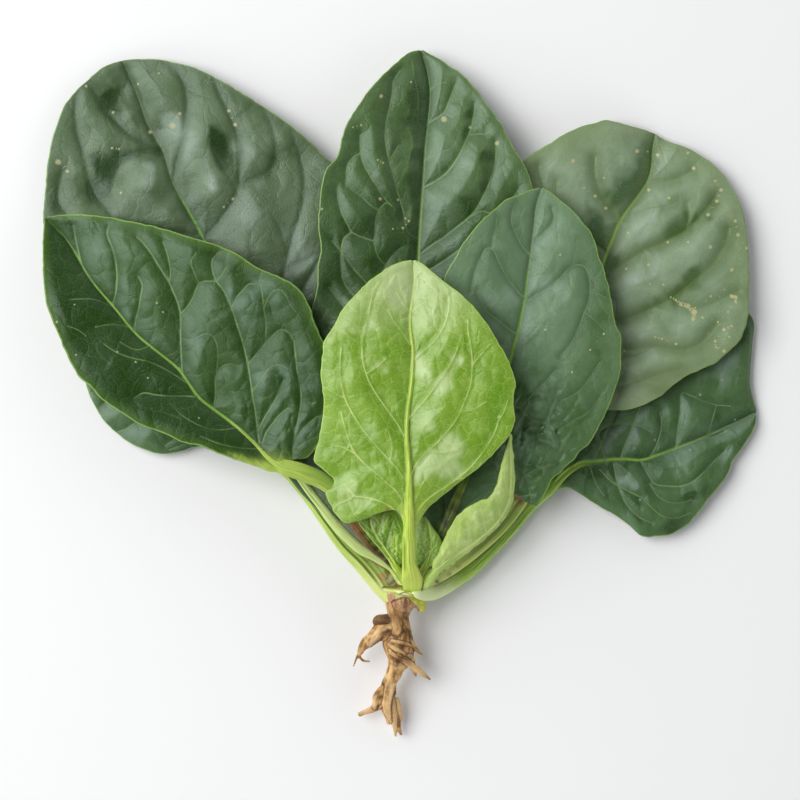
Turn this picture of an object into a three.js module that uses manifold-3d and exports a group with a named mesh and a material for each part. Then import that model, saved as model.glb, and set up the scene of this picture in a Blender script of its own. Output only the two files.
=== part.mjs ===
// A bunch of spinach: one whole rooted plant, laid flat with its leaves fanned out.
// Millimetres, +Z up, the plant resting on the plane z = 0, leaf tips towards +Y, the root towards -Y.
//
// Every leaf is one solid: a thin blade spanned between three space curves (left margin, midrib,
// right margin), puffed up on both sides of the midrib, and a stalk that runs on beneath the blade
// as its rib. The stalks start a small gap outside the crown, which keeps a short stump of each.
// The root is a tapering taproot with its side roots.

import * as THREE from 'three';
import { mergeVertices } from 'three/addons/utils/BufferGeometryUtils.js';
import Module from 'manifold-3d';

// ---------------------------------------------------------------- driving dimensions
const BLADE_T = 0.9;          // blade thickness, measured square to the blade
const GAP = 0.35;             // clearance between neighbouring solids
const ROWS = 16;              // rows along a large blade
const COLS = 4;               // columns on each side of the midrib of a large blade
const ROWS_SMALL = 9;        // the same for the young leaves
const COLS_SMALL = 2;
const STALK_SIDES = 7;        // facets around a stalk
const RIB_REACH = 0.72;       // how far along the blade the rib stands out underneath
const RIB_END = [0.7, 0.55];  // half width and half height where the rib runs out
const ROOT_SIDES = 9;
const CROWN_CENTRE = [1.43, -63.67, 11];
const CROWN_HALF = [6.2, 4.6, 6.4];      // half sizes of the crown across, along and up
const COLLAR = [[-0.46, -67.63, 10.8], [0.49, -64.91, 11.2]];           // where the root meets the crown
const COLLAR_R = [3.4, 4.2];
const SHEATH = [[2.37, -62.74, 14.4], [4.57, -64.35, 14], [6.15, -65.99, 13.2], [6.79, -68.33, 11.8]];           // torn sheath corner beside the root
const SHEATH_R = [[2.2, 1.2], [2.8, 1.1], [2.4, 0.9], [1.1, 0.6]];
const RIDGE = [[-5.51, -61.2, 10.4], [-2.35, -61.75, 13.2], [0.8, -62.36, 15.2], [3.93, -62.95, 15.6]];             // pale edge of the outer sheath across the crown
const RIDGE_R = [[0.7, 0.8], [0.9, 0.8], [1.1, 0.8], [1, 0.7]];

// stalk: centre line from the crown to the blade, stalkR: its half width and half height,
// mid / left / right: the three curves of the blade from base to tip,
// puffL / puffR: how high each half of the blade puffs up along its length.
const LEAVES = {
  leaf_lower_left: {
    stalk: [[-3.63, -63.27, 8.4], [-7.12, -58, 6.9], [-11.58, -52.67, 6.1], [-16.99, -47.62, 5.6],
      [-23.04, -40.32, 5.3], [-29.41, -31.75, 5], [-35.14, -25.39, 5]],
    mid: [[-35.14, -25.39, 5], [-44.07, -20.31, 4.57], [-53.66, -15.22, 4.13], [-63.89, -10.77, 3.67],
      [-74.14, -5.67, 3.19], [-85.68, -0.57, 2.68], [-94.68, 3.26, 2.22], [-100.47, 6.46, 1.9]],
    left: [[-36.09, -26.02, 5], [-44.07, -22.22, 4.55], [-52.38, -19.04, 4.1], [-60.07, -16.82, 3.66],
      [-65.19, -16.83, 3.43], [-70.94, -18.43, 3.3], [-76.04, -19.07, 3.26], [-80.51, -18.11, 3.22],
      [-85.63, -15.88, 3.11], [-90.75, -12.37, 2.97], [-94.6, -8.55, 2.79], [-97.18, -4.4, 2.58],
      [-99.13, -0.57, 2.35], [-100.44, 3.27, 2.13], [-100.46, 5.82, 2]],
    right: [[-35.46, -24.43, 5], [-37.68, -17.75, 5.03], [-44.05, -8.21, 4.98], [-52.35, 1.98, 4.53],
      [-61.94, 10.26, 4.1], [-73.46, 16.01, 3.62], [-84.99, 17.29, 3.09], [-93.99, 14.12, 2.57],
      [-99.15, 10.29, 2.2], [-100.46, 7.1, 2]],
    stalkR: [[3, 1.9], [4, 1.9], [4, 1.9], [3.4, 1.9], [2.6, 1.8], [2.3, 1.5], [2, 1.2]],
    puffL: [0.2, 0.9, 1.2, 0.9, 0.3], puffR: [0.2, 0.5, 0.7, 0.5, 0.2],
  },
  leaf_lower_right: {
    stalk: [[11.91, -61.94, 7.2], [16.36, -59.28, 6.8], [22.09, -55.52, 6.2], [28.46, -49.52, 5.6],
      [34.84, -42.87, 5.3], [41.21, -35.56, 5.1], [47.24, -30.47, 5.2]],
    mid: [[47.24, -30.47, 5.2], [51.38, -26.01, 5.21], [56.47, -22.52, 5.2], [63.47, -21.25, 5.12],
      [70.49, -20.62, 4.91], [76.89, -20.94, 4.59], [82.02, -19.36, 4.28], [87.8, -17.14, 3.87],
      [94.24, -14.6, 3.38], [101.33, -11.42, 2.79], [108.43, -8.23, 2.32], [113.59, -5.68, 2]],
    left: [[46.29, -29.2, 5.2], [49.47, -24.11, 5.15], [53.93, -16.48, 5.08], [59.68, -6.3, 4.87],
      [66.71, 4.52, 4.47], [75.05, 14.72, 3.88], [84.04, 22.39, 3.3], [93.67, 26.87, 2.81],
      [103.3, 28.49, 2.44], [109.71, 27.22, 2.25], [112.61, 23.71, 2.14], [112.31, 15.73, 2],
      [111.67, 8.38, 1.96], [111.67, 2.63, 1.98], [112.63, -1.21, 1.99], [113.59, -4.72, 2]],
    right: [[48.21, -31.43, 5], [50.76, -30.16, 4.89], [53.64, -29.85, 4.77], [57.15, -31.76, 4.62],
      [63.54, -35.92, 4.31], [69.31, -39.12, 3.99], [73.15, -41.99, 3.82], [76.65, -45.18, 3.81],
      [81.42, -45.18, 3.92], [85.86, -44.53, 4.09], [90.29, -42.29, 4.3], [94.07, -38.76, 4.66],
      [97.21, -34.29, 4.97], [101.04, -29.84, 4.88], [104.29, -25.4, 4.42], [105.62, -21.6, 4.01],
      [108.88, -17.15, 3.52], [111.83, -12.69, 3.03], [113.49, -8.55, 2.61], [113.52, -6.32, 2.4]],
    stalkR: [[2.7, 2.1], [2.8, 2.1], [2.5, 2], [2.3, 1.9], [2.2, 1.7], [2, 1.5], [1.8, 1.2]],
    puffL: [0.2, 0.6, 1, 1, 0.3], puffR: [0.2, 0.8, 1.2, 1, 0.3],
  },
  leaf_upper_left: {
    stalk: [[-1.41, -57.39, 10.6], [-2.99, -55.03, 10.5], [-5.51, -53.15, 10.4], [-8.67, -51.1, 10.3],
      [-12.46, -49.06, 10.2], [-16.25, -45.75, 10.1], [-19.1, -42.9, 10.1]],
    mid: [[-19.1, -42.9, 10.1], [-22.89, -38.49, 9.96], [-27, -33.44, 9.8], [-31.75, -27.13, 9.6],
      [-36.83, -18.28, 9.31], [-41.91, -5.64, 8.85], [-47.66, 10.83, 8.07], [-53.44, 27.34, 7.01],
      [-59.23, 42, 6.01], [-62.78, 49.66, 5.46], [-65.68, 55.1, 5.05], [-68.57, 60.22, 4.67],
      [-71.16, 64.71, 4.32], [-73.1, 69.2, 3.99], [-74.4, 73.37, 3.71], [-75.71, 77.54, 3.44],
      [-77.97, 81.08, 3.19], [-79.9, 84.61, 2.97], [-81.52, 88.15, 2.77], [-82.82, 92, 2.56],
      [-84.12, 95.86, 2.37], [-86.07, 100.37, 2.13], [-88.98, 106.48, 1.8]],
    left: [[-20.04, -43.53, 10.1], [-23.84, -39.43, 9.99], [-28.27, -34.7, 9.87], [-32.69, -29.97, 9.76],
      [-36.18, -25.23, 9.64], [-41.88, -19.55, 9.43], [-47.58, -15.76, 9.22], [-56.47, -11.33, 8.84],
      [-69.19, -5.96, 8.21], [-81.95, 1.65, 7.41], [-93.48, 10.54, 6.5], [-101.83, 20.4, 5.81],
      [-107.64, 31.23, 5.24], [-111.53, 42.71, 4.78], [-113.48, 51.64, 4.52], [-113.81, 58.65, 4.4],
      [-113.19, 65.03, 4.33], [-112.56, 71.4, 4.25], [-111.63, 77.79, 4.13], [-110.07, 84.18, 3.91],
      [-108.51, 88.99, 3.66], [-106.64, 92.85, 3.41], [-103.81, 96.4, 3.1], [-100.67, 99.64, 2.76],
      [-95.95, 103.86, 2.28], [-92.79, 105.49, 2.03], [-89.62, 106.48, 1.8]],
    right: [[-17.51, -42.9, 10.2], [-16.25, -39.42, 10.18], [-17.2, -35, 10.16], [-19.73, -30.27, 10.14],
      [-22.25, -23.95, 10.12], [-24.15, -17, 10.06], [-24.79, -6.58, 9.9], [-22.9, 7.01, 9.55],
      [-19.75, 20.3, 9.2], [-17.23, 33.59, 8.95], [-15.34, 46.26, 8.73], [-15.02, 56.41, 8.5],
      [-16.29, 64.03, 8.3], [-18.83, 69.74, 8.12], [-22.32, 73.88, 7.95], [-24.86, 76.11, 7.83],
      [-28.04, 79.3, 7.66], [-31.85, 82.81, 7.45], [-36.62, 86.65, 7.17], [-41.39, 89.86, 6.88],
      [-46.17, 93.07, 6.57], [-50.96, 95.97, 6.22], [-55.75, 98.89, 5.83], [-60.56, 101.49, 5.39],
      [-65.37, 103.8, 4.87], [-70.2, 105.15, 4.32], [-75.04, 106.51, 3.72], [-79.89, 106.92, 3.13],
      [-84.74, 107.01, 2.56], [-87.97, 106.74, 2.2]],
    stalkR: [[0.9, 1.2], [1, 1.4], [1.2, 1.5], [1.4, 1.6], [1.7, 1.6], [1.7, 1.6], [1.7, 1.5]],
    puffL: [0.2, 0.5, 1.5, 1.6, 0.4], puffR: [0.2, 0.5, 1.2, 1.6, 0.4],
  },
  leaf_upper_right: {
    stalk: [[14.38, -55.83, 10.4], [19.44, -52.37, 10.2], [25.76, -47.33, 10], [32.09, -41.34, 9.8],
      [37.78, -34.08, 9.7], [42.21, -25.86, 9.7], [45.36, -16.38, 9.8], [47.26, -6.9, 9.8],
      [48.52, 1.95, 9.8]],
    mid: [[48.52, 1.95, 9.8], [51.36, 10.17, 9.84], [55.48, 20.28, 9.66], [59.95, 30.42, 9.1],
      [63.82, 39.96, 8.27], [65.78, 45.7, 7.65], [67.41, 49.54, 7.15], [68.73, 53.07, 6.67],
      [71.01, 56.92, 6.07], [73.62, 60.47, 5.44], [76.23, 64.03, 4.78], [78.53, 67.59, 4.14],
      [79.88, 72.12, 3.44], [80.29, 77.31, 2.67], [81.34, 83.16, 1.8]],
    left: [[46.94, 2.58, 9.8], [45.99, 8.9, 9.79], [43.46, 18.38, 9.79], [39.67, 29.12, 9.87],
      [35.87, 39.86, 9.99], [33.34, 49.97, 10.06], [32.71, 59.45, 10.02], [34.3, 67.04, 9.84],
      [38.74, 73.71, 9.52], [42.55, 76.59, 9.23], [47.33, 79.5, 8.7], [52.13, 82.43, 7.96],
      [56.95, 84.75, 7.1], [61.78, 86.13, 6.24], [65.02, 87.16, 5.61], [68.26, 86.61, 4.92],
      [73.15, 85.47, 3.78], [78.06, 84.34, 2.61], [80.68, 83.45, 2]],
    right: [[48.52, 1.32, 9.8], [51.68, 0.06, 9.85], [55.46, -1.84, 9.91], [60.51, -4.05, 9.99],
      [66.2, -5, 10], [70.94, -5, 9.93], [75.69, -3.74, 9.82], [78.86, -2.47, 9.73], [82.04, -0.58, 9.62],
      [86.8, 3.53, 9.45], [90.93, 6.07, 9.3], [94.74, 7.65, 9.15], [99.52, 9.87, 8.94],
      [103.67, 13.35, 8.68], [107.51, 17.16, 8.39], [109.13, 20.96, 8.14], [110.13, 25.41, 7.81],
      [110.52, 31.14, 7.32], [110.61, 36.87, 6.78], [110.68, 41.98, 6.34], [110.41, 45.81, 6.02],
      [110.15, 50.6, 5.63], [108.95, 57, 5.16], [107.09, 62.43, 4.84], [104.89, 66.59, 4.67],
      [102.36, 70.42, 4.51], [99.21, 73.63, 4.29], [95.44, 76.21, 3.93], [92.3, 78.17, 3.53],
      [89.17, 79.5, 3.08], [84.47, 81.17, 2.38], [81.96, 82.81, 2]],
    stalkR: [[2.3, 1.7], [2.3, 1.8], [2.3, 1.8], [2.3, 1.8], [2.2, 1.7], [2.1, 1.6], [2, 1.5], [1.9, 1.4], [1.8, 1.2]],
    puffL: [0.2, 1, 1.4, 1.4, 0.3], puffR: [0.2, 1, 1.8, 1.6, 0.3],
  },
  leaf_centre: {
    stalk: [[2.71, -54.49, 7.2], [3.02, -47.78, 8], [3.33, -38.2, 9.4], [3.64, -27.08, 10.8],
      [3.64, -16.96, 12]],
    mid: [[3.64, -16.96, 12], [3.95, -4.99, 11.9], [4.58, 10.77, 11.7], [4.9, 26.54, 11.35],
      [5.54, 41.71, 10.78], [5.85, 48.67, 10.48], [6.49, 58.18, 10.06], [7.13, 67.7, 9.55],
      [7.77, 77.26, 8.89], [8.72, 86.85, 8.11], [9.37, 95.84, 7.25], [8.43, 102.92, 6.48],
      [6.53, 109.06, 5.8]],
    left: [[2.69, -16.64, 12.2], [-0.77, -10.65, 12.56], [-7.69, -2.47, 13.11], [-15.23, 5.71, 13.54],
      [-21.51, 13.25, 13.78], [-25.28, 18.58, 13.92], [-27.16, 22.66, 14.01], [-27.78, 26.43, 14.1],
      [-27.15, 29.57, 14.17], [-26.21, 34.27, 14.28], [-25.89, 40.55, 14.39], [-24.95, 45.26, 14.41],
      [-25.26, 48.4, 14.38], [-25.89, 54.69, 14.27], [-25.27, 60.98, 14.08], [-24.65, 66.66, 13.83],
      [-23.09, 71.08, 13.58], [-20.27, 74.26, 13.28], [-19.33, 76.8, 13.06], [-18.4, 80.94, 12.65],
      [-17.15, 84.77, 12.21], [-15.27, 87.97, 11.75], [-12.45, 92.48, 11.03], [-9.62, 96.37, 10.29],
      [-6.47, 99.97, 9.4], [-3.31, 103.27, 8.44], [-0.14, 106.27, 7.47], [3.03, 108.62, 6.61],
      [5.89, 109.35, 6]],
    right: [[4.58, -16.64, 12.2], [8.67, -11.28, 12.55], [16.21, -2.47, 13.15], [25, 8.85, 13.58],
      [33.16, 21.42, 13.77], [38.81, 34.6, 13.97], [41.95, 47.17, 14], [42.9, 57.24, 13.81],
      [41.66, 64.8, 13.55], [38.54, 73.02, 13.1], [36.36, 76.2, 12.81], [33.86, 80.66, 12.35],
      [31.37, 85.77, 11.73], [28.25, 90.27, 11.05], [25.12, 94.79, 10.31], [21.36, 99.34, 9.36],
      [18.85, 101.97, 8.69], [15.7, 103.98, 7.96], [12.54, 106.31, 7.18], [9.38, 108, 6.48],
      [7.16, 109.35, 6]],
    stalkR: [[2.6, 1.7], [2.5, 1.7], [2.3, 1.7], [2.1, 1.5], [1.9, 1.3]],
    puffL: [0.2, 0.7, 1.2, 1.2, 0.3], puffR: [0.2, 0.7, 1.4, 1.4, 0.3],
  },
  leaf_left: {
    stalk: [[0.17, -56.83, 13.7], [-3.6, -52.09, 14.1], [-9.25, -46.09, 14.6], [-13.94, -39.47, 15.2],
      [-18.63, -32.23, 15.8], [-23.94, -27.51, 16.4], [-30.18, -24.68, 16.8], [-35.81, -22.8, 16.8]],
    mid: [[-36.44, -22.8, 16.8], [-41.46, -19.68, 16.56], [-45.54, -15.61, 16.33], [-50.26, -11.23, 16.01],
      [-54.99, -7.48, 15.6], [-59.73, -4.03, 15.14], [-63.53, -0.9, 14.73], [-66.71, 3.5, 14.27],
      [-69.9, 7.9, 13.8], [-74.36, 11.68, 13.28], [-78.81, 15.15, 12.79], [-82.64, 18.31, 12.36],
      [-85.84, 21.79, 11.95], [-89.36, 26.22, 11.46], [-93.53, 30.97, 10.92], [-96.75, 34.78, 10.49],
      [-99.65, 38.91, 10.05], [-102.57, 44, 9.52], [-106.46, 49.74, 8.85], [-112.61, 55.82, 8]],
    left: [[-36.14, -24.68, 16.6], [-39.26, -24.99, 16.69], [-43.95, -23.11, 16.82], [-48.63, -21.54, 16.96],
      [-53.31, -19.97, 17.11], [-57.99, -18.09, 17.31], [-62.65, -16.21, 17.58], [-67.31, -15.27, 17.86],
      [-71.98, -13.08, 18.11], [-76.65, -11.2, 18.24], [-81.32, -9.64, 18.31], [-86, -6.52, 18.33],
      [-90.69, -3.71, 18.27], [-93.83, -1.21, 18.15], [-96.99, 2.54, 17.9], [-100.15, 5.04, 17.61],
      [-102.72, 9.11, 17.19], [-104.66, 12.87, 16.75], [-105.96, 15.38, 16.42], [-107.3, 19.16, 15.85],
      [-108.97, 22.62, 15.18], [-111.03, 28, 14.03], [-112.18, 34.35, 12.68], [-112.78, 42.33, 10.93],
      [-113.08, 50.35, 9.04], [-112.93, 54.87, 8]],
    right: [[-35.79, -20.91, 17.2], [-31.4, -21.21, 17.51], [-27.64, -18.39, 17.86], [-24.5, -13.39, 18.29],
      [-21.99, -5.58, 18.75], [-21.04, 2.53, 19.02], [-21.97, 10.02, 19.19], [-23.53, 15.32, 19.23],
      [-25.09, 18.43, 19.21], [-26.65, 22.49, 19.12], [-28.22, 26.86, 18.93], [-30.42, 31.25, 18.64],
      [-33.55, 34.38, 18.34], [-37.63, 36.59, 18], [-43.91, 39.11, 17.5], [-50.2, 43.22, 16.88],
      [-56.51, 46.39, 16.22], [-62.83, 48.32, 15.55], [-69.18, 50.25, 14.79], [-75.54, 52.2, 13.96],
      [-81.93, 53.84, 13.06], [-88.34, 55.17, 12.12], [-94.77, 56.2, 11.09], [-101.24, 56.92, 9.98],
      [-107.73, 56.7, 8.86], [-111.63, 56.12, 8.2]],
    stalkR: [[1.1, 1.2], [1.5, 1.4], [2.5, 1.5], [2.6, 1.5], [2.3, 1.5], [2.6, 1.4], [2.8, 1.3], [2.6, 1.1]],
    puffL: [0.2, 0.8, 1.2, 1, 0.3], puffR: [0.2, 1, 1.8, 1.4, 0.4],
  },
  leaf_right: {
    stalk: [[8.66, -55.3, 13.2], [10.22, -52.1, 14], [11.78, -48.59, 14.8]],
    mid: [[11.78, -48.59, 14.8], [13.65, -42.6, 15.21], [15.84, -36.94, 15.61], [18.64, -30.02, 16.26],
      [22.06, -22.16, 17.1], [25.79, -13.71, 17.81], [29.2, -4.96, 18.31], [32, 3.16, 18.55],
      [34.5, 10.65, 18.64], [35.43, 14.71, 18.65], [36.68, 19.39, 18.61], [37.62, 23.76, 18.55],
      [38.56, 28.45, 18.43], [39.2, 33.14, 18.27], [39.83, 38.14, 18.07], [40.47, 43.16, 17.82],
      [41.12, 48.18, 17.51], [41.76, 53.21, 17.11], [42.42, 58.89, 16.56], [44.02, 64.26, 16]],
    left: [[10.52, -48.59, 14.8], [8.01, -43.87, 15.01], [6.44, -37.9, 15.24], [7.69, -30.67, 15.62],
      [10.19, -22.5, 16.39], [11.42, -14.34, 17.27], [11.72, -6.52, 18.02], [11.71, 1.29, 18.71],
      [12.02, 10.64, 19.28], [12.01, 23.09, 19.78], [12.62, 31.8, 20.16], [13.86, 36.77, 20.35],
      [14.8, 38.64, 20.39], [16.98, 42.37, 20.38], [19.16, 46.43, 20.25], [21.66, 49.87, 20.03],
      [24.78, 53.63, 19.69], [27.92, 56.47, 19.31], [30.11, 58.37, 18.96], [32.63, 60.6, 18.43],
      [37.37, 62.56, 17.44], [40.53, 63.88, 16.74], [43.38, 64.55, 16.2]],
    right: [[12.71, -48.54, 15.6], [16.78, -46.66, 15.55], [21.17, -43.53, 15.48], [25.56, -39.77, 15.41],
      [29.33, -35.7, 15.4], [32.46, -32.87, 15.43], [35.28, -31.62, 15.46], [37.47, -32.87, 15.51],
      [39.98, -34.12, 15.56], [42.79, -35.06, 15.62], [44.04, -33.18, 15.68], [46.23, -29.1, 15.8],
      [47.79, -26.27, 15.89], [49.98, -24.7, 15.97], [51.85, -22.82, 16.06], [54.03, -20.63, 16.18],
      [55.9, -18.12, 16.3], [58.71, -15.92, 16.45], [60.26, -13.73, 16.56], [62.43, -9.66, 16.78],
      [63.98, -6.53, 16.97], [65.22, -3.4, 17.16], [66.76, 0.35, 17.39], [67.98, 4.42, 17.64],
      [68.89, 9.1, 17.91], [68.86, 13.78, 18.23], [68.84, 17.83, 18.51], [67.25, 21.57, 18.75],
      [66.3, 25.62, 18.93], [65.67, 29.36, 19.01], [64.73, 34.03, 19.02], [63.49, 39.34, 18.96],
      [62.25, 42.46, 18.88], [61.01, 46.53, 18.74], [59.47, 50.6, 18.53], [57.31, 53.12, 18.29],
      [55.46, 55.64, 17.98], [52.99, 58.17, 17.56], [49.9, 60.72, 17.02], [46.81, 63.27, 16.5],
      [44.64, 64.55, 16.2]],
    stalkR: [[1.9, 1.5], [1.9, 1.5], [1.9, 1.4]],
    puffL: [0.2, 0.9, 1.4, 1.2, 0.3], puffR: [0.2, 0.9, 1.6, 1.4, 0.4],
  },
  leaf_front: {
    stalk: [[3.28, -55.95, 21], [2.77, -52.77, 22], [2.65, -48.94, 23.4], [2.64, -44.51, 25]],
    mid: [[2.64, -44.51, 25], [2.63, -37.64, 26.22], [2.63, -30.8, 27.31], [2.63, -23.99, 28.1],
      [2.32, -18.75, 28.58], [2.01, -14.13, 28.91], [2.01, -9.51, 29.18], [2.31, -4.9, 29.36],
      [2.93, -0.29, 29.39], [3.54, 4.32, 29.27], [3.85, 8.93, 29.04], [3.85, 13.55, 28.73],
      [3.24, 18.18, 28.3], [2.94, 22.81, 27.75], [3.25, 26.53, 27.24], [3.87, 31.5, 26.39],
      [4.18, 35.87, 25.5], [3.88, 41.19, 24.4]],
    left: [[2.02, -44.51, 25], [1.09, -39.56, 25.01], [-1.07, -36.15, 25.03], [-3.86, -35.54, 25.04],
      [-6.95, -36.77, 25.04], [-10.04, -38.32, 25.03], [-13.44, -39.25, 24.99], [-16.85, -39.87, 24.89],
      [-19.94, -37.41, 24.74], [-21.81, -33.7, 24.56], [-23.05, -30.3, 24.43], [-20.57, -28.45, 24.38],
      [-18.41, -25.97, 24.42], [-22.42, -22.87, 24.71], [-26.73, -20.69, 25.21], [-26.41, -18.21, 25.52],
      [-25.47, -14.8, 25.99], [-24.83, -11.09, 26.47], [-23.89, -6.45, 27.06], [-23.55, -1.83, 27.77],
      [-24.15, 2.79, 28.46], [-24.44, 7.4, 28.96], [-24.12, 12, 29.22], [-23.5, 16, 29.31],
      [-21.66, 19.07, 29.34], [-19.51, 22.76, 29.31], [-17.97, 25.84, 29.23], [-15.52, 28.92, 29.08],
      [-12.45, 32.01, 28.77], [-9.38, 35.11, 28.16], [-6.31, 37.31, 27.35], [-3.23, 39.53, 26.33],
      [-0.14, 40.82, 25.41], [3.26, 41.49, 24.6]],
    right: [[3.88, -44.51, 25], [5.11, -41.39, 25.36], [6.03, -38.91, 25.64], [7.58, -36.42, 25.95],
      [9.12, -34.55, 26.2], [12.2, -32.06, 26.63], [15.27, -29.58, 27.08], [18.34, -27.09, 27.56],
      [21.41, -24.61, 28.06], [24.47, -22.44, 28.53], [27.53, -19.35, 29.02], [29.97, -16.58, 29.38],
      [32.11, -14.11, 29.68], [33.94, -11.65, 29.95], [34.85, -9.19, 30.16], [35.14, -6.12, 30.37],
      [34.83, -3.36, 30.52], [34.52, -0.6, 30.64], [35.43, 2.47, 30.75], [34.81, 5.53, 30.82],
      [33.89, 8.29, 30.87], [32.66, 11.36, 30.88], [30.52, 14.73, 30.82], [28.69, 17.8, 30.68],
      [26.86, 21.19, 30.41], [24.42, 24.27, 30.03], [21.36, 27.98, 29.43], [18.31, 31.08, 28.8],
      [15.25, 33.27, 28.09], [12.19, 35.78, 27.15], [9.12, 38.31, 26.07], [6.35, 40.53, 25.12],
      [4.5, 41.49, 24.6]],
    stalkR: [[2.9, 1.6], [2.3, 1.8], [2.1, 1.8], [2.1, 1.8]],
    puffL: [0.2, 1, 1.6, 1.4, 0.3], puffR: [0.2, 1, 1.6, 1.4, 0.3],
  },
  leaf_folded: {
    stalk: [[7.98, -59.64, 17.8], [8.91, -58.32, 18.6], [9.83, -57.03, 19.2]],
    mid: [[9.83, -57.03, 19.2], [13.25, -53.86, 19.8], [17.29, -50.39, 20.5], [22.24, -46.91, 21.27],
      [26.87, -43.13, 22.15], [30.87, -38.73, 23.05], [33.62, -33.43, 23.77], [34.22, -27.84, 24.13],
      [34.22, -21.03, 24.19], [34.24, -12.36, 23.8]],
    left: [[8.89, -56.37, 19.6], [8.88, -53.81, 20.49], [11.04, -50.29, 21.95], [12.56, -46.78, 23.37],
      [14.39, -42.95, 25.13], [16.82, -38.54, 26.64], [19.88, -35.41, 27.53], [24.19, -32.93, 27.83],
      [27.58, -31.71, 27.66], [29.45, -28.34, 27.29], [30.72, -23.74, 26.41], [31.68, -19.44, 25.55],
      [32.95, -15.75, 24.84], [33.91, -12.36, 24.2]],
    right: [[10.47, -58.01, 18.6], [13.9, -55.2, 18.67], [17.64, -52.07, 18.8], [22.62, -48.3, 19.14],
      [27.28, -44.52, 19.7], [31.29, -40.12, 20.51], [34.36, -35.09, 21.42], [35.25, -28.53, 22.26],
      [35.22, -21.06, 22.85], [34.57, -12.37, 23.4]],
    stalkR: [[1.3, 1], [1.4, 1.1], [1.3, 1]],
    puffL: [0.1, 0.9, 1.2, 0.8, 0.1], puffR: [0, 0.1, 0.1, 0.1, 0],
  },
  heart_leaf_left: {
    stalk: [[1.11, -58.2, 16.2], [0.17, -56.28, 16.8], [-1.08, -54.65, 17.6]],
    mid: [[-1.08, -54.65, 17.6], [-3.27, -51.16, 18.35], [-5.45, -47.68, 19.13], [-7.47, -44.52, 19.74],
      [-8.86, -41.7, 20.1], [-9.48, -38.26, 20.31], [-10.11, -35.14, 20.4]],
    left: [[-2.02, -55.28, 17.6], [-4.83, -50.52, 18.63], [-7.63, -47.04, 19.37], [-10.73, -43.26, 20.02],
      [-13.22, -39.81, 20.38], [-13.53, -36.38, 20.44], [-10.73, -34.52, 20.4]],
    right: [[0.48, -54.65, 17.6], [2.04, -50.56, 18.08], [2.35, -45.52, 18.74], [1.41, -40.49, 19.45],
      [-0.77, -37.04, 19.83], [-3.88, -34.85, 20.08], [-9.48, -34.21, 20.3]],
    stalkR: [[1.1, 0.8], [1.2, 0.9], [1.2, 0.9]],
    puffL: [0.1, 0.2, 0.3, 0.2, 0.1], puffR: [0.1, 0.3, 0.5, 0.3, 0.1],
  },
  heart_leaf_right: {
    stalk: [[5.5, -58.63, 14.8], [6.12, -56.69, 15.6], [7.37, -54.42, 16.6]],
    mid: [[7.37, -54.42, 16.6], [8.91, -50.56, 17.96], [9.52, -45.78, 19.5], [8.89, -41.39, 20.04],
      [7.33, -38.27, 20.1]],
    left: [[6.11, -55.03, 16.8], [3.6, -51.51, 17.91], [3.29, -45.82, 18.9], [4.53, -41.1, 19.6],
      [6.71, -37.96, 20]],
    right: [[8.31, -55.06, 16.4], [11.12, -52.51, 16.96], [12.97, -49, 18.07], [12.64, -45.49, 19.16],
      [10.44, -42.01, 20.05], [7.95, -38.26, 20.2]],
    stalkR: [[1, 0.8], [1, 0.8], [1, 0.7]],
    puffL: [0.1, 0.2, 0.3, 0.2, 0.1], puffR: [0.1, 0.2, 0.4, 0.3, 0.1],
  },
};

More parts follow.
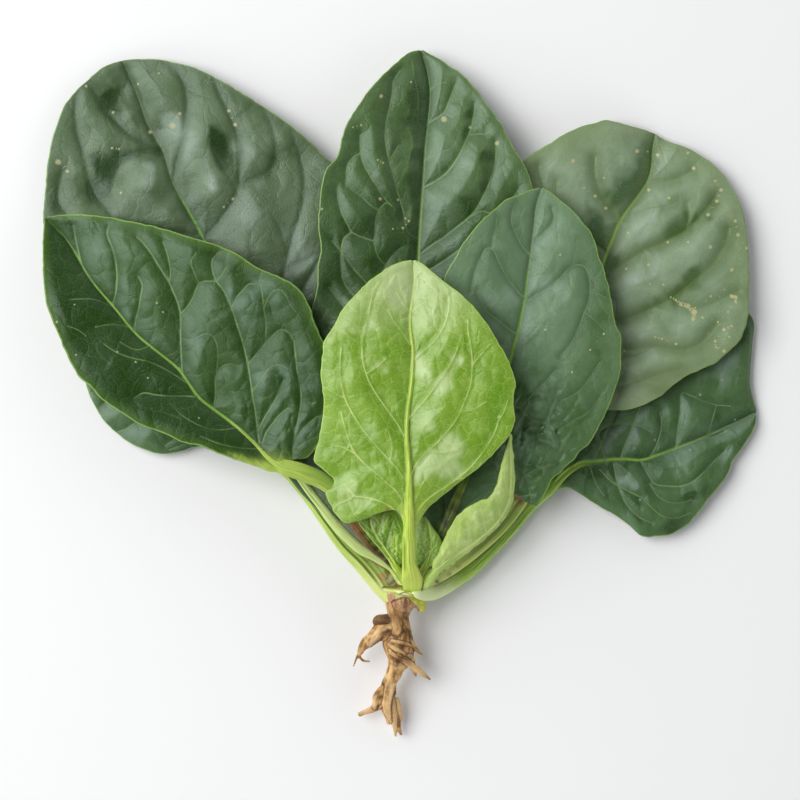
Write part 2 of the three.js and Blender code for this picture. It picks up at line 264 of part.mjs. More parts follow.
// Root: centre lines with radii.
const ROOT = {
  main: { path: [[-0.78, -66.84, 10.8], [-0.78, -69.69, 10.7], [-0.46, -72.87, 10.5], [-0.46, -76.06, 10.2],
    [-0.62, -78.93, 9.9], [-0.62, -81.51, 9.5], [-0.78, -84.1, 8.9], [-1.57, -86.72, 8.2],
    [-2.52, -89.33, 7.6], [-3.41, -91.94, 7], [-3.83, -94.56, 6.4], [-3.77, -97.83, 5.7],
    [-3.33, -100.78, 5],
    [-2.69, -103.41, 4.4]], r: [3.5, 3.4, 3.4, 3.9, 4.4, 4.2, 3.6, 2.5, 2, 2.3, 2.5, 2.6, 2.4, 1.5] },
  tip_outer: { path: [[-5.7, -93.92, 6.4], [-5.86, -97.18, 5.8], [-5.55, -99.8, 5.2],
    [-4.92, -102.17, 4.2]], r: [0.9, 1.1, 1, 0.5] },
  tip_left: { path: [[-4.59, -95.83, 6.4], [-4.28, -99.11, 5.6], [-3.96, -102.43, 4.6],
    [-3.65, -105.12, 3.6]], r: [1.3, 1.4, 1.2, 0.9] },
  tip_middle: { path: [[-3, -94.5, 6.8], [-2.69, -99.03, 6.2], [-2.05, -103.01, 5], [-1.74, -106.37, 3.8],
    [-1.58, -109.23, 2.8]], r: [1.4, 1.6, 1.4, 1, 0.4] },
  tip_right: { path: [[-1.42, -96.54, 5.8], [-0.78, -99.8, 5.2], [-0.14, -102.43, 4.6],
    [0.33, -104.08, 4.2]], r: [1, 1.1, 0.9, 0.4] },
  tip_last: { path: [[-1.1, -101.13, 4.8], [-0.78, -104.4, 4.2], [-0.46, -106.71, 3.6],
    [0.33, -108.72, 3]], r: [1, 0.9, 0.8, 0.4] },
  left_upper: { path: [[-2.67, -73.18, 10.6], [-5.83, -74.64, 10.2], [-8.84, -76.93, 9.4],
    [-10.91, -78.94, 8.4], [-12.35, -80.95, 7.4],
    [-13.48, -83.44, 6.4]], r: [3.4, 3.5, 2.5, 1.9, 1.3, 0.45] },
  left_curl: { path: [[-3.29, -70.49, 12.2], [-5.18, -70.47, 12.4], [-7.07, -70.67, 12],
    [-8.34, -71.7, 11.2]], r: [1.6, 1.5, 1.4, 0.8] },
  left_tip: { path: [[-13.48, -82.81, 6.4], [-14.28, -84.76, 6], [-14.93, -86.55, 5.6]], r: [0.5, 0.4, 0.3] },
  left_twig: { path: [[-13.32, -83.13, 6.4], [-11.9, -84.6, 6], [-9.68, -84.94, 5.8]], r: [0.6, 0.45, 0.3] },
  right_upper: { path: [[0.8, -69.96, 11.2], [1.43, -73.09, 11.4], [2.38, -76.27, 11.2], [3.8, -79.19, 10.4],
    [5.23, -81, 9.8], [6.97, -82.49, 9.2]], r: [1.7, 1.7, 1.6, 1.1, 0.7, 0.35] },
  right_side: { path: [[2.38, -78.18, 11], [3.01, -81.43, 10.2], [3.33, -84.05, 9.4], [3.81, -86.36, 8.6],
    [4.93, -89.49, 7.6]], r: [1.3, 1.1, 1.1, 0.9, 0.35] },
  strand_top: { path: [[-2.98, -66.68, 12.6], [-1.88, -69.84, 12.4], [-1.4, -73.02, 12.1],
    [-1.56, -75.71, 12]], r: [1.3, 2, 2.4, 2.2] },
  strand_over: { path: [[-2.97, -77.59, 13.6], [-0.46, -77.86, 14], [1.74, -78.39, 13.4],
    [3.64, -79.36, 11.8]], r: [0.8, 0.9, 0.8, 0.5] },
  strand_middle: { path: [[-3.6, -78.57, 13.2], [-1.4, -80.08, 13.8], [1.11, -81.61, 12.8],
    [3.32, -82.73, 11.2], [4.6, -84.32, 9.8]], r: [0.8, 0.9, 0.9, 0.8, 0.4] },
  strand_cross: { path: [[-3.29, -80.82, 12.8], [-0.77, -82.55, 12.8], [1.75, -84.29, 11.4],
    [3.96, -86.03, 10], [6.5, -88.12, 8.4], [9.54, -90.72, 6.6]], r: [0.9, 1.1, 1.1, 1, 0.8, 0.35] },
  left_stub: { path: [[-5.22, -93.55, 6.8], [-6.49, -95.14, 6.8], [-7.61, -96.78, 6.4],
    [-7.77, -98.61, 5.8]], r: [1.7, 2, 1.8, 1.2] },
  left_lower: { path: [[-4.28, -97.84, 5.6], [-6.82, -99.32, 5.2], [-10.01, -100.71, 4.4],
    [-13.21, -102.19, 3.6]], r: [1.5, 1.1, 0.95, 0.8] },
};

const YOUNG = new Set(['leaf_folded', 'heart_leaf_left', 'heart_leaf_right']);

const LOOKS = {
  leaf_lower_left: [0x4c6342, 0.55],
  leaf_lower_right: [0x3f5636, 0.5],
  leaf_upper_left: [0x4a6144, 0.45],
  leaf_upper_right: [0x5f7550, 0.6],
  leaf_centre: [0x48603f, 0.5],
  leaf_left: [0x3d5530, 0.42],
  leaf_right: [0x556d46, 0.5],
  leaf_front: [0x8cae4a, 0.4],
  leaf_folded: [0x9dba62, 0.55],
  heart_leaf_left: [0x6d9442, 0.5],
  heart_leaf_right: [0x86a84e, 0.5],
  crown: [0xb7c160, 0.55],
  taproot: [0x9a7650, 0.85],
};

// ---------------------------------------------------------------- helpers
const wasm = await Module();
wasm.setup();

const v3 = (p) => new THREE.Vector3(p[0], p[1], p[2]);
const clamp01 = (x) => Math.min(1, Math.max(0, x));

function spaceCurve(points) {
  const curve = new THREE.CatmullRomCurve3(points.map(v3), false, 'centripetal');
  curve.arcLengthDivisions = 600;
  curve.updateArcLengths();
  return curve;
}

// A list of numbers spread evenly over 0..1, read at t with smooth interpolation.
function along(list, t) {
  const x = clamp01(t) * (list.length - 1);
  const i = Math.min(Math.floor(x), list.length - 2);
  const f = x - i;
  const a = list[Math.max(0, i - 1)];
  const b = list[i];
  const c = list[i + 1];
  const d = list[Math.min(list.length - 1, i + 2)];
  return b + 0.5 * f * (c - a + f * (2 * a - 5 * b + 4 * c - d + f * (3 * (b - c) + d - a)));
}

const linear = (list, t) => {
  const x = clamp01(t) * (list.length - 1);
  const i = Math.min(Math.floor(x), list.length - 2);
  return list[i] + (list[i + 1] - list[i]) * (x - i);
};

function signedVolume(geometry) {
  const p = geometry.getAttribute('position');
  const idx = geometry.getIndex();
  const a = new THREE.Vector3();
  const b = new THREE.Vector3();
  const c = new THREE.Vector3();
  let sum = 0;
  for (let i = 0; i < idx.count; i += 3) {
    a.fromBufferAttribute(p, idx.getX(i));
    b.fromBufferAttribute(p, idx.getX(i + 1));
    c.fromBufferAttribute(p, idx.getX(i + 2));
    sum += a.dot(b.cross(c));
  }
  return sum / 6;
}

function makeGeometry(positions, index) {
  const g = new THREE.BufferGeometry();
  g.setAttribute('position', new THREE.Float32BufferAttribute(positions, 3));
  g.setIndex(index);
  if (signedVolume(g) < 0) {
    for (let i = 0; i < index.length; i += 3) [index[i], index[i + 1]] = [index[i + 1], index[i]];
    g.setIndex(index);
  }
  return g;
}

function toSolid(geometry) {
  let g = geometry.clone();
  g.deleteAttribute('normal');
  g.deleteAttribute('uv');
  g = mergeVertices(g, 1e-4);
  return new wasm.Manifold(new wasm.Mesh({
    numProp: 3,
    vertProperties: new Float32Array(g.getAttribute('position').array),
    triVerts: new Uint32Array(g.getIndex().array),
  }));
}

function toGeometry(solid) {
  const m = solid.getMesh();
  const pos = new Float32Array((m.vertProperties.length / m.numProp) * 3);
  for (let i = 0; i < pos.length / 3; i++) {
    for (let k = 0; k < 3; k++) pos[3 * i + k] = m.vertProperties[m.numProp * i + k];
  }
  const g = new THREE.BufferGeometry();
  g.setAttribute('position', new THREE.BufferAttribute(pos, 3));
  g.setIndex(new THREE.BufferAttribute(new Uint32Array(m.triVerts), 1));
  g.computeVertexNormals();
  return g;
}

// Tapering bar with an elliptical section: centres, half widths and half heights per ring.
function loft(centres, widths, heights, sides) {
  const n = centres.length;
  const up = new THREE.Vector3(0, 0, 1);
  const pos = [];
  for (let i = 0; i < n; i++) {
    const tangent = centres[Math.min(n - 1, i + 1)].clone().sub(centres[Math.max(0, i - 1)]).normalize();
    const side = tangent.clone().cross(up).normalize();
    const rise = side.clone().cross(tangent).normalize();
    for (let k = 0; k < sides; k++) {
      const a = (2 * Math.PI * k) / sides;
      const q = centres[i].clone()
        .addScaledVector(side, widths[i] * Math.cos(a))
        .addScaledVector(rise, heights[i] * Math.sin(a));
      pos.push(q.x, q.y, q.z);
    }
  }
  pos.push(...centres[0].toArray(), ...centres[n - 1].toArray());
  const c0 = n * sides;
  const c1 = c0 + 1;
  const idx = [];
  for (let i = 0; i < n - 1; i++) {
    for (let k = 0; k < sides; k++) {
      const a = i * sides + k;
      const b = i * sides + ((k + 1) % sides);
      idx.push(a, b, a + sides, b, b + sides, a + sides);
    }
  }
  for (let k = 0; k < sides; k++) {
    const l = (k + 1) % sides;
    idx.push(c0, l, k, c1, (n - 1) * sides + k, (n - 1) * sides + l);
  }
  return makeGeometry(pos, idx);
}

function sweep(points, radii, rings, sides, grow = 0) {
  const curve = spaceCurve(points);
  const centres = [];
  const w = [];
  const h = [];
  for (let i = 0; i < rings; i++) {
    const t = i / (rings - 1);
    centres.push(curve.getPointAt(t));
    w.push(linear(radii.map((r) => (Array.isArray(r) ? r[0] : r)), t) + grow);
    h.push(linear(radii.map((r) => (Array.isArray(r) ? r[1] : r)), t) + grow);
  }
  return loft(centres, w, h, sides);
}

// ---------------------------------------------------------------- a leaf blade
function bladePoint(leaf, t, s) {
  const m = leaf.midCurve.getPointAt(t);
  const edge = (s < 0 ? leaf.leftCurve : leaf.rightCurve).getPointAt(t);
  const q = Math.abs(s);
  const p = m.clone().lerp(edge, q);
  p.z += along(s < 0 ? leaf.puffL : leaf.puffR, t) * 4 * q * (1 - q);
  return p;
}

function bladeGeometry(leaf, rows, cols) {
  const wide = 2 * cols + 1;
  const top = [];
  for (let i = 0; i <= rows; i++) {
    for (let j = -cols; j <= cols; j++) top.push(bladePoint(leaf, i / rows, j / cols));
  }
  const at = (i, j) => top[i * wide + j];
  const pos = [];
  top.forEach((p) => pos.push(p.x, p.y, p.z));
  for (let i = 0; i <= rows; i++) {
    for (let j = 0; j < wide; j++) {
      const du = at(Math.min(rows, i + 1), j).clone().sub(at(Math.max(0, i - 1), j));
      const dv = at(i, Math.min(wide - 1, j + 1)).clone().sub(at(i, Math.max(0, j - 1)));
      const slope = Math.abs(du.cross(dv).normalize().z);
      const p = at(i, j);
      pos.push(p.x, p.y, p.z - BLADE_T / Math.max(0.5, slope));
    }
  }
  const off = top.length;
  const idx = [];
  for (let i = 0; i < rows; i++) {
    for (let j = 0; j < wide - 1; j++) {
      const a = i * wide + j;
      const b = a + 1;
      const c = a + wide;
      const d = c + 1;
      idx.push(a, b, d, a, d, c, off + a, off + d, off + b, off + a, off + c, off + d);
    }
  }
  const rim = [];
  for (let j = 0; j < wide; j++) rim.push(j);
  for (let i = 1; i <= rows; i++) rim.push(i * wide + wide - 1);
  for (let j = wide - 2; j >= 0; j--) rim.push(rows * wide + j);
  for (let i = rows - 1; i >= 1; i--) rim.push(i * wide);
  rim.forEach((a, k) => {
    const b = rim[(k + 1) % rim.length];
    idx.push(a, off + a, b, b, off + a, off + b);
  });
  return makeGeometry(pos, idx);
}

// Stalk from the crown to the blade, running on under the midrib as a thinning rib.
function stalkGeometry(leaf, small, grow = 0) {
  const centres = [];
  const w = [];
  const h = [];
  const stalk = spaceCurve(leaf.stalk);
  const rings = small ? 4 : 7;
  for (let i = 0; i < rings; i++) {
    const t = i / (rings - 1);
    centres.push(stalk.getPointAt(t));
    w.push(linear(leaf.stalkR.map((r) => r[0]), t) + grow);
    h.push(linear(leaf.stalkR.map((r) => r[1]), t) + grow);
  }
  const last = leaf.stalkR[leaf.stalkR.length - 1];
  const ribRings = small ? 3 : 6;
  const end = small ? [0.45, 0.4] : RIB_END;
  for (let i = 1; i <= ribRings; i++) {
    const f = i / ribRings;
    const c = leaf.midCurve.getPointAt(f * RIB_REACH);
    const half = last[1] + (end[1] - last[1]) * f;
    c.z -= 0.45 * BLADE_T + 0.35 * half * Math.min(1, 2 * f);
    centres.push(c);
    w.push(last[0] + (end[0] - last[0]) * f + grow);
    h.push(half + grow);
  }
  return loft(centres, w, h, small ? 6 : STALK_SIDES);
}

// ---------------------------------------------------------------- assembly
const plant = new THREE.Group();
plant.name = 'spinach_bunch';

function addPiece(name, solid) {
  const [colour, roughness] = LOOKS[name];
  const mesh = new THREE.Mesh(
    toGeometry(solid),
    new THREE.MeshStandardMaterial({ color: colour, roughness, metalness: 0 }),
  );
  mesh.name = name;
  plant.add(mesh);
}

for (const leaf of Object.values(LEAVES)) {
  leaf.midCurve = spaceCurve(leaf.mid);
  leaf.leftCurve = spaceCurve(leaf.left);
  leaf.rightCurve = spaceCurve(leaf.right);
}

for (const [name, leaf] of Object.entries(LEAVES)) {
  const small = YOUNG.has(name);
  const blade = toSolid(bladeGeometry(leaf, small ? ROWS_SMALL : ROWS, small ? COLS_SMALL : COLS));
  addPiece(name, blade.add(toSolid(stalkGeometry(leaf, small))));
}

// Crown: a rounded body with a stump for every stalk, cleared around the stalks themselves.
const body = new THREE.SphereGeometry(1, 16, 11);
body.scale(CROWN_HALF[0], CROWN_HALF[1], CROWN_HALF[2]);
body.translate(CROWN_CENTRE[0], CROWN_CENTRE[1], CROWN_CENTRE[2]);
let crown = toSolid(body);
crown = crown.add(toSolid(sweep([COLLAR[0], COLLAR[1]], COLLAR_R, 3, 12)));
crown = crown.add(toSolid(sweep(SHEATH, SHEATH_R, 6, 8)));
crown = crown.add(toSolid(sweep(RIDGE, RIDGE_R, 6, 8)));
for (const leaf of Object.values(LEAVES)) {
  const start = v3(leaf.stalk[0]);
  const back = start.clone().sub(v3(leaf.stalk[1])).normalize();
  const end = start.clone().addScaledVector(back, GAP);
  const core = v3(CROWN_CENTRE);
  core.z += 0.55 * (start.z - core.z);
  const middle = end.clone().lerp(core, 0.45);
  const r = leaf.stalkR[0];
  crown = crown.add(toSolid(sweep(
    [core.toArray(), middle.toArray(), end.toArray()],
    [[r[0] * 0.9, r[1] * 0.9], [r[0], r[1]], [r[0], r[1]]], 5, 8,
  )));
}
for (const [name, leaf] of Object.entries(LEAVES)) {
  crown = crown.subtract(toSolid(stalkGeometry(leaf, YOUNG.has(name), GAP)));
}
for (const [name, branch] of Object.entries(ROOT)) {
  const top = v3(branch.path[0]);
  const back = top.clone().sub(v3(branch.path[1])).normalize();
  crown = crown.subtract(toSolid(sweep(
    [top.clone().addScaledVector(back, GAP).toArray(), ...branch.path.slice(1)],
    branch.r, name === 'main' ? 16 : 6, name === 'main' ? 12 : 7, GAP,
  )));
}
addPiece('crown', crown);

// Taproot and side roots, one grown piece.
let root = null;
for (const [name, branch] of Object.entries(ROOT)) {
  const solid = toSolid(sweep(branch.path, branch.r, name === 'main' ? 16 : 6, name === 'main' ? 12 : 7));
  root = root ? root.add(solid) : solid;
}
addPiece('taproot', root);

export default plant;
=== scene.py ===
# A bunch of spinach lying flat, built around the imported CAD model: every leaf is one closed mesh
# (stalk, rib and blade in one skin) lofted on the same curves as its CAD solid, with the veins,
# the swollen panels between them and the fine net as real relief.
import math

import bpy
import numpy as np
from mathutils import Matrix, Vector


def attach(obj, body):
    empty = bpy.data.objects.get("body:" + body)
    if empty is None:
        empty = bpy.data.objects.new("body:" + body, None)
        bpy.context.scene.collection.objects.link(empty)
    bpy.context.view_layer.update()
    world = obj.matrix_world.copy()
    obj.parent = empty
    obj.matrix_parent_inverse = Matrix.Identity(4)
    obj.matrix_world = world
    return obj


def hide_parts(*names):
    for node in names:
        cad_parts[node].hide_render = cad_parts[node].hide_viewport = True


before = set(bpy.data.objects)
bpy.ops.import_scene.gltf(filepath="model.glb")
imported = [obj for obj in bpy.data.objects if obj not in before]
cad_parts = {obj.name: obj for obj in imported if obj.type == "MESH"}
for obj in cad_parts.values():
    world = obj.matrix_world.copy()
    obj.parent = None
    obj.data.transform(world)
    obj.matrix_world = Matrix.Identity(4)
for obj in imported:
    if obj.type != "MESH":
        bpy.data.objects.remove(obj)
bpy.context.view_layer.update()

MM = 0.001
EYE = np.array([-0.144, -1.366, 720.8])      # mm: the point the plan drawings below are seen from
PLANE = 0.8                    # mm: height of the plane those drawings lie on

# ------------------------------------------------------------------ curves of the leaves, in mm
# stalk: centre line, r: its half width and half height, mid/left/right: blade curves, base to tip,
# puffL/puffR: swelling of each half along its length, sheath: how the stalk runs on over the crown,
# each point with its half width and half height, innermost first.
LEAVES = {
    "leaf_lower_left": {
        "stalk": [(-3.63, -63.27, 8.4), (-7.12, -58, 6.9), (-11.58, -52.67, 6.1), (-16.99, -47.62, 5.6),
            (-23.04, -40.32, 5.3), (-29.41, -31.75, 5), (-35.14, -25.39, 5)],
        "mid": [(-35.14, -25.39, 5), (-44.07, -20.31, 4.57), (-53.66, -15.22, 4.13), (-63.89, -10.77, 3.67),
            (-74.14, -5.67, 3.19), (-85.68, -0.57, 2.68), (-94.68, 3.26, 2.22), (-100.47, 6.46, 1.9)],
        "left": [(-36.09, -26.02, 5), (-44.07, -22.22, 4.55), (-52.38, -19.04, 4.1), (-60.07, -16.82, 3.66),
            (-65.19, -16.83, 3.43), (-70.94, -18.43, 3.3), (-76.04, -19.07, 3.26), (-80.51, -18.11, 3.22),
            (-85.63, -15.88, 3.11), (-90.75, -12.37, 2.97), (-94.6, -8.55, 2.79), (-97.18, -4.4, 2.58),
            (-99.13, -0.57, 2.35), (-100.44, 3.27, 2.13), (-100.46, 5.82, 2)],
        "right": [(-35.46, -24.43, 5), (-37.68, -17.75, 5.03), (-44.05, -8.21, 4.98), (-52.35, 1.98, 4.53),
            (-61.94, 10.26, 4.1), (-73.46, 16.01, 3.62), (-84.99, 17.29, 3.09), (-93.99, 14.12, 2.57),
            (-99.15, 10.29, 2.2), (-100.46, 7.1, 2)],
        "sheath": [(0.17, -66.55, 10.6, 1.2, 1.2), (-1.72, -65.37, 9.6, 2.2, 1.6)],
        "r": [(3, 1.9), (4, 1.9), (4, 1.9), (3.4, 1.9), (2.6, 1.8), (2.3, 1.5), (2, 1.2)],
        "puffL": [0.2, 0.9, 1.2, 0.9, 0.3], "puffR": [0.2, 0.5, 0.7, 0.5, 0.2],
    },
    "leaf_lower_right": {
        "stalk": [(11.91, -61.94, 7.2), (16.36, -59.28, 6.8), (22.09, -55.52, 6.2), (28.46, -49.52, 5.6),
            (34.84, -42.87, 5.3), (41.21, -35.56, 5.1), (47.24, -30.47, 5.2)],
        "mid": [(47.24, -30.47, 5.2), (51.38, -26.01, 5.21), (56.47, -22.52, 5.2), (63.47, -21.25, 5.12),
            (70.49, -20.62, 4.91), (76.89, -20.94, 4.59), (82.02, -19.36, 4.28), (87.8, -17.14, 3.87),
            (94.24, -14.6, 3.38), (101.33, -11.42, 2.79), (108.43, -8.23, 2.32), (113.59, -5.68, 2)],
        "left": [(46.29, -29.2, 5.2), (49.47, -24.11, 5.15), (53.93, -16.48, 5.08), (59.68, -6.3, 4.87),
            (66.71, 4.52, 4.47), (75.05, 14.72, 3.88), (84.04, 22.39, 3.3), (93.67, 26.87, 2.81),
            (103.3, 28.49, 2.44), (109.71, 27.22, 2.25), (112.61, 23.71, 2.14), (112.31, 15.73, 2),
            (111.67, 8.38, 1.96), (111.67, 2.63, 1.98), (112.63, -1.21, 1.99), (113.59, -4.72, 2)],
        "right": [(48.21, -31.43, 5), (50.76, -30.16, 4.89), (53.64, -29.85, 4.77), (57.15, -31.76, 4.62),
            (63.54, -35.92, 4.31), (69.31, -39.12, 3.99), (73.15, -41.99, 3.82), (76.65, -45.18, 3.81),
            (81.42, -45.18, 3.92), (85.86, -44.53, 4.09), (90.29, -42.29, 4.3), (94.07, -38.76, 4.66),
            (97.21, -34.29, 4.97), (101.04, -29.84, 4.88), (104.29, -25.4, 4.42), (105.62, -21.6, 4.01),
            (108.88, -17.15, 3.52), (111.83, -12.69, 3.03), (113.49, -8.55, 2.61), (113.52, -6.32, 2.4)],
        "sheath": [(3.45, -62.05, 18.1, 0.35, 0.35), (5.48, -62.67, 17.4, 1.3, 0.9), (8.67, -62.89, 12.7, 2.2, 1.7)],
        "r": [(2.7, 2.1), (2.8, 2.1), (2.5, 2), (2.3, 1.9), (2.2, 1.7), (2, 1.5), (1.8, 1.2)],
        "puffL": [0.2, 0.6, 1, 1, 0.3], "puffR": [0.2, 0.8, 1.2, 1, 0.3],
    },
    "leaf_upper_left": {
        "stalk": [(-1.41, -57.39, 10.6), (-2.99, -55.03, 10.5), (-5.51, -53.15, 10.4), (-8.67, -51.1, 10.3),
            (-12.46, -49.06, 10.2), (-16.25, -45.75, 10.1), (-19.1, -42.9, 10.1)],
        "mid": [(-19.1, -42.9, 10.1), (-22.89, -38.49, 9.96), (-27, -33.44, 9.8), (-31.75, -27.13, 9.6),
            (-36.83, -18.28, 9.31), (-41.91, -5.64, 8.85), (-47.66, 10.83, 8.07), (-53.44, 27.34, 7.01),
            (-59.23, 42, 6.01), (-62.78, 49.66, 5.46), (-65.68, 55.1, 5.05), (-68.57, 60.22, 4.67),
            (-71.16, 64.71, 4.32), (-73.1, 69.2, 3.99), (-74.4, 73.37, 3.71), (-75.71, 77.54, 3.44),
            (-77.97, 81.08, 3.19), (-79.9, 84.61, 2.97), (-81.52, 88.15, 2.77), (-82.82, 92, 2.56),
            (-84.12, 95.86, 2.37), (-86.07, 100.37, 2.13), (-88.98, 106.48, 1.8)],
        "left": [(-20.04, -43.53, 10.1), (-23.84, -39.43, 9.99), (-28.27, -34.7, 9.87), (-32.69, -29.97, 9.76),
            (-36.18, -25.23, 9.64), (-41.88, -19.55, 9.43), (-47.58, -15.76, 9.22), (-56.47, -11.33, 8.84),
            (-69.19, -5.96, 8.21), (-81.95, 1.65, 7.41), (-93.48, 10.54, 6.5), (-101.83, 20.4, 5.81),
            (-107.64, 31.23, 5.24), (-111.53, 42.71, 4.78), (-113.48, 51.64, 4.52), (-113.81, 58.65, 4.4),
            (-113.19, 65.03, 4.33), (-112.56, 71.4, 4.25), (-111.63, 77.79, 4.13), (-110.07, 84.18, 3.91),
            (-108.51, 88.99, 3.66), (-106.64, 92.85, 3.41), (-103.81, 96.4, 3.1), (-100.67, 99.64, 2.76),
            (-95.95, 103.86, 2.28), (-92.79, 105.49, 2.03), (-89.62, 106.48, 1.8)],
        "right": [(-17.51, -42.9, 10.2), (-16.25, -39.42, 10.18), (-17.2, -35, 10.16), (-19.73, -30.27, 10.14),
            (-22.25, -23.95, 10.12), (-24.15, -17, 10.06), (-24.79, -6.58, 9.9), (-22.9, 7.01, 9.55),
            (-19.75, 20.3, 9.2), (-17.23, 33.59, 8.95), (-15.34, 46.26, 8.73), (-15.02, 56.41, 8.5),
            (-16.29, 64.03, 8.3), (-18.83, 69.74, 8.12), (-22.32, 73.88, 7.95), (-24.86, 76.11, 7.83),
            (-28.04, 79.3, 7.66), (-31.85, 82.81, 7.45), (-36.62, 86.65, 7.17), (-41.39, 89.86, 6.88),
            (-46.17, 93.07, 6.57), (-50.96, 95.97, 6.22), (-55.75, 98.89, 5.83), (-60.56, 101.49, 5.39),
            (-65.37, 103.8, 4.87), (-70.2, 105.15, 4.32), (-75.04, 106.51, 3.72), (-79.89, 106.92, 3.13),
            (-84.74, 107.01, 2.56), (-87.97, 106.74, 2.2)],
        "sheath": [(1.11, -60.96, 13.2, 0.5, 0.6), (-0.14, -59.52, 11.6, 0.8, 0.9)],
        "r": [(0.9, 1.2), (1, 1.4), (1.2, 1.5), (1.4, 1.6), (1.7, 1.6), (1.7, 1.6), (1.7, 1.5)],
        "puffL": [0.2, 0.5, 1.5, 1.6, 0.4], "puffR": [0.2, 0.5, 1.2, 1.6, 0.4],
    },
    "leaf_upper_right": {
        "stalk": [(14.38, -55.83, 10.4), (19.44, -52.37, 10.2), (25.76, -47.33, 10), (32.09, -41.34, 9.8),
            (37.78, -34.08, 9.7), (42.21, -25.86, 9.7), (45.36, -16.38, 9.8), (47.26, -6.9, 9.8), (48.52, 1.95, 9.8)],
        "mid": [(48.52, 1.95, 9.8), (51.36, 10.17, 9.84), (55.48, 20.28, 9.66), (59.95, 30.42, 9.1),
            (63.82, 39.96, 8.27), (65.78, 45.7, 7.65), (67.41, 49.54, 7.15), (68.73, 53.07, 6.67),
            (71.01, 56.92, 6.07), (73.62, 60.47, 5.44), (76.23, 64.03, 4.78), (78.53, 67.59, 4.14),
            (79.88, 72.12, 3.44), (80.29, 77.31, 2.67), (81.34, 83.16, 1.8)],
        "left": [(46.94, 2.58, 9.8), (45.99, 8.9, 9.79), (43.46, 18.38, 9.79), (39.67, 29.12, 9.87),
            (35.87, 39.86, 9.99), (33.34, 49.97, 10.06), (32.71, 59.45, 10.02), (34.3, 67.04, 9.84),
            (38.74, 73.71, 9.52), (42.55, 76.59, 9.23), (47.33, 79.5, 8.7), (52.13, 82.43, 7.96),
            (56.95, 84.75, 7.1), (61.78, 86.13, 6.24), (65.02, 87.16, 5.61), (68.26, 86.61, 4.92),
            (73.15, 85.47, 3.78), (78.06, 84.34, 2.61), (80.68, 83.45, 2)],
        "right": [(48.52, 1.32, 9.8), (51.68, 0.06, 9.85), (55.46, -1.84, 9.91), (60.51, -4.05, 9.99),
            (66.2, -5, 10), (70.94, -5, 9.93), (75.69, -3.74, 9.82), (78.86, -2.47, 9.73), (82.04, -0.58, 9.62),
            (86.8, 3.53, 9.45), (90.93, 6.07, 9.3), (94.74, 7.65, 9.15), (99.52, 9.87, 8.94), (103.67, 13.35, 8.68),
            (107.51, 17.16, 8.39), (109.13, 20.96, 8.14), (110.13, 25.41, 7.81), (110.52, 31.14, 7.32),
            (110.61, 36.87, 6.78), (110.68, 41.98, 6.34), (110.41, 45.81, 6.02), (110.15, 50.6, 5.63),
            (108.95, 57, 5.16), (107.09, 62.43, 4.84), (104.89, 66.59, 4.67), (102.36, 70.42, 4.51),
            (99.21, 73.63, 4.29), (95.44, 76.21, 3.93), (92.3, 78.17, 3.53), (89.17, 79.5, 3.08),
            (84.47, 81.17, 2.38), (81.96, 82.81, 2)],
        "sheath": [(6.14, -60.87, 14.3, 0.8, 0.8), (10.25, -58.23, 12, 1.9, 1.4)],
        "r": [(2.3, 1.7), (2.3, 1.8), (2.3, 1.8), (2.3, 1.8), (2.2, 1.7), (2.1, 1.6), (2, 1.5), (1.9, 1.4), (1.8, 1.2)],
        "puffL": [0.2, 1, 1.4, 1.4, 0.3], "puffR": [0.2, 1, 1.8, 1.6, 0.3],
    },
    "leaf_centre": {
        "stalk": [(2.71, -54.49, 7.2), (3.02, -47.78, 8), (3.33, -38.2, 9.4), (3.64, -27.08, 10.8),
            (3.64, -16.96, 12)],
        "mid": [(3.64, -16.96, 12), (3.95, -4.99, 11.9), (4.58, 10.77, 11.7), (4.9, 26.54, 11.35),
            (5.54, 41.71, 10.78), (5.85, 48.67, 10.48), (6.49, 58.18, 10.06), (7.13, 67.7, 9.55),
            (7.77, 77.26, 8.89), (8.72, 86.85, 8.11), (9.37, 95.84, 7.25), (8.43, 102.92, 6.48), (6.53, 109.06, 5.8)],
        "left": [(2.69, -16.64, 12.2), (-0.77, -10.65, 12.56), (-7.69, -2.47, 13.11), (-15.23, 5.71, 13.54),
            (-21.51, 13.25, 13.78), (-25.28, 18.58, 13.92), (-27.16, 22.66, 14.01), (-27.78, 26.43, 14.1),
            (-27.15, 29.57, 14.17), (-26.21, 34.27, 14.28), (-25.89, 40.55, 14.39), (-24.95, 45.26, 14.41),
            (-25.26, 48.4, 14.38), (-25.89, 54.69, 14.27), (-25.27, 60.98, 14.08), (-24.65, 66.66, 13.83),
            (-23.09, 71.08, 13.58), (-20.27, 74.26, 13.28), (-19.33, 76.8, 13.06), (-18.4, 80.94, 12.65),
            (-17.15, 84.77, 12.21), (-15.27, 87.97, 11.75), (-12.45, 92.48, 11.03), (-9.62, 96.37, 10.29),
            (-6.47, 99.97, 9.4), (-3.31, 103.27, 8.44), (-0.14, 106.27, 7.47), (3.03, 108.62, 6.61),
            (5.89, 109.35, 6)],
        "right": [(4.58, -16.64, 12.2), (8.67, -11.28, 12.55), (16.21, -2.47, 13.15), (25, 8.85, 13.58),
            (33.16, 21.42, 13.77), (38.81, 34.6, 13.97), (41.95, 47.17, 14), (42.9, 57.24, 13.81),
            (41.66, 64.8, 13.55), (38.54, 73.02, 13.1), (36.36, 76.2, 12.81), (33.86, 80.66, 12.35),
            (31.37, 85.77, 11.73), (28.25, 90.27, 11.05), (25.12, 94.79, 10.31), (21.36, 99.34, 9.36),
            (18.85, 101.97, 8.69), (15.7, 103.98, 7.96), (12.54, 106.31, 7.18), (9.38, 108, 6.48), (7.16, 109.35, 6)],
        "sheath": [(2.07, -60.26, 10.3, 1.5, 1)],
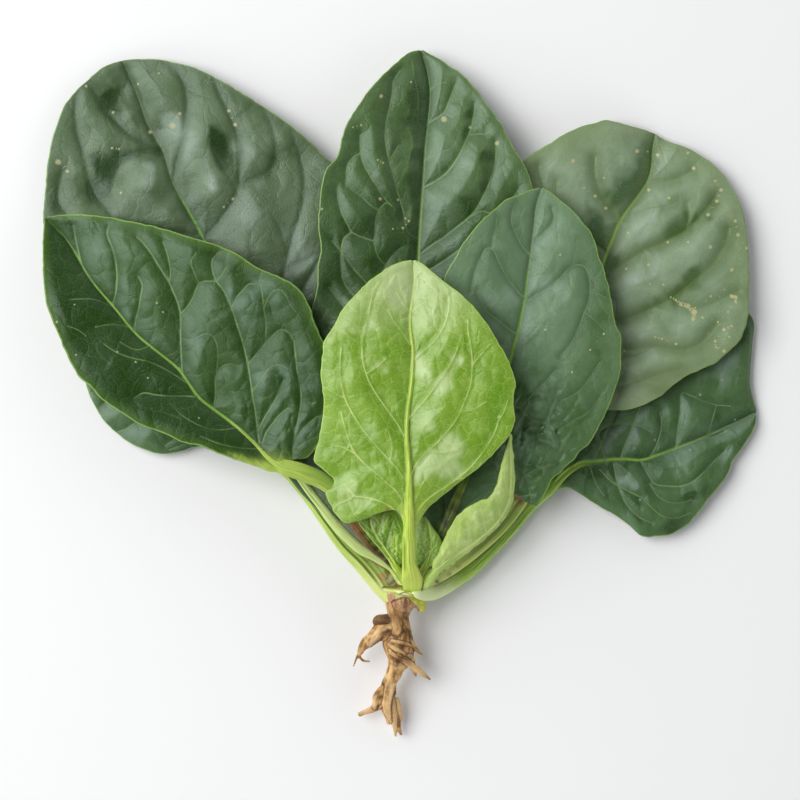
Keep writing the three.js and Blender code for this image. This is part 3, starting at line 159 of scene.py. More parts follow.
        "r": [(2.6, 1.7), (2.5, 1.7), (2.3, 1.7), (2.1, 1.5), (1.9, 1.3)],
        "puffL": [0.2, 0.7, 1.2, 1.2, 0.3], "puffR": [0.2, 0.7, 1.4, 1.4, 0.3],
    },
    "leaf_left": {
        "stalk": [(0.17, -56.83, 13.7), (-3.6, -52.09, 14.1), (-9.25, -46.09, 14.6), (-13.94, -39.47, 15.2),
            (-18.63, -32.23, 15.8), (-23.94, -27.51, 16.4), (-30.18, -24.68, 16.8), (-35.81, -22.8, 16.8)],
        "mid": [(-36.44, -22.8, 16.8), (-41.46, -19.68, 16.56), (-45.54, -15.61, 16.33), (-50.26, -11.23, 16.01),
            (-54.99, -7.48, 15.6), (-59.73, -4.03, 15.14), (-63.53, -0.9, 14.73), (-66.71, 3.5, 14.27),
            (-69.9, 7.9, 13.8), (-74.36, 11.68, 13.28), (-78.81, 15.15, 12.79), (-82.64, 18.31, 12.36),
            (-85.84, 21.79, 11.95), (-89.36, 26.22, 11.46), (-93.53, 30.97, 10.92), (-96.75, 34.78, 10.49),
            (-99.65, 38.91, 10.05), (-102.57, 44, 9.52), (-106.46, 49.74, 8.85), (-112.61, 55.82, 8)],
        "left": [(-36.14, -24.68, 16.6), (-39.26, -24.99, 16.69), (-43.95, -23.11, 16.82), (-48.63, -21.54, 16.96),
            (-53.31, -19.97, 17.11), (-57.99, -18.09, 17.31), (-62.65, -16.21, 17.58), (-67.31, -15.27, 17.86),
            (-71.98, -13.08, 18.11), (-76.65, -11.2, 18.24), (-81.32, -9.64, 18.31), (-86, -6.52, 18.33),
            (-90.69, -3.71, 18.27), (-93.83, -1.21, 18.15), (-96.99, 2.54, 17.9), (-100.15, 5.04, 17.61),
            (-102.72, 9.11, 17.19), (-104.66, 12.87, 16.75), (-105.96, 15.38, 16.42), (-107.3, 19.16, 15.85),
            (-108.97, 22.62, 15.18), (-111.03, 28, 14.03), (-112.18, 34.35, 12.68), (-112.78, 42.33, 10.93),
            (-113.08, 50.35, 9.04), (-112.93, 54.87, 8)],
        "right": [(-35.79, -20.91, 17.2), (-31.4, -21.21, 17.51), (-27.64, -18.39, 17.86), (-24.5, -13.39, 18.29),
            (-21.99, -5.58, 18.75), (-21.04, 2.53, 19.02), (-21.97, 10.02, 19.19), (-23.53, 15.32, 19.23),
            (-25.09, 18.43, 19.21), (-26.65, 22.49, 19.12), (-28.22, 26.86, 18.93), (-30.42, 31.25, 18.64),
            (-33.55, 34.38, 18.34), (-37.63, 36.59, 18), (-43.91, 39.11, 17.5), (-50.2, 43.22, 16.88),
            (-56.51, 46.39, 16.22), (-62.83, 48.32, 15.55), (-69.18, 50.25, 14.79), (-75.54, 52.2, 13.96),
            (-81.93, 53.84, 13.06), (-88.34, 55.17, 12.12), (-94.77, 56.2, 11.09), (-101.24, 56.92, 9.98),
            (-107.73, 56.7, 8.86), (-111.63, 56.12, 8.2)],
        "sheath": [(1.74, -59.84, 15.4, 0.8, 0.8)],
        "r": [(1.1, 1.2), (1.5, 1.4), (2.5, 1.5), (2.6, 1.5), (2.3, 1.5), (2.6, 1.4), (2.8, 1.3), (2.6, 1.1)],
        "puffL": [0.2, 0.8, 1.2, 1, 0.3], "puffR": [0.2, 1, 1.8, 1.4, 0.4],
    },
    "leaf_right": {
        "stalk": [(8.66, -55.3, 13.2), (10.22, -52.1, 14), (11.78, -48.59, 14.8)],
        "mid": [(11.78, -48.59, 14.8), (13.65, -42.6, 15.21), (15.84, -36.94, 15.61), (18.64, -30.02, 16.26),
            (22.06, -22.16, 17.1), (25.79, -13.71, 17.81), (29.2, -4.96, 18.31), (32, 3.16, 18.55),
            (34.5, 10.65, 18.64), (35.43, 14.71, 18.65), (36.68, 19.39, 18.61), (37.62, 23.76, 18.55),
            (38.56, 28.45, 18.43), (39.2, 33.14, 18.27), (39.83, 38.14, 18.07), (40.47, 43.16, 17.82),
            (41.12, 48.18, 17.51), (41.76, 53.21, 17.11), (42.42, 58.89, 16.56), (44.02, 64.26, 16)],
        "left": [(10.52, -48.59, 14.8), (8.01, -43.87, 15.01), (6.44, -37.9, 15.24), (7.69, -30.67, 15.62),
            (10.19, -22.5, 16.39), (11.42, -14.34, 17.27), (11.72, -6.52, 18.02), (11.71, 1.29, 18.71),
            (12.02, 10.64, 19.28), (12.01, 23.09, 19.78), (12.62, 31.8, 20.16), (13.86, 36.77, 20.35),
            (14.8, 38.64, 20.39), (16.98, 42.37, 20.38), (19.16, 46.43, 20.25), (21.66, 49.87, 20.03),
            (24.78, 53.63, 19.69), (27.92, 56.47, 19.31), (30.11, 58.37, 18.96), (32.63, 60.6, 18.43),
            (37.37, 62.56, 17.44), (40.53, 63.88, 16.74), (43.38, 64.55, 16.2)],
        "right": [(12.71, -48.54, 15.6), (16.78, -46.66, 15.55), (21.17, -43.53, 15.48), (25.56, -39.77, 15.41),
            (29.33, -35.7, 15.4), (32.46, -32.87, 15.43), (35.28, -31.62, 15.46), (37.47, -32.87, 15.51),
            (39.98, -34.12, 15.56), (42.79, -35.06, 15.62), (44.04, -33.18, 15.68), (46.23, -29.1, 15.8),
            (47.79, -26.27, 15.89), (49.98, -24.7, 15.97), (51.85, -22.82, 16.06), (54.03, -20.63, 16.18),
            (55.9, -18.12, 16.3), (58.71, -15.92, 16.45), (60.26, -13.73, 16.56), (62.43, -9.66, 16.78),
            (63.98, -6.53, 16.97), (65.22, -3.4, 17.16), (66.76, 0.35, 17.39), (67.98, 4.42, 17.64),
            (68.89, 9.1, 17.91), (68.86, 13.78, 18.23), (68.84, 17.83, 18.51), (67.25, 21.57, 18.75),
            (66.3, 25.62, 18.93), (65.67, 29.36, 19.01), (64.73, 34.03, 19.02), (63.49, 39.34, 18.96),
            (62.25, 42.46, 18.88), (61.01, 46.53, 18.74), (59.47, 50.6, 18.53), (57.31, 53.12, 18.29),
            (55.46, 55.64, 17.98), (52.99, 58.17, 17.56), (49.9, 60.72, 17.02), (46.81, 63.27, 16.5),
            (44.64, 64.55, 16.2)],
        "sheath": [(5.51, -60.25, 14.2, 0.9, 0.8)],
        "r": [(1.9, 1.5), (1.9, 1.5), (1.9, 1.4)],
        "puffL": [0.2, 0.9, 1.4, 1.2, 0.3], "puffR": [0.2, 0.9, 1.6, 1.4, 0.4],
    },
    "leaf_front": {
        "stalk": [(3.28, -55.95, 21), (2.77, -52.77, 22), (2.65, -48.94, 23.4), (2.64, -44.51, 25)],
        "mid": [(2.64, -44.51, 25), (2.63, -37.64, 26.22), (2.63, -30.8, 27.31), (2.63, -23.99, 28.1),
            (2.32, -18.75, 28.58), (2.01, -14.13, 28.91), (2.01, -9.51, 29.18), (2.31, -4.9, 29.36),
            (2.93, -0.29, 29.39), (3.54, 4.32, 29.27), (3.85, 8.93, 29.04), (3.85, 13.55, 28.73),
            (3.24, 18.18, 28.3), (2.94, 22.81, 27.75), (3.25, 26.53, 27.24), (3.87, 31.5, 26.39),
            (4.18, 35.87, 25.5), (3.88, 41.19, 24.4)],
        "left": [(2.02, -44.51, 25), (1.09, -39.56, 25.01), (-1.07, -36.15, 25.03), (-3.86, -35.54, 25.04),
            (-6.95, -36.77, 25.04), (-10.04, -38.32, 25.03), (-13.44, -39.25, 24.98), (-16.85, -39.87, 24.87),
            (-19.94, -37.41, 24.71), (-21.81, -33.7, 24.53), (-23.05, -30.31, 24.41), (-21.04, -28.76, 24.38),
            (-20.57, -26.59, 24.4), (-24.28, -23.18, 24.67), (-26.74, -20.69, 25), (-26.42, -18.21, 25.3),
            (-25.47, -14.8, 25.77), (-24.84, -11.09, 26.27), (-23.89, -6.46, 26.86), (-23.56, -1.83, 27.55),
            (-24.15, 2.79, 28.29), (-24.44, 7.4, 28.86), (-24.12, 12.01, 29.18), (-23.5, 16, 29.3),
            (-21.66, 19.07, 29.33), (-19.51, 22.76, 29.32), (-17.97, 25.83, 29.25), (-15.52, 28.91, 29.11),
            (-12.45, 32, 28.81), (-9.38, 35.11, 28.22), (-6.31, 37.31, 27.41), (-3.23, 39.53, 26.38),
            (-0.14, 40.82, 25.43), (3.26, 41.49, 24.6)],
        "right": [(3.88, -44.51, 25), (5.11, -41.39, 25.36), (6.03, -38.91, 25.64), (7.58, -36.42, 25.95),
            (9.12, -34.55, 26.2), (12.2, -32.06, 26.63), (15.27, -29.58, 27.08), (18.34, -27.09, 27.56),
            (21.41, -24.61, 28.06), (24.47, -22.44, 28.53), (27.53, -19.35, 29.02), (29.97, -16.58, 29.38),
            (32.11, -14.11, 29.68), (33.94, -11.65, 29.95), (34.85, -9.19, 30.16), (35.14, -6.12, 30.37),
            (34.83, -3.36, 30.52), (34.52, -0.6, 30.64), (35.43, 2.47, 30.75), (34.81, 5.53, 30.82),
            (33.89, 8.29, 30.87), (32.66, 11.36, 30.88), (30.52, 14.73, 30.82), (28.69, 17.8, 30.68),
            (26.86, 21.19, 30.41), (24.42, 24.27, 30.03), (21.36, 27.98, 29.43), (18.31, 31.08, 28.8),
            (15.25, 33.27, 28.09), (12.19, 35.78, 27.15), (9.12, 38.31, 26.07), (6.35, 40.53, 25.12),
            (4.5, 41.49, 24.6)],
        "sheath": [(3.63, -64.4, 13.4, 1.9, 0.5), (3.62, -62.88, 15.7, 1.7, 0.6), (3.67, -61.06, 17.6, 2.7, 0.8), (3.69, -58.41, 19.5, 3.3, 1)],
        "r": [(2.9, 1.6), (2.3, 1.8), (2.1, 1.8), (2.1, 1.8)],
        "puffL": [0.2, 1, 1.6, 1.4, 0.3], "puffR": [0.2, 1, 1.6, 1.4, 0.3],
    },
    "leaf_folded": {
        "stalk": [(7.98, -59.64, 17.8), (8.91, -58.32, 18.6), (9.83, -57.03, 19.2)],
        "mid": [(9.83, -57.03, 19.2), (13.25, -53.86, 19.8), (17.29, -50.39, 20.5), (22.24, -46.91, 21.27),
            (26.87, -43.13, 22.15), (30.87, -38.73, 23.05), (33.62, -33.43, 23.77), (34.22, -27.84, 24.13),
            (34.22, -21.03, 24.19), (34.24, -12.36, 23.8)],
        "left": [(8.89, -56.37, 19.6), (8.88, -53.81, 20.49), (11.04, -50.29, 21.95), (12.56, -46.78, 23.37),
            (14.39, -42.95, 25.13), (16.82, -38.54, 26.64), (19.88, -35.41, 27.53), (24.19, -32.93, 27.83),
            (27.58, -31.71, 27.66), (29.45, -28.34, 27.29), (30.72, -23.74, 26.41), (31.68, -19.44, 25.55),
            (32.95, -15.75, 24.84), (33.91, -12.36, 24.2)],
        "right": [(10.47, -58.01, 18.6), (13.9, -55.2, 18.67), (17.64, -52.07, 18.8), (22.62, -48.3, 19.14),
            (27.28, -44.52, 19.7), (31.29, -40.12, 20.51), (34.36, -35.09, 21.42), (35.25, -28.53, 22.26),
            (35.22, -21.06, 22.85), (34.57, -12.37, 23.4)],
        "sheath": [(6.44, -61.07, 15.6, 0.6, 0.6)],
        "r": [(1.3, 1), (1.4, 1.1), (1.3, 1)],
        "puffL": [0.1, 0.9, 1.2, 0.8, 0.1], "puffR": [0, 0.1, 0.1, 0.1, 0],
    },
    "heart_leaf_left": {
        "stalk": [(1.11, -58.2, 16.2), (0.17, -56.28, 16.8), (-1.08, -54.65, 17.6)],
        "mid": [(-1.08, -54.65, 17.6), (-3.27, -51.16, 18.35), (-5.45, -47.68, 19.13), (-7.47, -44.52, 19.74),
            (-8.86, -41.7, 20.1), (-9.48, -38.26, 20.31), (-10.11, -35.14, 20.4)],
        "left": [(-2.02, -55.28, 17.6), (-4.83, -50.52, 18.63), (-7.63, -47.04, 19.37), (-10.73, -43.26, 20.02),
            (-13.22, -39.81, 20.38), (-13.53, -36.38, 20.44), (-10.73, -34.52, 20.4)],
        "right": [(0.48, -54.65, 17.6), (2.04, -50.56, 18.08), (2.35, -45.52, 18.74), (1.41, -40.49, 19.45),
            (-0.77, -37.04, 19.83), (-3.88, -34.85, 20.08), (-9.48, -34.21, 20.3)],
        "sheath": [(2.05, -60.5, 15, 0.8, 0.7)],
        "r": [(1.1, 0.8), (1.2, 0.9), (1.2, 0.9)],
        "puffL": [0.1, 0.2, 0.3, 0.2, 0.1], "puffR": [0.1, 0.3, 0.5, 0.3, 0.1],
    },
    "heart_leaf_right": {
        "stalk": [(5.5, -58.63, 14.8), (6.12, -56.69, 15.6), (7.37, -54.42, 16.6)],
        "mid": [(7.37, -54.42, 16.6), (8.91, -50.56, 17.96), (9.52, -45.78, 19.5), (8.89, -41.39, 20.04),
            (7.33, -38.27, 20.1)],
        "left": [(6.11, -55.03, 16.8), (3.6, -51.51, 17.91), (3.29, -45.82, 18.9), (4.53, -41.1, 19.6),
            (6.71, -37.96, 20)],
        "right": [(8.31, -55.06, 16.4), (11.12, -52.51, 16.96), (12.97, -49, 18.07), (12.64, -45.49, 19.16),
            (10.44, -42.01, 20.05), (7.95, -38.26, 20.2)],
        "sheath": [(4.88, -60.6, 13.8, 0.8, 0.7)],
        "r": [(1, 0.8), (1, 0.8), (1, 0.7)],
        "puffL": [0.1, 0.2, 0.3, 0.2, 0.1], "puffR": [0.1, 0.2, 0.4, 0.3, 0.1],
    },
}

# Vein lines in plan, in mm, each with its strength.
VEINS = {
    "leaf_lower_left": [
        (0.8, [(-80.1, -3.4), (-83.3, -7.6), (-87.2, -10.8), (-90.4, -12.1)]),
        (0.8, [(-67.3, -9.5), (-71.2, -13.4), (-75.3, -16.6)]),
        (0.7, [(-90.4, 1.4), (-93.6, -1.8), (-96.1, -4.4)]),
    ],
    "leaf_lower_right": [
        (0.9, [(79.9, -20.1), (81.8, -16.9), (83.1, -13.4), (83.7, -9.8), (83.1, -5.7)]),
        (0.8, [(65.5, -21.4), (64.5, -16.6), (63.9, -12.1), (67.1, -10.2), (71.5, -9.5), (76.7, -10.2),
            (79.9, -11.8)]),
        (0.9, [(86.9, -17.8), (90.1, -16.6), (93.3, -15.3), (96.8, -14), (99.7, -13.7), (103.5, -12.1)]),
        (0.8, [(88.2, -17.2), (88.8, -11.4), (89.5, -5), (90.1, 0.4), (93.3, -0.6), (96.8, -2.2), (101, -3.4),
            (105.5, -3.8)]),
        (0.8, [(63.9, -24.2), (67.7, -28.1), (72.2, -30.6), (76.7, -32.9)]),
        (0.8, [(76.7, -21), (79.2, -25.5), (81.5, -28.7), (85.6, -29.4), (90.1, -29.4), (93.9, -27.8), (97.1, -24.9),
            (100.3, -21.7), (103.5, -18.5)]),
        (0.7, [(79.9, -28.7), (82.4, -32.6), (85.6, -34.5), (89.5, -34.8), (93.3, -33.8)]),
        (0.8, [(68.3, -22.3), (69.6, -28.7), (71.5, -33.8), (74.1, -37.4), (77.3, -39.9), (80.5, -41.2)]),
        (0.6, [(77.3, -33.2), (80.5, -36.4), (83.7, -39), (88.2, -39.6), (92.7, -38)]),
        (0.6, [(60.7, -23), (62.6, -28.7), (65.1, -32.6)]),
        (0.6, [(98.4, -13.4), (99.7, -8.2), (101, -3.8)]),
    ],
    "leaf_upper_left": [
        (1, [(-73.1, 67.6), (-71.2, 75), (-69.6, 81.4), (-68.6, 87.8), (-68.3, 92.6), (-69.3, 99), (-72.1, 103.8),
            (-76, 106.3)]),
        (1, [(-63.2, 49.4), (-59.3, 53.8), (-56.1, 58), (-53.3, 62.2), (-52, 66), (-51.3, 73.4), (-51.7, 79.8),
            (-52.6, 84.6), (-55.2, 90.3), (-57.7, 95.8), (-59.7, 100.6)]),
        (0.6, [(-52.3, 66), (-55.2, 70.2), (-57.7, 74.3), (-59.7, 78.2)]),
        (0.7, [(-52, 66.3), (-46.5, 68.9), (-42.4, 71.1), (-40.1, 75), (-40.1, 81.4), (-41.4, 86.2), (-44.3, 92.2)]),
        (0.5, [(-40.1, 76.2), (-36.6, 77.8), (-33.4, 78.5), (-34.7, 84.6)]),
        (0.5, [(-53.3, 87.8), (-49.7, 90.3), (-46.9, 92.9)]),
        (1, [(-37.6, 37.2), (-36.6, 42.3), (-36, 45.5), (-34.1, 51.9), (-31.5, 59.6), (-30.9, 65.4), (-31.2, 71.8),
            (-32.8, 78.2), (-34.4, 82.6)]),
        (0.7, [(-37.3, 39.8), (-32.1, 42.3), (-26.4, 44.9)]),
        (0.6, [(-37.3, 43.6), (-43, 44.2), (-47.5, 44.2)]),
        (0.6, [(-47.5, 44.2), (-48.5, 49.4), (-47.5, 51.9), (-44.3, 55.8), (-41.7, 58), (-38.2, 51.9),
            (-36.3, 46.2)]),
        (0.5, [(-41.7, 58), (-40.5, 60.2), (-39.2, 62.2)]),
        (0.6, [(-31.2, 64.7), (-28.3, 66), (-24.5, 66.6)]),
        (1, [(-77.6, 80.4), (-80.8, 80.4), (-84, 81.7), (-87.2, 83.6), (-89.7, 85.8), (-92.3, 88.7), (-95.2, 92.2),
            (-97.7, 96.4), (-100, 99.6)]),
        (1, [(-65.4, 50.6), (-71.8, 51.9), (-80.1, 53.2), (-87.2, 54.5), (-92.3, 57), (-94.9, 60.2), (-97.4, 63.4),
            (-99.3, 67.3), (-100.6, 72.4), (-101.9, 78.2), (-103.5, 83), (-104.1, 88.4), (-104.1, 92.6),
            (-103.8, 95.8)]),
        (0.6, [(-101.6, 75.9), (-98.7, 76.2), (-96.1, 75.9)]),
        (0.5, [(-103.5, 85.2), (-100, 85.8), (-96.8, 85.8)]),
        (0.8, [(-107, 57.7), (-109.3, 61.2), (-109.6, 64.7), (-108.9, 69.2), (-108, 71.8)]),
        (0.5, [(-84.3, 64.7), (-78.5, 64.1), (-70.5, 64.4)]),
        (0.4, [(-81.7, 75.6), (-78.2, 75.6), (-74.4, 75.9)]),
        (0.4, [(-75.3, 54.2), (-70.5, 54.5), (-64.8, 53.8)]),
        (0.5, [(-81.4, 93.2), (-80.1, 93.8), (-76.9, 94.8)]),
        (0.4, [(-83, 91.9), (-85.9, 92.2), (-88.5, 94.2)]),
    ],
    "leaf_upper_right": [
        (0.9, [(70.3, 55.1), (67.7, 58.3), (65.8, 61.2), (63.9, 64.4), (62.6, 67.9), (61.9, 71.8), (61.9, 75.6)]),
        (0.7, [(65.8, 45.5), (60.7, 49.4), (55.9, 53.8), (52, 59.6), (49.8, 63.8), (49.8, 67.9)]),
        (0.8, [(79.2, 67.3), (82.4, 67.9), (86.3, 68.6), (90.1, 69.8), (93.3, 71.8)]),
        (1, [(65.1, 37.2), (69.6, 40.4), (74.1, 43.6), (78.3, 46.2), (82.4, 47.8), (86.3, 49.7), (90.1, 51.6),
            (93.6, 54.5), (96.5, 57.4), (99.1, 60.6), (101, 63.4)]),
        (0.7, [(91.7, 53.2), (92.3, 57), (91.7, 60.9)]),
        (0.6, [(75.4, 58.3), (79.9, 59.6), (84.3, 60.2), (88.8, 62.2)]),
        (1, [(59.4, 24.4), (63.9, 23.8), (69.3, 24.1), (75.1, 25.4), (79.9, 27.3), (84.7, 29.5), (89.5, 32.4),
            (93.9, 36.2), (98.1, 40.1), (101.3, 44.2), (103.9, 48.7), (104.8, 52.6)]),
        (0.7, [(86.9, 30.2), (91.1, 28.6), (95.2, 27.6), (99.7, 29.2), (104.2, 31.4), (108.7, 33)]),
        (0.9, [(54.9, 15.8), (62.3, 14.2), (70.3, 14.2), (76.7, 14.8), (81.5, 15.4), (86.9, 14.8), (91.1, 14.5),
            (95.2, 16.1), (99.1, 19.9), (101, 22.5)]),
        (0.7, [(70.3, 11), (76, 12.6), (80.5, 14.8)]),
        (0.8, [(51.7, 7.1), (59.1, 3.3), (65.5, 2), (70.9, 2.6), (77.3, 4.6), (83.1, 6.5), (89.5, 8.1)]),
        (0.6, [(76.7, 4.6), (81.5, 2), (84.3, 0.7)]),
        (0.5, [(81.5, 27.3), (83.7, 23.1), (85.6, 19.3)]),
        (0.5, [(78.3, 46.2), (78.6, 42.3), (79.9, 37.8)]),
    ],
    "leaf_centre": [
        (1, [(7.5, 66.3), (11.1, 68.2), (14.3, 70.5), (16.8, 73.4), (19.1, 77.2), (21, 81.4), (22.6, 85.2),
            (23.5, 89.4), (23.9, 93.2)]),
        (0.8, [(21.6, 82.6), (24.2, 83.3), (27.1, 83.3)]),
        (1, [(6.3, 44.9), (10.1, 47.8), (14.3, 50.6), (18.4, 53.8), (22.3, 57), (24.8, 60.2), (27.1, 64.7),
            (29, 69.2), (30.3, 74), (30.6, 78.2), (30.3, 80.7)]),
        (0.8, [(22.6, 57), (25.5, 58.6), (28.7, 58)]),
        (0.6, [(9.5, 97.4), (12, 99.3), (14.6, 99.9)]),
        (0.7, [(8.5, 86.5), (11.4, 88.4), (13.9, 90.3), (15.2, 93.2), (17.1, 98), (18.1, 100.6)]),
        (0.6, [(7.9, 75), (11.4, 76.6), (15.2, 78.2)]),
        (1, [(1.1, 58), (-0.1, 62.2), (-1.1, 65.4), (-2.4, 70.2), (-3.7, 75), (-4.6, 79.8), (-4.9, 83.9),
            (-4.3, 88.4), (-3.3, 92.6), (-2.7, 96.7), (-2.1, 100.6), (-0.1, 103.8)]),
        (0.7, [(-3.3, 75.3), (-1.7, 77.8), (-0.5, 79.8)]),
        (0.5, [(-2.7, 71.1), (-0.8, 73), (0.5, 75)]),
        (0.9, [(-2.7, 60.2), (-5.6, 63.4), (-8.1, 67.3), (-10.4, 71.1), (-12.3, 75), (-12.9, 78.8), (-12.9, 83)]),
        (0.7, [(-17.7, 66.6), (-17.4, 70.5), (-16.8, 74), (-14.9, 76.2), (-12.9, 77.2)]),
        (0.7, [(-17.7, 67.3), (-15.5, 65.4), (-12.3, 63.1), (-9.7, 60.6), (-7.2, 59)]),
        (0.8, [(-20.3, 66), (-20, 62.2), (-18.7, 57.7), (-17.1, 54.5), (-15.5, 51.9), (-12.3, 50.3), (-8.5, 49)]),
        (0.8, [(-8.5, 49), (-8.1, 52.6), (-7.8, 56.4), (-6.5, 59.6), (-4.6, 61.2), (-2.7, 60.2)]),
        (0.9, [(-15.5, 51.9), (-18.1, 50), (-19, 46.2), (-19, 41.4), (-18.4, 36.6), (-16.1, 32.7), (-14.2, 30.8)]),
        (0.8, [(-5.3, 40.4), (-2.7, 44.2), (-0.1, 46.8)]),
        (0.5, [(5.6, 91), (5.6, 95.8), (4.3, 102.2), (3.7, 107)]),
        (0.5, [(-8.5, 48.7), (-7.2, 44.2), (-4.6, 41)]),
        (0.6, [(6.3, 49.4), (2.4, 51.9), (1.1, 57.7)]),
    ],
    "leaf_left": [
        (1, [(-98.1, 35.3), (-100, 38.2), (-101.6, 40.4), (-102.9, 44.6), (-104.1, 49.4), (-104.8, 54.2)]),
        (0.6, [(-107.7, 50.3), (-109.6, 51.9), (-110.9, 53.8)]),
        (1, [(-92, 29.2), (-91, 32.7), (-90.7, 36.6), (-91, 41.4), (-92, 46.2), (-93.9, 51.6), (-93.3, 53.8)]),
        (0.9, [(-85.3, 20.6), (-84.6, 24.4), (-83.7, 27.6), (-83, 31.8), (-82.7, 35), (-84, 37.8)]),
        (1, [(-69.9, 7.1), (-70.2, 12.6), (-70.5, 19), (-70.5, 24.4), (-71.2, 28.6), (-72.8, 32.7), (-74.4, 36.2),
            (-77.6, 41.4), (-80.1, 45.5), (-82.4, 48.4), (-84.3, 50.3)]),
        (0.7, [(-74.1, 36.2), (-73.7, 39.1), (-74.1, 42.3), (-75, 46.2), (-76, 48.7)]),
        (0.8, [(-70.5, 25.7), (-68.3, 28.2), (-66.4, 31.4), (-64.8, 35.3), (-62.9, 36.2), (-60, 36.2)]),
        (0.6, [(-64.8, 35.9), (-66.1, 39.1), (-67, 42.3), (-65.4, 45.2)]),
        (1, [(-45.3, -15.6), (-45.9, -10.8), (-46.5, -5.7), (-47.5, -0.2), (-48.1, 4.6), (-49.1, 10.3),
            (-50.1, 14.8), (-51.3, 19), (-52.6, 23.1), (-53.9, 27), (-55.2, 30.2), (-56.8, 33.4), (-59, 36.2),
            (-60.3, 39.8), (-60.3, 43), (-58.4, 45.5)]),
        (0.7, [(-54.2, 27.3), (-52.6, 30.8), (-50.4, 33.4), (-48.5, 35.3), (-46.9, 35.3)]),
        (0.6, [(-59, 36.2), (-57.1, 38.5), (-55.5, 41)]),
        (0.8, [(-48.8, 9.7), (-46.2, 12.9), (-43.7, 15.8), (-41.1, 18.6), (-38.5, 20.6), (-36, 19.9), (-34.4, 17.4)]),
        (0.6, [(-43.3, 16.4), (-43, 22.2), (-43.7, 27.6), (-44.3, 32.7), (-45.3, 36.6)]),
        (0.5, [(-43.7, 27.6), (-41.1, 32.7), (-38.5, 33.4), (-36.6, 31.4), (-35, 28.2), (-33.4, 26.3)]),
        (0.8, [(-45.6, -11.4), (-43.7, -7.6), (-41.7, -4.4), (-39.8, -1.2), (-38.5, 2), (-37.3, 4.6)]),
        (0.6, [(-47.5, 0.7), (-45.3, 3.9), (-43, 7.1), (-41.1, 9), (-38.5, 9.4), (-36, 8.1)]),
        (0.7, [(-44.3, -15.6), (-43, -12.1), (-41.1, -9.5), (-38.5, -6.3), (-36, -4.4)]),
        (0.9, [(-34.4, -21.7), (-34.4, -17.8), (-34.1, -14), (-32.8, -8.2), (-31.8, -2.5), (-32.1, 2.6),
            (-33.1, 7.8), (-33.7, 13.5), (-34.1, 17.4)]),
        (0.7, [(-34.1, -14.6), (-32.1, -12.1), (-29.6, -9.5), (-26.4, -7)]),
        (0.6, [(-34.7, -19.8), (-32.1, -16.6), (-29.6, -15), (-26.4, -13.4)]),
        (0.7, [(-59.7, -3.8), (-59.3, 0.7), (-59.3, 5.2), (-57.7, 8.4), (-55.2, 9.7), (-52, 9)]),
        (0.6, [(-59, 7.1), (-58.4, 11.6), (-58.7, 15.4), (-60, 18.6), (-62.5, 19.3), (-65.4, 18)]),
        (0.9, [(-64.8, -0.9), (-68.9, -0.6), (-73.7, -0.6), (-78.5, -0.2), (-82.4, 0.4), (-85.3, -1.2)]),
        (0.7, [(-87.2, 21.5), (-90.4, 22.2), (-94.2, 22.2), (-97.7, 21.5)]),
        (0.6, [(-68, 3.3), (-73.7, 7.1), (-80.1, 10.3), (-85.9, 11.6), (-91, 13.5), (-94.9, 16.1)]),
        (0.5, [(-92.9, 28.2), (-97.4, 30.2), (-101.3, 30.5), (-105.7, 30.2)]),
        (0.5, [(-52.6, -10.8), (-59.3, -11.4), (-65.4, -9.5), (-70.5, -6.3), (-73.7, -3.1)]),
        (0.6, [(-44.3, -17.5), (-51.3, -17.2), (-57.7, -15.9), (-64.1, -13.4)]),
        (0.4, [(-80.1, 15.4), (-84.6, 14.2), (-89.7, 16.7)]),
        (0.5, [(-100.6, 18.6), (-103.2, 20.6), (-106.4, 21.8)]),
    ],
    "leaf_right": [
        (1, [(42.4, 43.6), (40.5, 45.5), (38.6, 48.1), (37, 51.3), (35.7, 54.5), (35.7, 58), (36.7, 61.2)]),
        (1, [(40.5, 30.2), (38.3, 32.1), (35.7, 35.3), (33.5, 38.5), (31.5, 42.3), (29.6, 46.2), (27.7, 46.8),
            (25.8, 44.2), (24.2, 40.4), (23.2, 36.6), (22.6, 33.4)]),
        (0.7, [(29.3, 46.8), (29.6, 50.6), (30.6, 53.8), (30.9, 56.7)]),
        (0.9, [(37.6, 19), (34.4, 21.2), (31.2, 23.8), (28, 26.3), (25.5, 30.2), (24.2, 33.4)]),
        (1, [(43.1, 49.4), (45.6, 51.3), (47.9, 53.8), (49.1, 56.4), (48.5, 59.6)]),
        (1, [(40.5, 29.8), (43.4, 31.8), (46.3, 33.4), (48.8, 35.3), (51.4, 37.5), (53.6, 40.1), (56.2, 41.4),
            (58.7, 41), (60, 38.8), (60.7, 35), (60.3, 30.2), (58.7, 25.7), (56.8, 20.6), (54.3, 15.8),
            (51.1, 12.2)]),
        (0.6, [(54.9, 41), (56.2, 45.5), (56.5, 49.4)]),
        (0.9, [(31.2, -1.8), (35.1, -3.1), (38.3, -4.4), (40.8, -1.8), (43.1, 0.7), (46.3, 3.9), (49.8, 7.8)]),
        (0.8, [(46.6, -9.5), (48.5, -5.7), (51.1, -2.5), (53.6, -1.2), (56.8, 0.7), (59.7, 3.9), (61.9, 7.1),
            (63.9, 10.3)]),
        (0.7, [(38.6, -8.2), (40.2, -5), (41.5, -2.5)]),
        (0.7, [(47.2, -7.6), (49.1, -3.1), (50.4, 1.4)]),
        (0.8, [(34.4, -28.7), (35.7, -24.2), (37, -23), (39.5, -25.5), (40.8, -28.7), (41.8, -33.2)]),
        (0.7, [(39.5, -25.5), (41.5, -19.8), (42.4, -16.6), (42.7, -13.4)]),
        (0.7, [(53, -10.2), (55.9, -8.2), (59.1, -6.6), (61.9, -3.8), (63.9, -1.2)]),
        (0.7, [(58.7, 26.3), (61.9, 23.8), (65.1, 20.6)]),
        (0.5, [(60.3, 32.7), (63.2, 32.1), (65.8, 30.8)]),
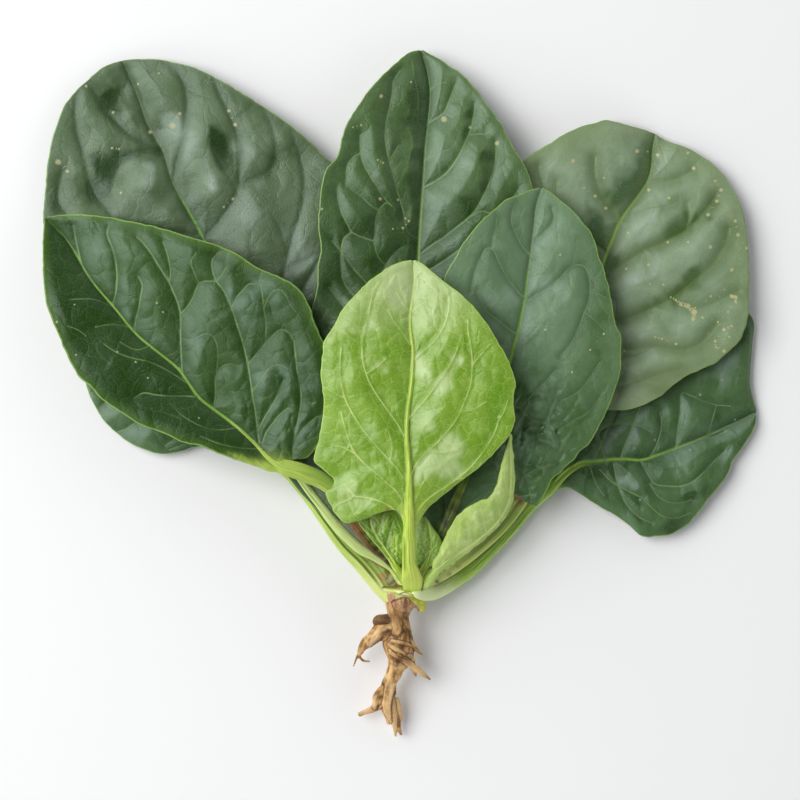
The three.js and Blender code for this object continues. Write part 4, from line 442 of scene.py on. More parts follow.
        (0.6, [(36.3, 14.2), (40.2, 15.4), (44, 18.6), (47.2, 23.1)]),
        (0.6, [(24.2, -19.4), (28.7, -18.5), (33.1, -19.8), (35.7, -23.6)]),
        (0.6, [(38.3, -4.4), (42.1, -8.2), (46.6, -9.5)]),
        (0.6, [(46.6, -9.5), (47.2, -14.6), (46.6, -19.8), (44.7, -24.2)]),
    ],
    "leaf_front": [
        (1, [(3.4, 26), (5, 27.9), (6.6, 28.9), (8.5, 29.8)]),
        (0.9, [(3.7, 30.2), (5.3, 33.4), (5.6, 36.6)]),
        (1, [(4, 10.3), (5.9, 12.6), (8.5, 14.8), (11.1, 17.4), (13, 20.2), (14.6, 23.8), (15.5, 27.6), (15.5, 31.1),
            (14.9, 33.7), (13.6, 35.3)]),
        (1, [(2.4, -8.2), (5.6, -4.4), (8.8, -0.6), (12, 3.9), (15.2, 8.4), (17.8, 13.5), (19.1, 18)]),
        (1, [(3.4, -26.8), (4.3, -23.6), (6.3, -20.7), (8.8, -18.2), (11.7, -15.6), (14.6, -12.4), (17.1, -9.2),
            (19.1, -5.7), (20.7, -1.8), (22.3, 2.6), (22.9, 7.1), (22.9, 11.9), (22.3, 16.7), (21.6, 20.6),
            (21.6, 23.8)]),
        (0.7, [(22.9, 9), (24.8, 11.6), (26.7, 13.8), (28.7, 16.1)]),
        (1, [(4.3, -39.6), (6.3, -36.4), (8.5, -33.8), (11.4, -31.6), (14.9, -29.4), (18.4, -26.8), (21.6, -24.2),
            (24.5, -21), (27.1, -17.5), (29.3, -14), (30.9, -10.2), (31.5, -7)]),
        (0.6, [(17.5, -27.4), (22.3, -26.2), (26.1, -21.7)]),
        (0.5, [(30.9, -9.5), (33.1, -5.7), (34.4, -1.8)]),
        (1, [(3.1, 26.3), (1.1, 28.6), (-0.1, 30.5), (-1.4, 32.7)]),
        (0.8, [(3.1, 15.8), (0.5, 19.9), (-2.1, 23.1), (-4, 27)]),
        (1, [(1.1, -13.4), (-0.8, -9.8), (-3.3, -6.3), (-5.6, -3.1), (-7.8, 0.1), (-9.7, 3.3), (-11, 6.5),
            (-12, 10.3), (-12.3, 14.8), (-12, 18.6), (-11, 22.2), (-10.1, 26.3), (-9.4, 30.2), (-8.5, 33.4),
            (-6.9, 35.9)]),
        (0.6, [(-12, 15.8), (-14.9, 17.4), (-17.4, 19.3)]),
        (0.6, [(-11, 6.5), (-7.2, 9), (-4.6, 11.6)]),
        (1, [(0.8, -26.8), (-0.8, -24.2), (-3.3, -21.4), (-6.2, -18.2), (-9.1, -15), (-11.7, -11.8), (-13.9, -8.6),
            (-16.1, -5), (-17.7, -1.5), (-18.7, 2.3), (-19.3, 6.5), (-19.3, 11), (-19, 14.8)]),
        (0.6, [(-17.7, -1.5), (-20.6, 0.1), (-23.2, 1.4)]),
        (1, [(0.5, -33.8), (-1.4, -31), (-4, -28.7), (-7.2, -25.8), (-10.4, -23.3), (-13.3, -20.4), (-15.5, -17.2),
            (-16.8, -14), (-18.1, -9.8), (-19, -5.7)]),
        (0.7, [(-13.6, -20.1), (-16.1, -18.2), (-18.7, -16.9), (-21.9, -16.6)]),
        (0.6, [(-16.1, -15.9), (-18.7, -19.8), (-21.3, -21.7)]),
        (1, [(1.5, -40.2), (-0.8, -38), (-3, -36.1), (-5.9, -34.5), (-9.1, -33.5), (-12.3, -32.9), (-14.5, -32.6),
            (-16.1, -31), (-17.7, -29.4), (-19, -28.1)]),
        (0.7, [(-14.9, -32.6), (-17.4, -34.2), (-20, -35.1), (-21.3, -36.7)]),
        (0.5, [(-9.1, -33.5), (-11, -36.4), (-13.6, -38.3)]),
        (0.6, [(8.8, -18.2), (13.9, -18.5), (18.4, -17.8)]),
        (0.5, [(19.1, -5.7), (22.9, -5), (27.4, -2.5)]),
        (0.5, [(-3.3, -21.4), (-2.7, -16.6), (-4, -11.4)]),
    ],
    "leaf_folded": [
        (0.9, [(18.4, -51.4), (17.1, -48.6), (16.5, -45.4), (17.5, -42.2)]),
        (0.9, [(22.9, -48.2), (22.3, -44.1), (21, -40.2)]),
        (0.9, [(27.4, -44.7), (26.7, -40.2), (25.5, -35.8)]),
        (0.8, [(31.9, -39.9), (31.2, -35.1), (29.9, -31.9)]),
        (0.7, [(35.1, -33.2), (33.5, -28.1), (33.1, -23)]),
    ],
    "heart_leaf_left": [
        (0.8, [(-4.6, -48.6), (-3.3, -44.1), (-2.1, -40.2)]),
        (0.8, [(-7.2, -44.4), (-5.9, -40.2), (-4.6, -37)]),
        (0.6, [(-9.7, -40.2), (-8.8, -37.7)]),
    ],
    "heart_leaf_right": [
        (0.7, [(9.1, -50.5), (11.1, -48.2), (12, -46)]),
        (0.7, [(9.8, -47.3), (10.7, -44.4), (10.7, -42.5)]),
        (0.6, [(9.5, -47.9), (7.5, -45.4), (6.6, -42.8)]),
    ],
}

# Veins where a leaf lies under another: (side, place along the midrib).
MORE_VEINS = {
    "leaf_lower_left": [(-1, 0.08), (-1, 0.2), (-1, 0.32), (-1, 0.84), (1, 0.1), (1, 0.24), (1, 0.38), (1, 0.52), (1, 0.66), (1, 0.8)],
    "leaf_lower_right": [(-1, 0.12), (-1, 0.24), (-1, 0.36)],
    "leaf_upper_left": [(-1, 0.1), (-1, 0.19), (-1, 0.28), (-1, 0.37), (1, 0.08), (1, 0.16), (1, 0.24), (1, 0.33)],
    "leaf_upper_right": [(-1, 0.08), (-1, 0.2), (-1, 0.32), (-1, 0.44)],
    "leaf_centre": [(-1, 0.05), (-1, 0.13), (-1, 0.22), (-1, 0.32), (1, 0.05), (1, 0.14), (1, 0.23), (1, 0.33), (1, 0.43)],
    "leaf_left": [],
    "leaf_right": [(-1, 0.08), (-1, 0.18), (-1, 0.28), (-1, 0.38), (1, 0.07), (1, 0.15)],
    "leaf_front": [],
    "leaf_folded": [(1, 0.15), (1, 0.35), (1, 0.55), (1, 0.75)],
    "heart_leaf_left": [(-1, 0.2), (-1, 0.4), (-1, 0.6)],
    "heart_leaf_right": [],
}

# Swells and hollows in plan: (x, y, radius, height), all mm.
SWELLS = {
    "leaf_upper_left": [(-90.4, 95.1, 5.1, -1.6), (-85.9, 90.3, 3.2, 0.9), (-76.3, 94.2, 5.4, 1.3),
        (-76, 84.6, 3.2, -0.9), (-90.4, 71.1, 5.1, -1.6), (-94.5, 62.2, 5.1, -0.8), (-78.5, 67.9, 6.4, 1.6),
        (-73.1, 57.4, 5.8, 0.8), (-62.5, 83.9, 7, 1), (-55.2, 78.8, 3.5, -1.3), (-66.7, 67, 3.5, -0.6),
        (-59.3, 65.4, 4.5, 1), (-48.1, 60.6, 7.7, 0.8), (-105.7, 65.4, 5.8, 0.4), (-32.1, 57.4, 6.4, 0.6)],
    "leaf_left": [(-80.1, 13.5, 5.1, 0.8), (-100.9, 27, 5.1, 0.7), (-64.1, 11, 4.5, 0.8), (-52.9, -0.2, 4.5, -0.8),
        (-40.1, 3, 5.1, 0.8), (-83.3, 30.2, 4.5, 0.6), (-89.7, 33.4, 3.2, 0.5), (-108.9, 36.6, 5.8, -0.5)],
    "leaf_centre": [(-19.3, 33.4, 5.1, -0.8), (-1.7, 55.8, 4.5, -0.8), (15.9, 62.2, 4.5, 0.6),
        (12.7, 79.8, 4.5, 0.7), (1.5, 87.8, 4.5, -0.6), (-16.1, 57.4, 4.5, 0.5), (22.3, 47.8, 4.5, 0.6)],
    "leaf_upper_right": [(76.7, 52.6, 6.4, 0.7), (92.7, 59, 5.8, 0.8), (83.1, 39.8, 6.4, 0.8),
        (95.9, 46.2, 5.1, 0.5), (71.9, 30.2, 5.8, 0.6), (92.7, 20.6, 5.8, 0.6), (51.1, 71.8, 6.4, 0.6),
        (68.7, 43, 3.2, -0.8), (102.3, 33.4, 5.8, -0.4)],
    "leaf_lower_right": [(85.6, -13, 3.2, -1.2), (92.7, -8.2, 4.5, 0.9), (76.7, -14.6, 4.5, 0.6),
        (107.1, 1.4, 5.1, 0.8), (76.7, -29, 4.5, 0.7), (95.9, -24.2, 4.5, 0.7), (89.5, -38.6, 3.2, 0.4)],
    "leaf_right": [(31.9, 30.2, 5.8, 0.8), (46.3, 43, 5.1, 0.8), (51.1, 23.8, 6.4, 0.7), (31.9, 46.2, 3.8, 0.5),
        (55.9, 33.4, 3.2, 0.3), (46.3, 11, 4.5, -0.5), (51.1, -11.4, 3.8, 0.8), (41.5, -14.6, 3.8, -0.6)],
    "leaf_front": [(9.5, 4.6, 7, 0.9), (17.5, 15.8, 5.1, 0.6), (-4.9, 17.4, 5.8, 0.7), (-16.1, 4.6, 3.8, 0.5),
        (12.7, -8.2, 5.8, 0.7), (-8.1, -8.2, 4.5, 0.6), (-14.5, -29, 3.8, 0.7), (-12.9, -35.4, 3.8, -0.5),
        (22.3, -11.4, 3.8, -0.4)],
}

# Pale specks and scars in plan: (x, y, radius), mm.
SPECKS = {
    "leaf_upper_left": [(-72.8, 85.8, 1.09), (-70.5, 89.7, 0.58), (-109.6, 74.3, 0.96), (-106.7, 71.4, 0.58),
        (-80.1, 83.9, 0.64), (-52.9, 86.2, 0.7), (-100.6, 98.6, 0.51), (-92, 90.3, 0.51), (-92.3, 78.8, 0.45),
        (-90.1, 78.5, 0.45), (-54.9, 90.6, 0.58), (-53.6, 62.5, 0.51), (-84, 99.3, 0.42), (-56.5, 59.9, 0.45),
        (-89.4, 64.4, 0.48), (-77.3, 102.8, 0.42)],
    "leaf_centre": [(13.9, 88.1, 1.09), (22.3, 85.5, 0.51), (30.9, 80.4, 0.77), (-6.2, 95.4, 0.64),
        (-6.5, 62.5, 0.58), (-0.8, 62.2, 0.45), (2.7, 55.4, 0.45), (0.8, 53.2, 0.48), (-2.4, 52.9, 0.38),
        (1.5, 56.4, 0.32), (-12.6, 86.2, 0.38), (-15.2, 85.5, 0.32), (-25.1, 59.3, 0.45), (-7.2, 75, 0.38),
        (-5.6, 74, 0.38), (3.4, 99.9, 0.38)],
    "leaf_upper_right": [(93.9, 72.4, 0.64), (92, 77.2, 0.58), (100.7, 68.2, 0.51), (102.6, 65.4, 0.64),
        (101.3, 61.8, 0.58), (98.4, 57.4, 0.64), (107.1, 55.4, 0.58), (108, 51, 0.7), (110.9, 46.8, 0.58),
        (106.1, 39.8, 0.64), (107.4, 31.1, 0.64), (85.6, 48.7, 0.51), (92, 48.7, 0.45), (99.1, 47.1, 0.64),
        (79.2, 41.4, 0.45), (72.2, 40.1, 0.45), (84, 35, 0.45), (62.3, 63.4, 0.58), (65.8, 59.6, 0.58),
        (72.8, 51.6, 0.51), (79.5, 65.4, 0.64), (85.9, 62.8, 0.51), (75.7, 77.8, 0.7), (82.4, 76.6, 0.58),
        (55.2, 74.6, 0.7), (92, 28.2, 0.96), (93.9, 26.3, 1.09), (89.8, 28.9, 0.7), (93.6, 24.1, 0.7),
        (88.2, 30.2, 0.45), (86.6, 31.1, 0.38), (83.7, 17.7, 0.42), (81.5, 18.3, 0.38), (88.2, 16.1, 0.51),
        (101.6, 23.1, 0.38), (103.5, 20.6, 0.54), (105.1, 18.3, 0.35), (105.8, 21.8, 0.48), (100.7, 17, 0.48),
        (103.5, 13.8, 0.64), (101, 15.1, 0.42), (106.1, 31.4, 0.7), (107.4, 29.5, 0.45), (104.8, 26.3, 0.38),
        (99.4, 31.4, 0.42), (96.8, 24.4, 0.38), (65.1, 69.2, 0.42), (58.7, 66, 0.42)],
    "leaf_left": [(-109.9, 23.1, 0.45), (-104.1, 28.6, 0.32), (-77.9, 29.2, 0.38), (-76, 26.3, 0.32),
        (-84.6, 10.3, 0.38), (-90.4, 13.5, 0.32), (-64.5, -7.6, 0.32), (-80.8, 5.2, 0.32), (-103.8, 12.6, 0.32)],
    "leaf_right": [(51.1, 44.6, 0.38), (65.1, 19.3, 0.38), (54.9, 7.1, 0.38), (46.3, 20.6, 0.32), (60.7, 14.2, 0.38)],
    "leaf_lower_right": [(95.9, -0.2, 0.45), (102.9, 4.6, 0.45), (92.7, -17.8, 0.38), (81.5, -14.6, 0.38),
        (107.1, -8.2, 0.38), (101, 12.2, 0.45), (76.7, -33.8, 0.38)],
}

# blade patches of painted sheen (+) and painted shade (-): x, y, radius, amount
PAINTED_SHEEN_AND_SHADE = {
    "leaf_upper_left": [(-92.3, 96.7, 4.3, -0.7), (-92.9, 92.9, 4.3, -0.7), (-91, 88.4, 3.8, -0.47),
        (-78.5, 92.9, 2.4, -0.55), (-80.8, 95.4, 1.9, -0.5), (-72.1, 86.2, 2.9, 1), (-69.3, 82, 2.9, 0.7),
        (-71.8, 90.3, 2.6, 0.5), (-95.8, 62.8, 3.8, -0.62), (-96.1, 67, 4.3, -0.78), (-95.5, 71.1, 4.3, -0.78),
        (-92.9, 74.3, 3.8, -0.78), (-89.4, 75.9, 3.4, -0.7), (-85.6, 76.6, 2.9, -0.7), (-81.4, 77.2, 2.9, -0.62),
        (-77.6, 77.2, 2.4, -0.47), (-80.8, 69.8, 2.9, 0.8), (-79.5, 66.6, 2.2, 0.5), (-90.4, 60.6, 3.8, -0.5),
        (-92.3, 81.4, 3.8, -0.3), (-58.4, 81.4, 3.4, -0.7), (-57.1, 77.5, 3.4, -0.7), (-56.5, 73.4, 2.9, -0.62),
        (-60.3, 84.6, 1.9, -0.4), (-61.3, 69.2, 2.9, 0.6), (-59.3, 65.4, 2.6, 0.6), (-67.3, 64.7, 3.8, -0.47),
        (-64.8, 60.6, 3.4, -0.55), (-69.6, 71.1, 3.4, -0.47), (-61.6, 57.4, 3.1, -0.5), (-67.3, 78.2, 2.6, 0.5),
        (-46.5, 57.4, 5.1, 0.6), (-35.3, 51, 5.1, 0.6), (-32.1, 42.3, 4.5, 0.9), (-44.3, 49.4, 2.6, -0.3),
        (-46.2, 69.8, 3.2, 0.3), (-41.1, 73.4, 2.2, -0.4), (-108.9, 65.4, 4.2, -0.3), (-111.5, 59.6, 3.5, -0.5),
        (-99.3, 91, 2.9, 0.2), (-101.3, 78.2, 2.6, 0.2), (-52.9, 95.8, 4.5, 0.2), (-32.1, 62.2, 3.8, 0.2),
        (-49.7, 78.2, 2.6, 0.3), (-80.1, 57.4, 4.5, 0.1)],
    "leaf_left": [(-44.3, 15.8, 7, -0.35), (-57.1, 20.6, 5.1, -0.35), (-35.3, 20.6, 3.8, -0.2),
        (-70.5, 33.4, 6.4, -0.25), (-105.1, 20.6, 9, -0.9), (-89.1, 3, 8.3, -0.9), (-73.7, -8.2, 7, -0.9),
        (-60.3, -14.6, 5.1, -0.9), (-110.9, 42.3, 4.2, -0.6), (-109.6, 31.8, 4.5, -0.8), (-96.1, 30.2, 3.8, -0.7),
        (-91.3, 40.4, 2.9, -0.3), (-75.3, 26.3, 3.5, -0.4), (-69.3, 13.5, 2.9, -0.4), (-59.3, -1.2, 3.5, -0.5),
        (-51.3, -1.8, 3.5, -0.5), (-48.1, -10.8, 2.9, -0.5), (-31.5, 13.5, 3.2, -0.3), (-53.9, 7.1, 2.6, -0.3),
        (-43.3, 33.4, 5.1, 0.4), (-53.9, 30.2, 3.8, 0.3), (-37.3, 6.5, 2.6, 0.9), (-86.5, 26.3, 2.2, 0.6),
        (-97.7, 46.2, 3.2, 0.2), (-65.7, 39.1, 3.2, 0.3), (-31.8, -9.8, 2.6, 0.7), (-44.3, 3.9, 2.2, 0.5),
        (-64.1, 15.8, 2.9, 0.4), (-40.1, -3.4, 2.2, 0.4), (-50.7, 23.1, 2.6, 0.3), (-108.9, 49.4, 2.6, 0.1)],
    "leaf_centre": [(4.7, 95.8, 2.9, -0.6), (4.3, 86.2, 2.9, -0.7), (5, 76.6, 2.6, -0.8), (4.3, 67, 2.6, -0.8),
        (2.4, 57.4, 3.2, -0.6), (2.4, 47.8, 2.9, -0.6), (-16.1, 53.8, 3.2, -0.8), (-9.1, 52.6, 2.9, -0.5),
        (-17.7, 42.3, 4.2, -0.7), (-22.5, 36.6, 3.8, -0.6), (-8.1, 42.3, 3.2, -0.6), (28, 75, 2.2, -0.8),
        (26.1, 67, 2.6, -0.8), (21, 59.6, 2.6, -0.8), (15.2, 53.2, 2.2, -0.7), (21.6, 90.3, 2.6, -0.8),
        (19.7, 83, 2.6, -0.8), (14.6, 73.4, 2.2, -0.7), (10.4, 60.6, 3.2, 0.8), (9.5, 52.6, 2.6, 0.8),
        (10.7, 76.6, 2.6, 0.6), (12.7, 83, 2.2, 0.5), (17.5, 65.4, 2.6, 0.4), (-0.8, 81.4, 2.6, 0.6),
        (1.1, 71.8, 2.2, 0.4), (22.3, 75, 2.6, 0.5), (33.5, 68.6, 3.8, 0.3), (15.9, 47.8, 2.9, 0.6),
        (-4.9, 54.2, 1.9, 0.6), (-11.3, 70.2, 2.6, 0.2), (-14.5, 75, 2.6, 0.2)],
    "leaf_upper_right": [(79.9, 78.2, 2.5, -0.8), (78.3, 74, 2.9, -0.9), (76, 69.5, 2.9, -0.9),
        (73.1, 65, 2.9, -0.9), (69.6, 60.9, 2.5, -0.8), (66.4, 64.7, 1.9, -0.4), (64.2, 47.8, 3.7, -1),
        (62.9, 53.2, 3.3, -0.8), (65.1, 43.6, 2.9, -0.9), (60.7, 58.3, 2.6, -0.4), (67.7, 70.2, 2.9, 0.5),
        (55.9, 62.2, 2.9, 0.3), (51.1, 73.4, 4.5, 0.3), (92.7, 56.4, 2.5, -0.9), (91.4, 52.6, 2.5, -0.8),
        (87.9, 50.3, 2.5, -0.6), (99.7, 57.7, 2.1, -0.8), (101.6, 61.2, 2.1, -0.7), (95.9, 55.4, 1.7, -0.6),
        (81.5, 55.1, 3.2, 0.7), (76.7, 50, 2.9, 0.6), (86.3, 60.6, 2.6, 0.4), (74.1, 35.9, 2.9, 0.7),
        (79.9, 37.8, 2.9, 0.5), (95.9, 39.1, 2.1, -0.8), (93.3, 35.9, 2.1, -0.9), (90.1, 32.7, 2.1, -0.9),
        (86.9, 30.5, 2.1, -0.6), (83.1, 71.1, 2.6, 0.3), (84.3, 66.6, 1.9, -0.3), (76.7, 25.7, 3.3, -0.5),
        (70.9, 23.1, 3.3, -0.6), (81.5, 27.9, 2.5, -0.5), (67.7, 33.4, 3.3, -0.7), (69, 42.3, 2.9, -0.5),
        (76.7, 18.6, 3.2, 0.4), (71.9, 14.2, 2.9, -0.4), (70.9, 5.2, 3.7, -0.5), (81.5, 13.5, 3.2, 0.3),
        (89.5, 20.6, 3.2, 0.4), (103.9, 42.3, 5.1, 0.3), (105.5, 27, 4.5, 0.3), (67.1, 15.8, 2.5, -0.5),
        (95.9, 75, 3.2, 0.1), (76.7, -0.2, 3.8, 0.2), (70.3, 68.6, 4.2, -0.55), (83.1, 53.8, 2.6, -0.4),
        (53.6, 60.6, 3.8, -0.3)],
    "leaf_lower_right": [(79.2, -12.1, 3.8, 0.6), (84.7, -10.8, 2.2, -0.7), (70.3, -19.8, 2.6, -0.3),
        (98.4, -9.8, 3.8, 0.4), (107.1, 11, 4.5, 0.7), (100.7, 6.2, 4.5, 0.7), (109.3, -0.2, 3.8, 0.5),
        (92.7, -1.2, 3.2, 0.4), (71.9, -9.8, 3.8, 0.5), (67.1, -14.6, 2.9, 0.4), (72.8, -26.8, 2.9, 0.5),
        (76.7, -34.8, 3.8, -0.9), (92.7, -31.3, 3.8, -0.9), (86.9, -41.8, 3.2, -0.6), (63.9, -30.6, 2.9, -0.8),
        (76.7, -40.2, 2.9, -0.5), (110.3, -12.1, 2.2, 0.3), (83.1, -22.6, 2.6, -0.3), (54.3, -26.8, 2.9, -0.5),
        (104.8, -17.2, 2.6, 0.3), (100.7, -5, 1.9, -0.3), (59.1, -25.8, 2.2, -0.9), (62.3, -24.6, 2.2, -0.9),
        (65.8, -23.9, 2.2, -0.9), (69.3, -23.3, 2.2, -0.9), (72.8, -23, 2.2, -0.85), (76.3, -22.6, 2.2, -0.8),
        (79.9, -22.3, 2.2, -0.7), (67.7, -30, 1.9, 0.6), (76.7, -29, 1.9, 0.5)],
    "leaf_right": [(33.5, 30.2, 5.1, 0.7), (46.3, 49.4, 5.8, 0.5), (38.3, 57.4, 3.8, 0.3), (46.3, 35, 4.8, 0.6),
        (31.9, 20.6, 3.8, 0.6), (41.5, 20.6, 4.5, 0.5), (25.5, 30.2, 3.2, 0.3), (52.7, 30.2, 3.2, 0.4),
        (64.2, 23.1, 2.9, -0.7), (62.9, 14.2, 2.9, -0.6), (63.9, 31.8, 1.9, -0.6), (60.7, 40.4, 1.9, -0.3),
        (44.7, 7.1, 3.2, -0.4), (38.3, 3, 3.2, -0.5), (38.3, -2.5, 3.2, -0.8), (42.1, -11.4, 3.8, -0.6),
        (33.5, -0.2, 2.6, -0.5), (55.9, -1.8, 3.2, -0.3), (57.5, -9.8, 3.2, -0.5), (41.5, -22.6, 4.5, -0.8),
        (38.3, -30.6, 2.9, -0.8), (47.2, -14.6, 1.9, 0.5), (51.1, 3, 2.6, 0.3), (55.9, 9.4, 2.9, 0.3),
        (59.1, 1.4, 1.9, 0.4), (65.5, 7.1, 1.9, 0.2), (39.5, -17.2, 1.6, 0.5), (49.5, -21, 1.9, 0.3),
        (44.7, -5, 1.6, 0.5), (28.7, -1.8, 3.2, -0.4), (51.1, 15.8, 2.6, 0.3), (41.5, -4.4, 1, 0.95),
        (40.5, -6.3, 1, 0.6), (48.5, -5, 1, 0.8), (46.3, -14.6, 1.3, 0.8), (47.9, -16.6, 1.1, 0.6),
        (40.8, -17.8, 1, 0.9), (39.9, -19.8, 1, 0.6), (51.7, -10.8, 1.1, 0.5), (54.9, -8.2, 1, 0.4),
        (45.6, -3.1, 1, -0.8), (49.8, -12.7, 1, -0.7), (45.3, -8.2, 1.2, -0.8), (39.5, -12.4, 1.2, -0.9),
        (43.7, -11.4, 1, -0.7), (53.6, -14, 1.2, -0.7), (43.4, -22.3, 1.2, -0.6), (38.3, 0.7, 1.3, -0.8),
        (51.1, -16.6, 1.1, -0.6), (53, -3.1, 1, -0.5), (47.2, 0.7, 1, -0.6), (43.7, 2, 1, 0.5), (49.8, -1.2, 1, 0.4)],
    "leaf_front": [(1.5, 35.3, 5.1, 0.95), (8.2, 32.7, 3.2, -0.3), (-2.7, 30.2, 4.5, 0.9), (10.7, 27.6, 4.8, 0.45),
        (-8.1, 19, 3.8, 0.5), (-12.9, 20.6, 2.9, 0.5), (6.3, 9, 2.9, 0.9), (12.7, 3.9, 3.5, 0.7),
        (17.8, 11, 2.9, 0.6), (-5.3, 9, 2.9, 0.7), (-1.4, 2.6, 2.2, 0.6), (9.5, -8.9, 4.2, 0.4),
        (15.9, -12.1, 3.8, 0.5), (14.6, -21.7, 6.4, 0.85), (8.8, -25.5, 3.8, 0.6), (20.3, -16.6, 3.8, 0.6),
        (15.2, -24.2, 2.9, 0.3), (-9.7, -13.4, 4.5, 0.3), (-17.7, -30.6, 3.8, 0.4), (-12.9, -34.5, 2.9, 0.4),
        (-4.9, 14.2, 2.9, -0.7), (-9.1, 16.7, 2.6, -0.6), (-20.9, -1.8, 3.8, -0.9), (-17.7, -8.9, 2.9, -0.7),
        (25.5, 7.8, 4.2, -0.7), (30.6, 0.7, 4.2, -0.9), (31.9, -8.2, 3.5, -0.7), (7.9, -0.6, 2.2, -0.7),
        (0.5, -2.5, 2.2, -0.6), (-2.1, -11.4, 2.9, -0.5), (22.3, 15.8, 2.6, -0.4), (9.5, 15.8, 2.2, -0.6),
        (25.5, -15.3, 2.9, -0.3)],
}
# brown places and painted shade on blades and stalks: plan x, y, radius, how brown, how dark (the dark is painted
# shade)
PALE = {
    "leaf_left": [(-56.5, -19.1, 1.3, 0.3), (-54.5, -19.8, 1.4, 0.5), (-52.6, -20.4, 1.6, 0.65),
        (-50.7, -21.2, 1.8, 0.75), (-48.8, -22, 1.9, 0.85), (-46.9, -22.8, 2.1, 0.9), (-44.9, -23.6, 2.2, 0.95),
        (-43, -24.4, 2.4, 1), (-41.1, -25.2, 2.6, 1), (-38.5, -25.8, 2.9, 1), (-36, -25.8, 2.9, 1)],
}
MARKS = {
    "leaf_left": [(-15.8, -42.2, 1.6, 0.5, 0.1), (-13.3, -42.5, 1.6, 0.95, 0), (-11.7, -44.4, 1.28, 0.6, 0.6),
        (-9.7, -47, 1.12, 0.3, 0.9), (-7.8, -49.2, 1.12, 0.1, 1), (-5.9, -51.4, 1.12, 0.1, 1),
        (-4, -53.7, 1.12, 0, 1), (-2.1, -55.9, 1.12, 0, 0.9), (-0.5, -58.2, 1.12, 0.1, 0.9),
        (-13.6, -45.7, 1.6, 0.5, 0.35), (-11, -48.6, 1.44, 0.35, 0.45), (-8.5, -50.8, 1.12, 0.2, 0.5),
        (-16.8, -41.2, 1.6, 0.2, 0.5), (-28.6, -19.8, 0.9, 0.95, 0.1), (-28, -18.8, 0.64, 0.7, 0.3),
        (-32.1, -22.3, 0.64, 0.2, 0.2)],
    "leaf_lower_left": [(-7.5, -54.3, 1.09, 0.9, 0.1), (-8.8, -53.4, 0.96, 0.6, 0.3), (-6.2, -55, 0.96, 0.8, 0.2),
        (-4.9, -57.2, 0.9, 0.6, 0.5), (-4.3, -58.5, 0.83, 0.8, 0.1), (-4.3, -59.8, 0.7, 0.6, 0),
        (-3, -57.5, 0.83, 0.2, 0.9), (-1.7, -59.1, 0.77, 0.2, 1), (-0.8, -61, 0.77, 0.2, 1),
        (-0.1, -62.6, 0.77, 0.1, 0.9), (-10.4, -53, 0.77, 0.3, 0.5), (-17.7, -47.9, 1.28, 0.35, 0),
        (-15.5, -50.2, 1.28, 0.3, 0), (-12.3, -51.8, 0.77, 0.2, 0.3)],
    "leaf_upper_left": [(-1.1, -59.1, 0.7, 0.3, 0.5)],
    "leaf_front": [(1, -45.7, 0.32, 0.3, 0.8), (1.1, -47.1, 0.32, 0.3, 0.8), (-4.3, -37, 1.02, 0.6, 0),
        (-2.4, -37.7, 0.83, 0.5, 0), (-6.2, -36.7, 0.77, 0.35, 0), (-23.5, -31.3, 0.96, 0.35, 0),
        (1.1, -49.2, 0.26, 0.2, 0.4)],
    "leaf_folded": [(14.3, -56.6, 0.7, 0.8, 0.1), (13, -57.8, 0.77, 0.7, 0.2), (16.2, -55, 0.58, 0.7, 0),
        (18.1, -53.4, 0.58, 0.75, 0), (20.7, -51.4, 0.51, 0.7, 0), (23.2, -49.5, 0.54, 0.75, 0),
        (25.8, -47.6, 0.51, 0.7, 0), (28, -45.7, 0.54, 0.7, 0), (30.3, -43.4, 0.51, 0.7, 0),
        (32.2, -41.2, 0.54, 0.7, 0), (34.1, -38.6, 0.48, 0.5, 0), (11.7, -59.1, 0.7, 0.4, 0.1)],
    "leaf_right": [(12, -49.2, 3.52, 0, 0.7), (13.3, -45.4, 3.84, 0, 0.8), (14.9, -40.9, 3.84, 0, 0.8),
        (16.5, -36.7, 3.84, 0, 0.75), (18.1, -32.6, 3.52, 0, 0.6), (19.7, -28.7, 2.88, 0, 0.4),
        (37, -33.8, 1.6, 0.95, 0), (38.3, -34.8, 1.28, 0.8, 0), (35.1, -36.1, 1.28, 0.8, 0),
        (32.8, -39.3, 1.12, 0.6, 0.3), (29.9, -42.5, 1.12, 0.5, 0.5), (26.7, -45.7, 1.12, 0.4, 0.6),
        (23.5, -48.6, 1.12, 0.4, 0.6), (19.7, -51.8, 1.12, 0.5, 0.6), (16.5, -55, 1.12, 0.4, 0.6),
        (13.9, -57.5, 0.96, 0.4, 0.7), (10.7, -60.1, 0.96, 0.4, 0.8), (8.2, -61.4, 0.96, 0.4, 0.9)],
    "leaf_upper_right": [(38.3, -34.5, 1.6, 0.8, 0), (36.3, -36.4, 1.28, 0.5, 0), (18.7, -55, 1.12, 0.3, 0.5),
        (15.5, -57.8, 0.96, 0.3, 0.6), (12, -60.1, 1.12, 0.4, 0.8), (8.8, -61.4, 1.12, 0.4, 0.9)],
    "leaf_centre": [(9.5, -40.2, 5.12, 0, 0.55), (12.7, -35.4, 4.48, 0, 0.6), (14.3, -43.4, 4.48, 0, 0.6)],
    "heart_leaf_right": [(7.5, -48.9, 0.51, 0, 0.55), (9.5, -49.8, 0.51, 0, 0.6), (10.7, -50.8, 0.45, 0, 0.5),
        (5.6, -47.9, 0.45, 0, 0.5)],
    "heart_leaf_left": [(-6.2, -46.6, 0.96, 0, 0.3), (-4.6, -48.2, 0.96, 0, 0.35), (-1.1, -40.2, 1.28, 0, 0.3)],
}

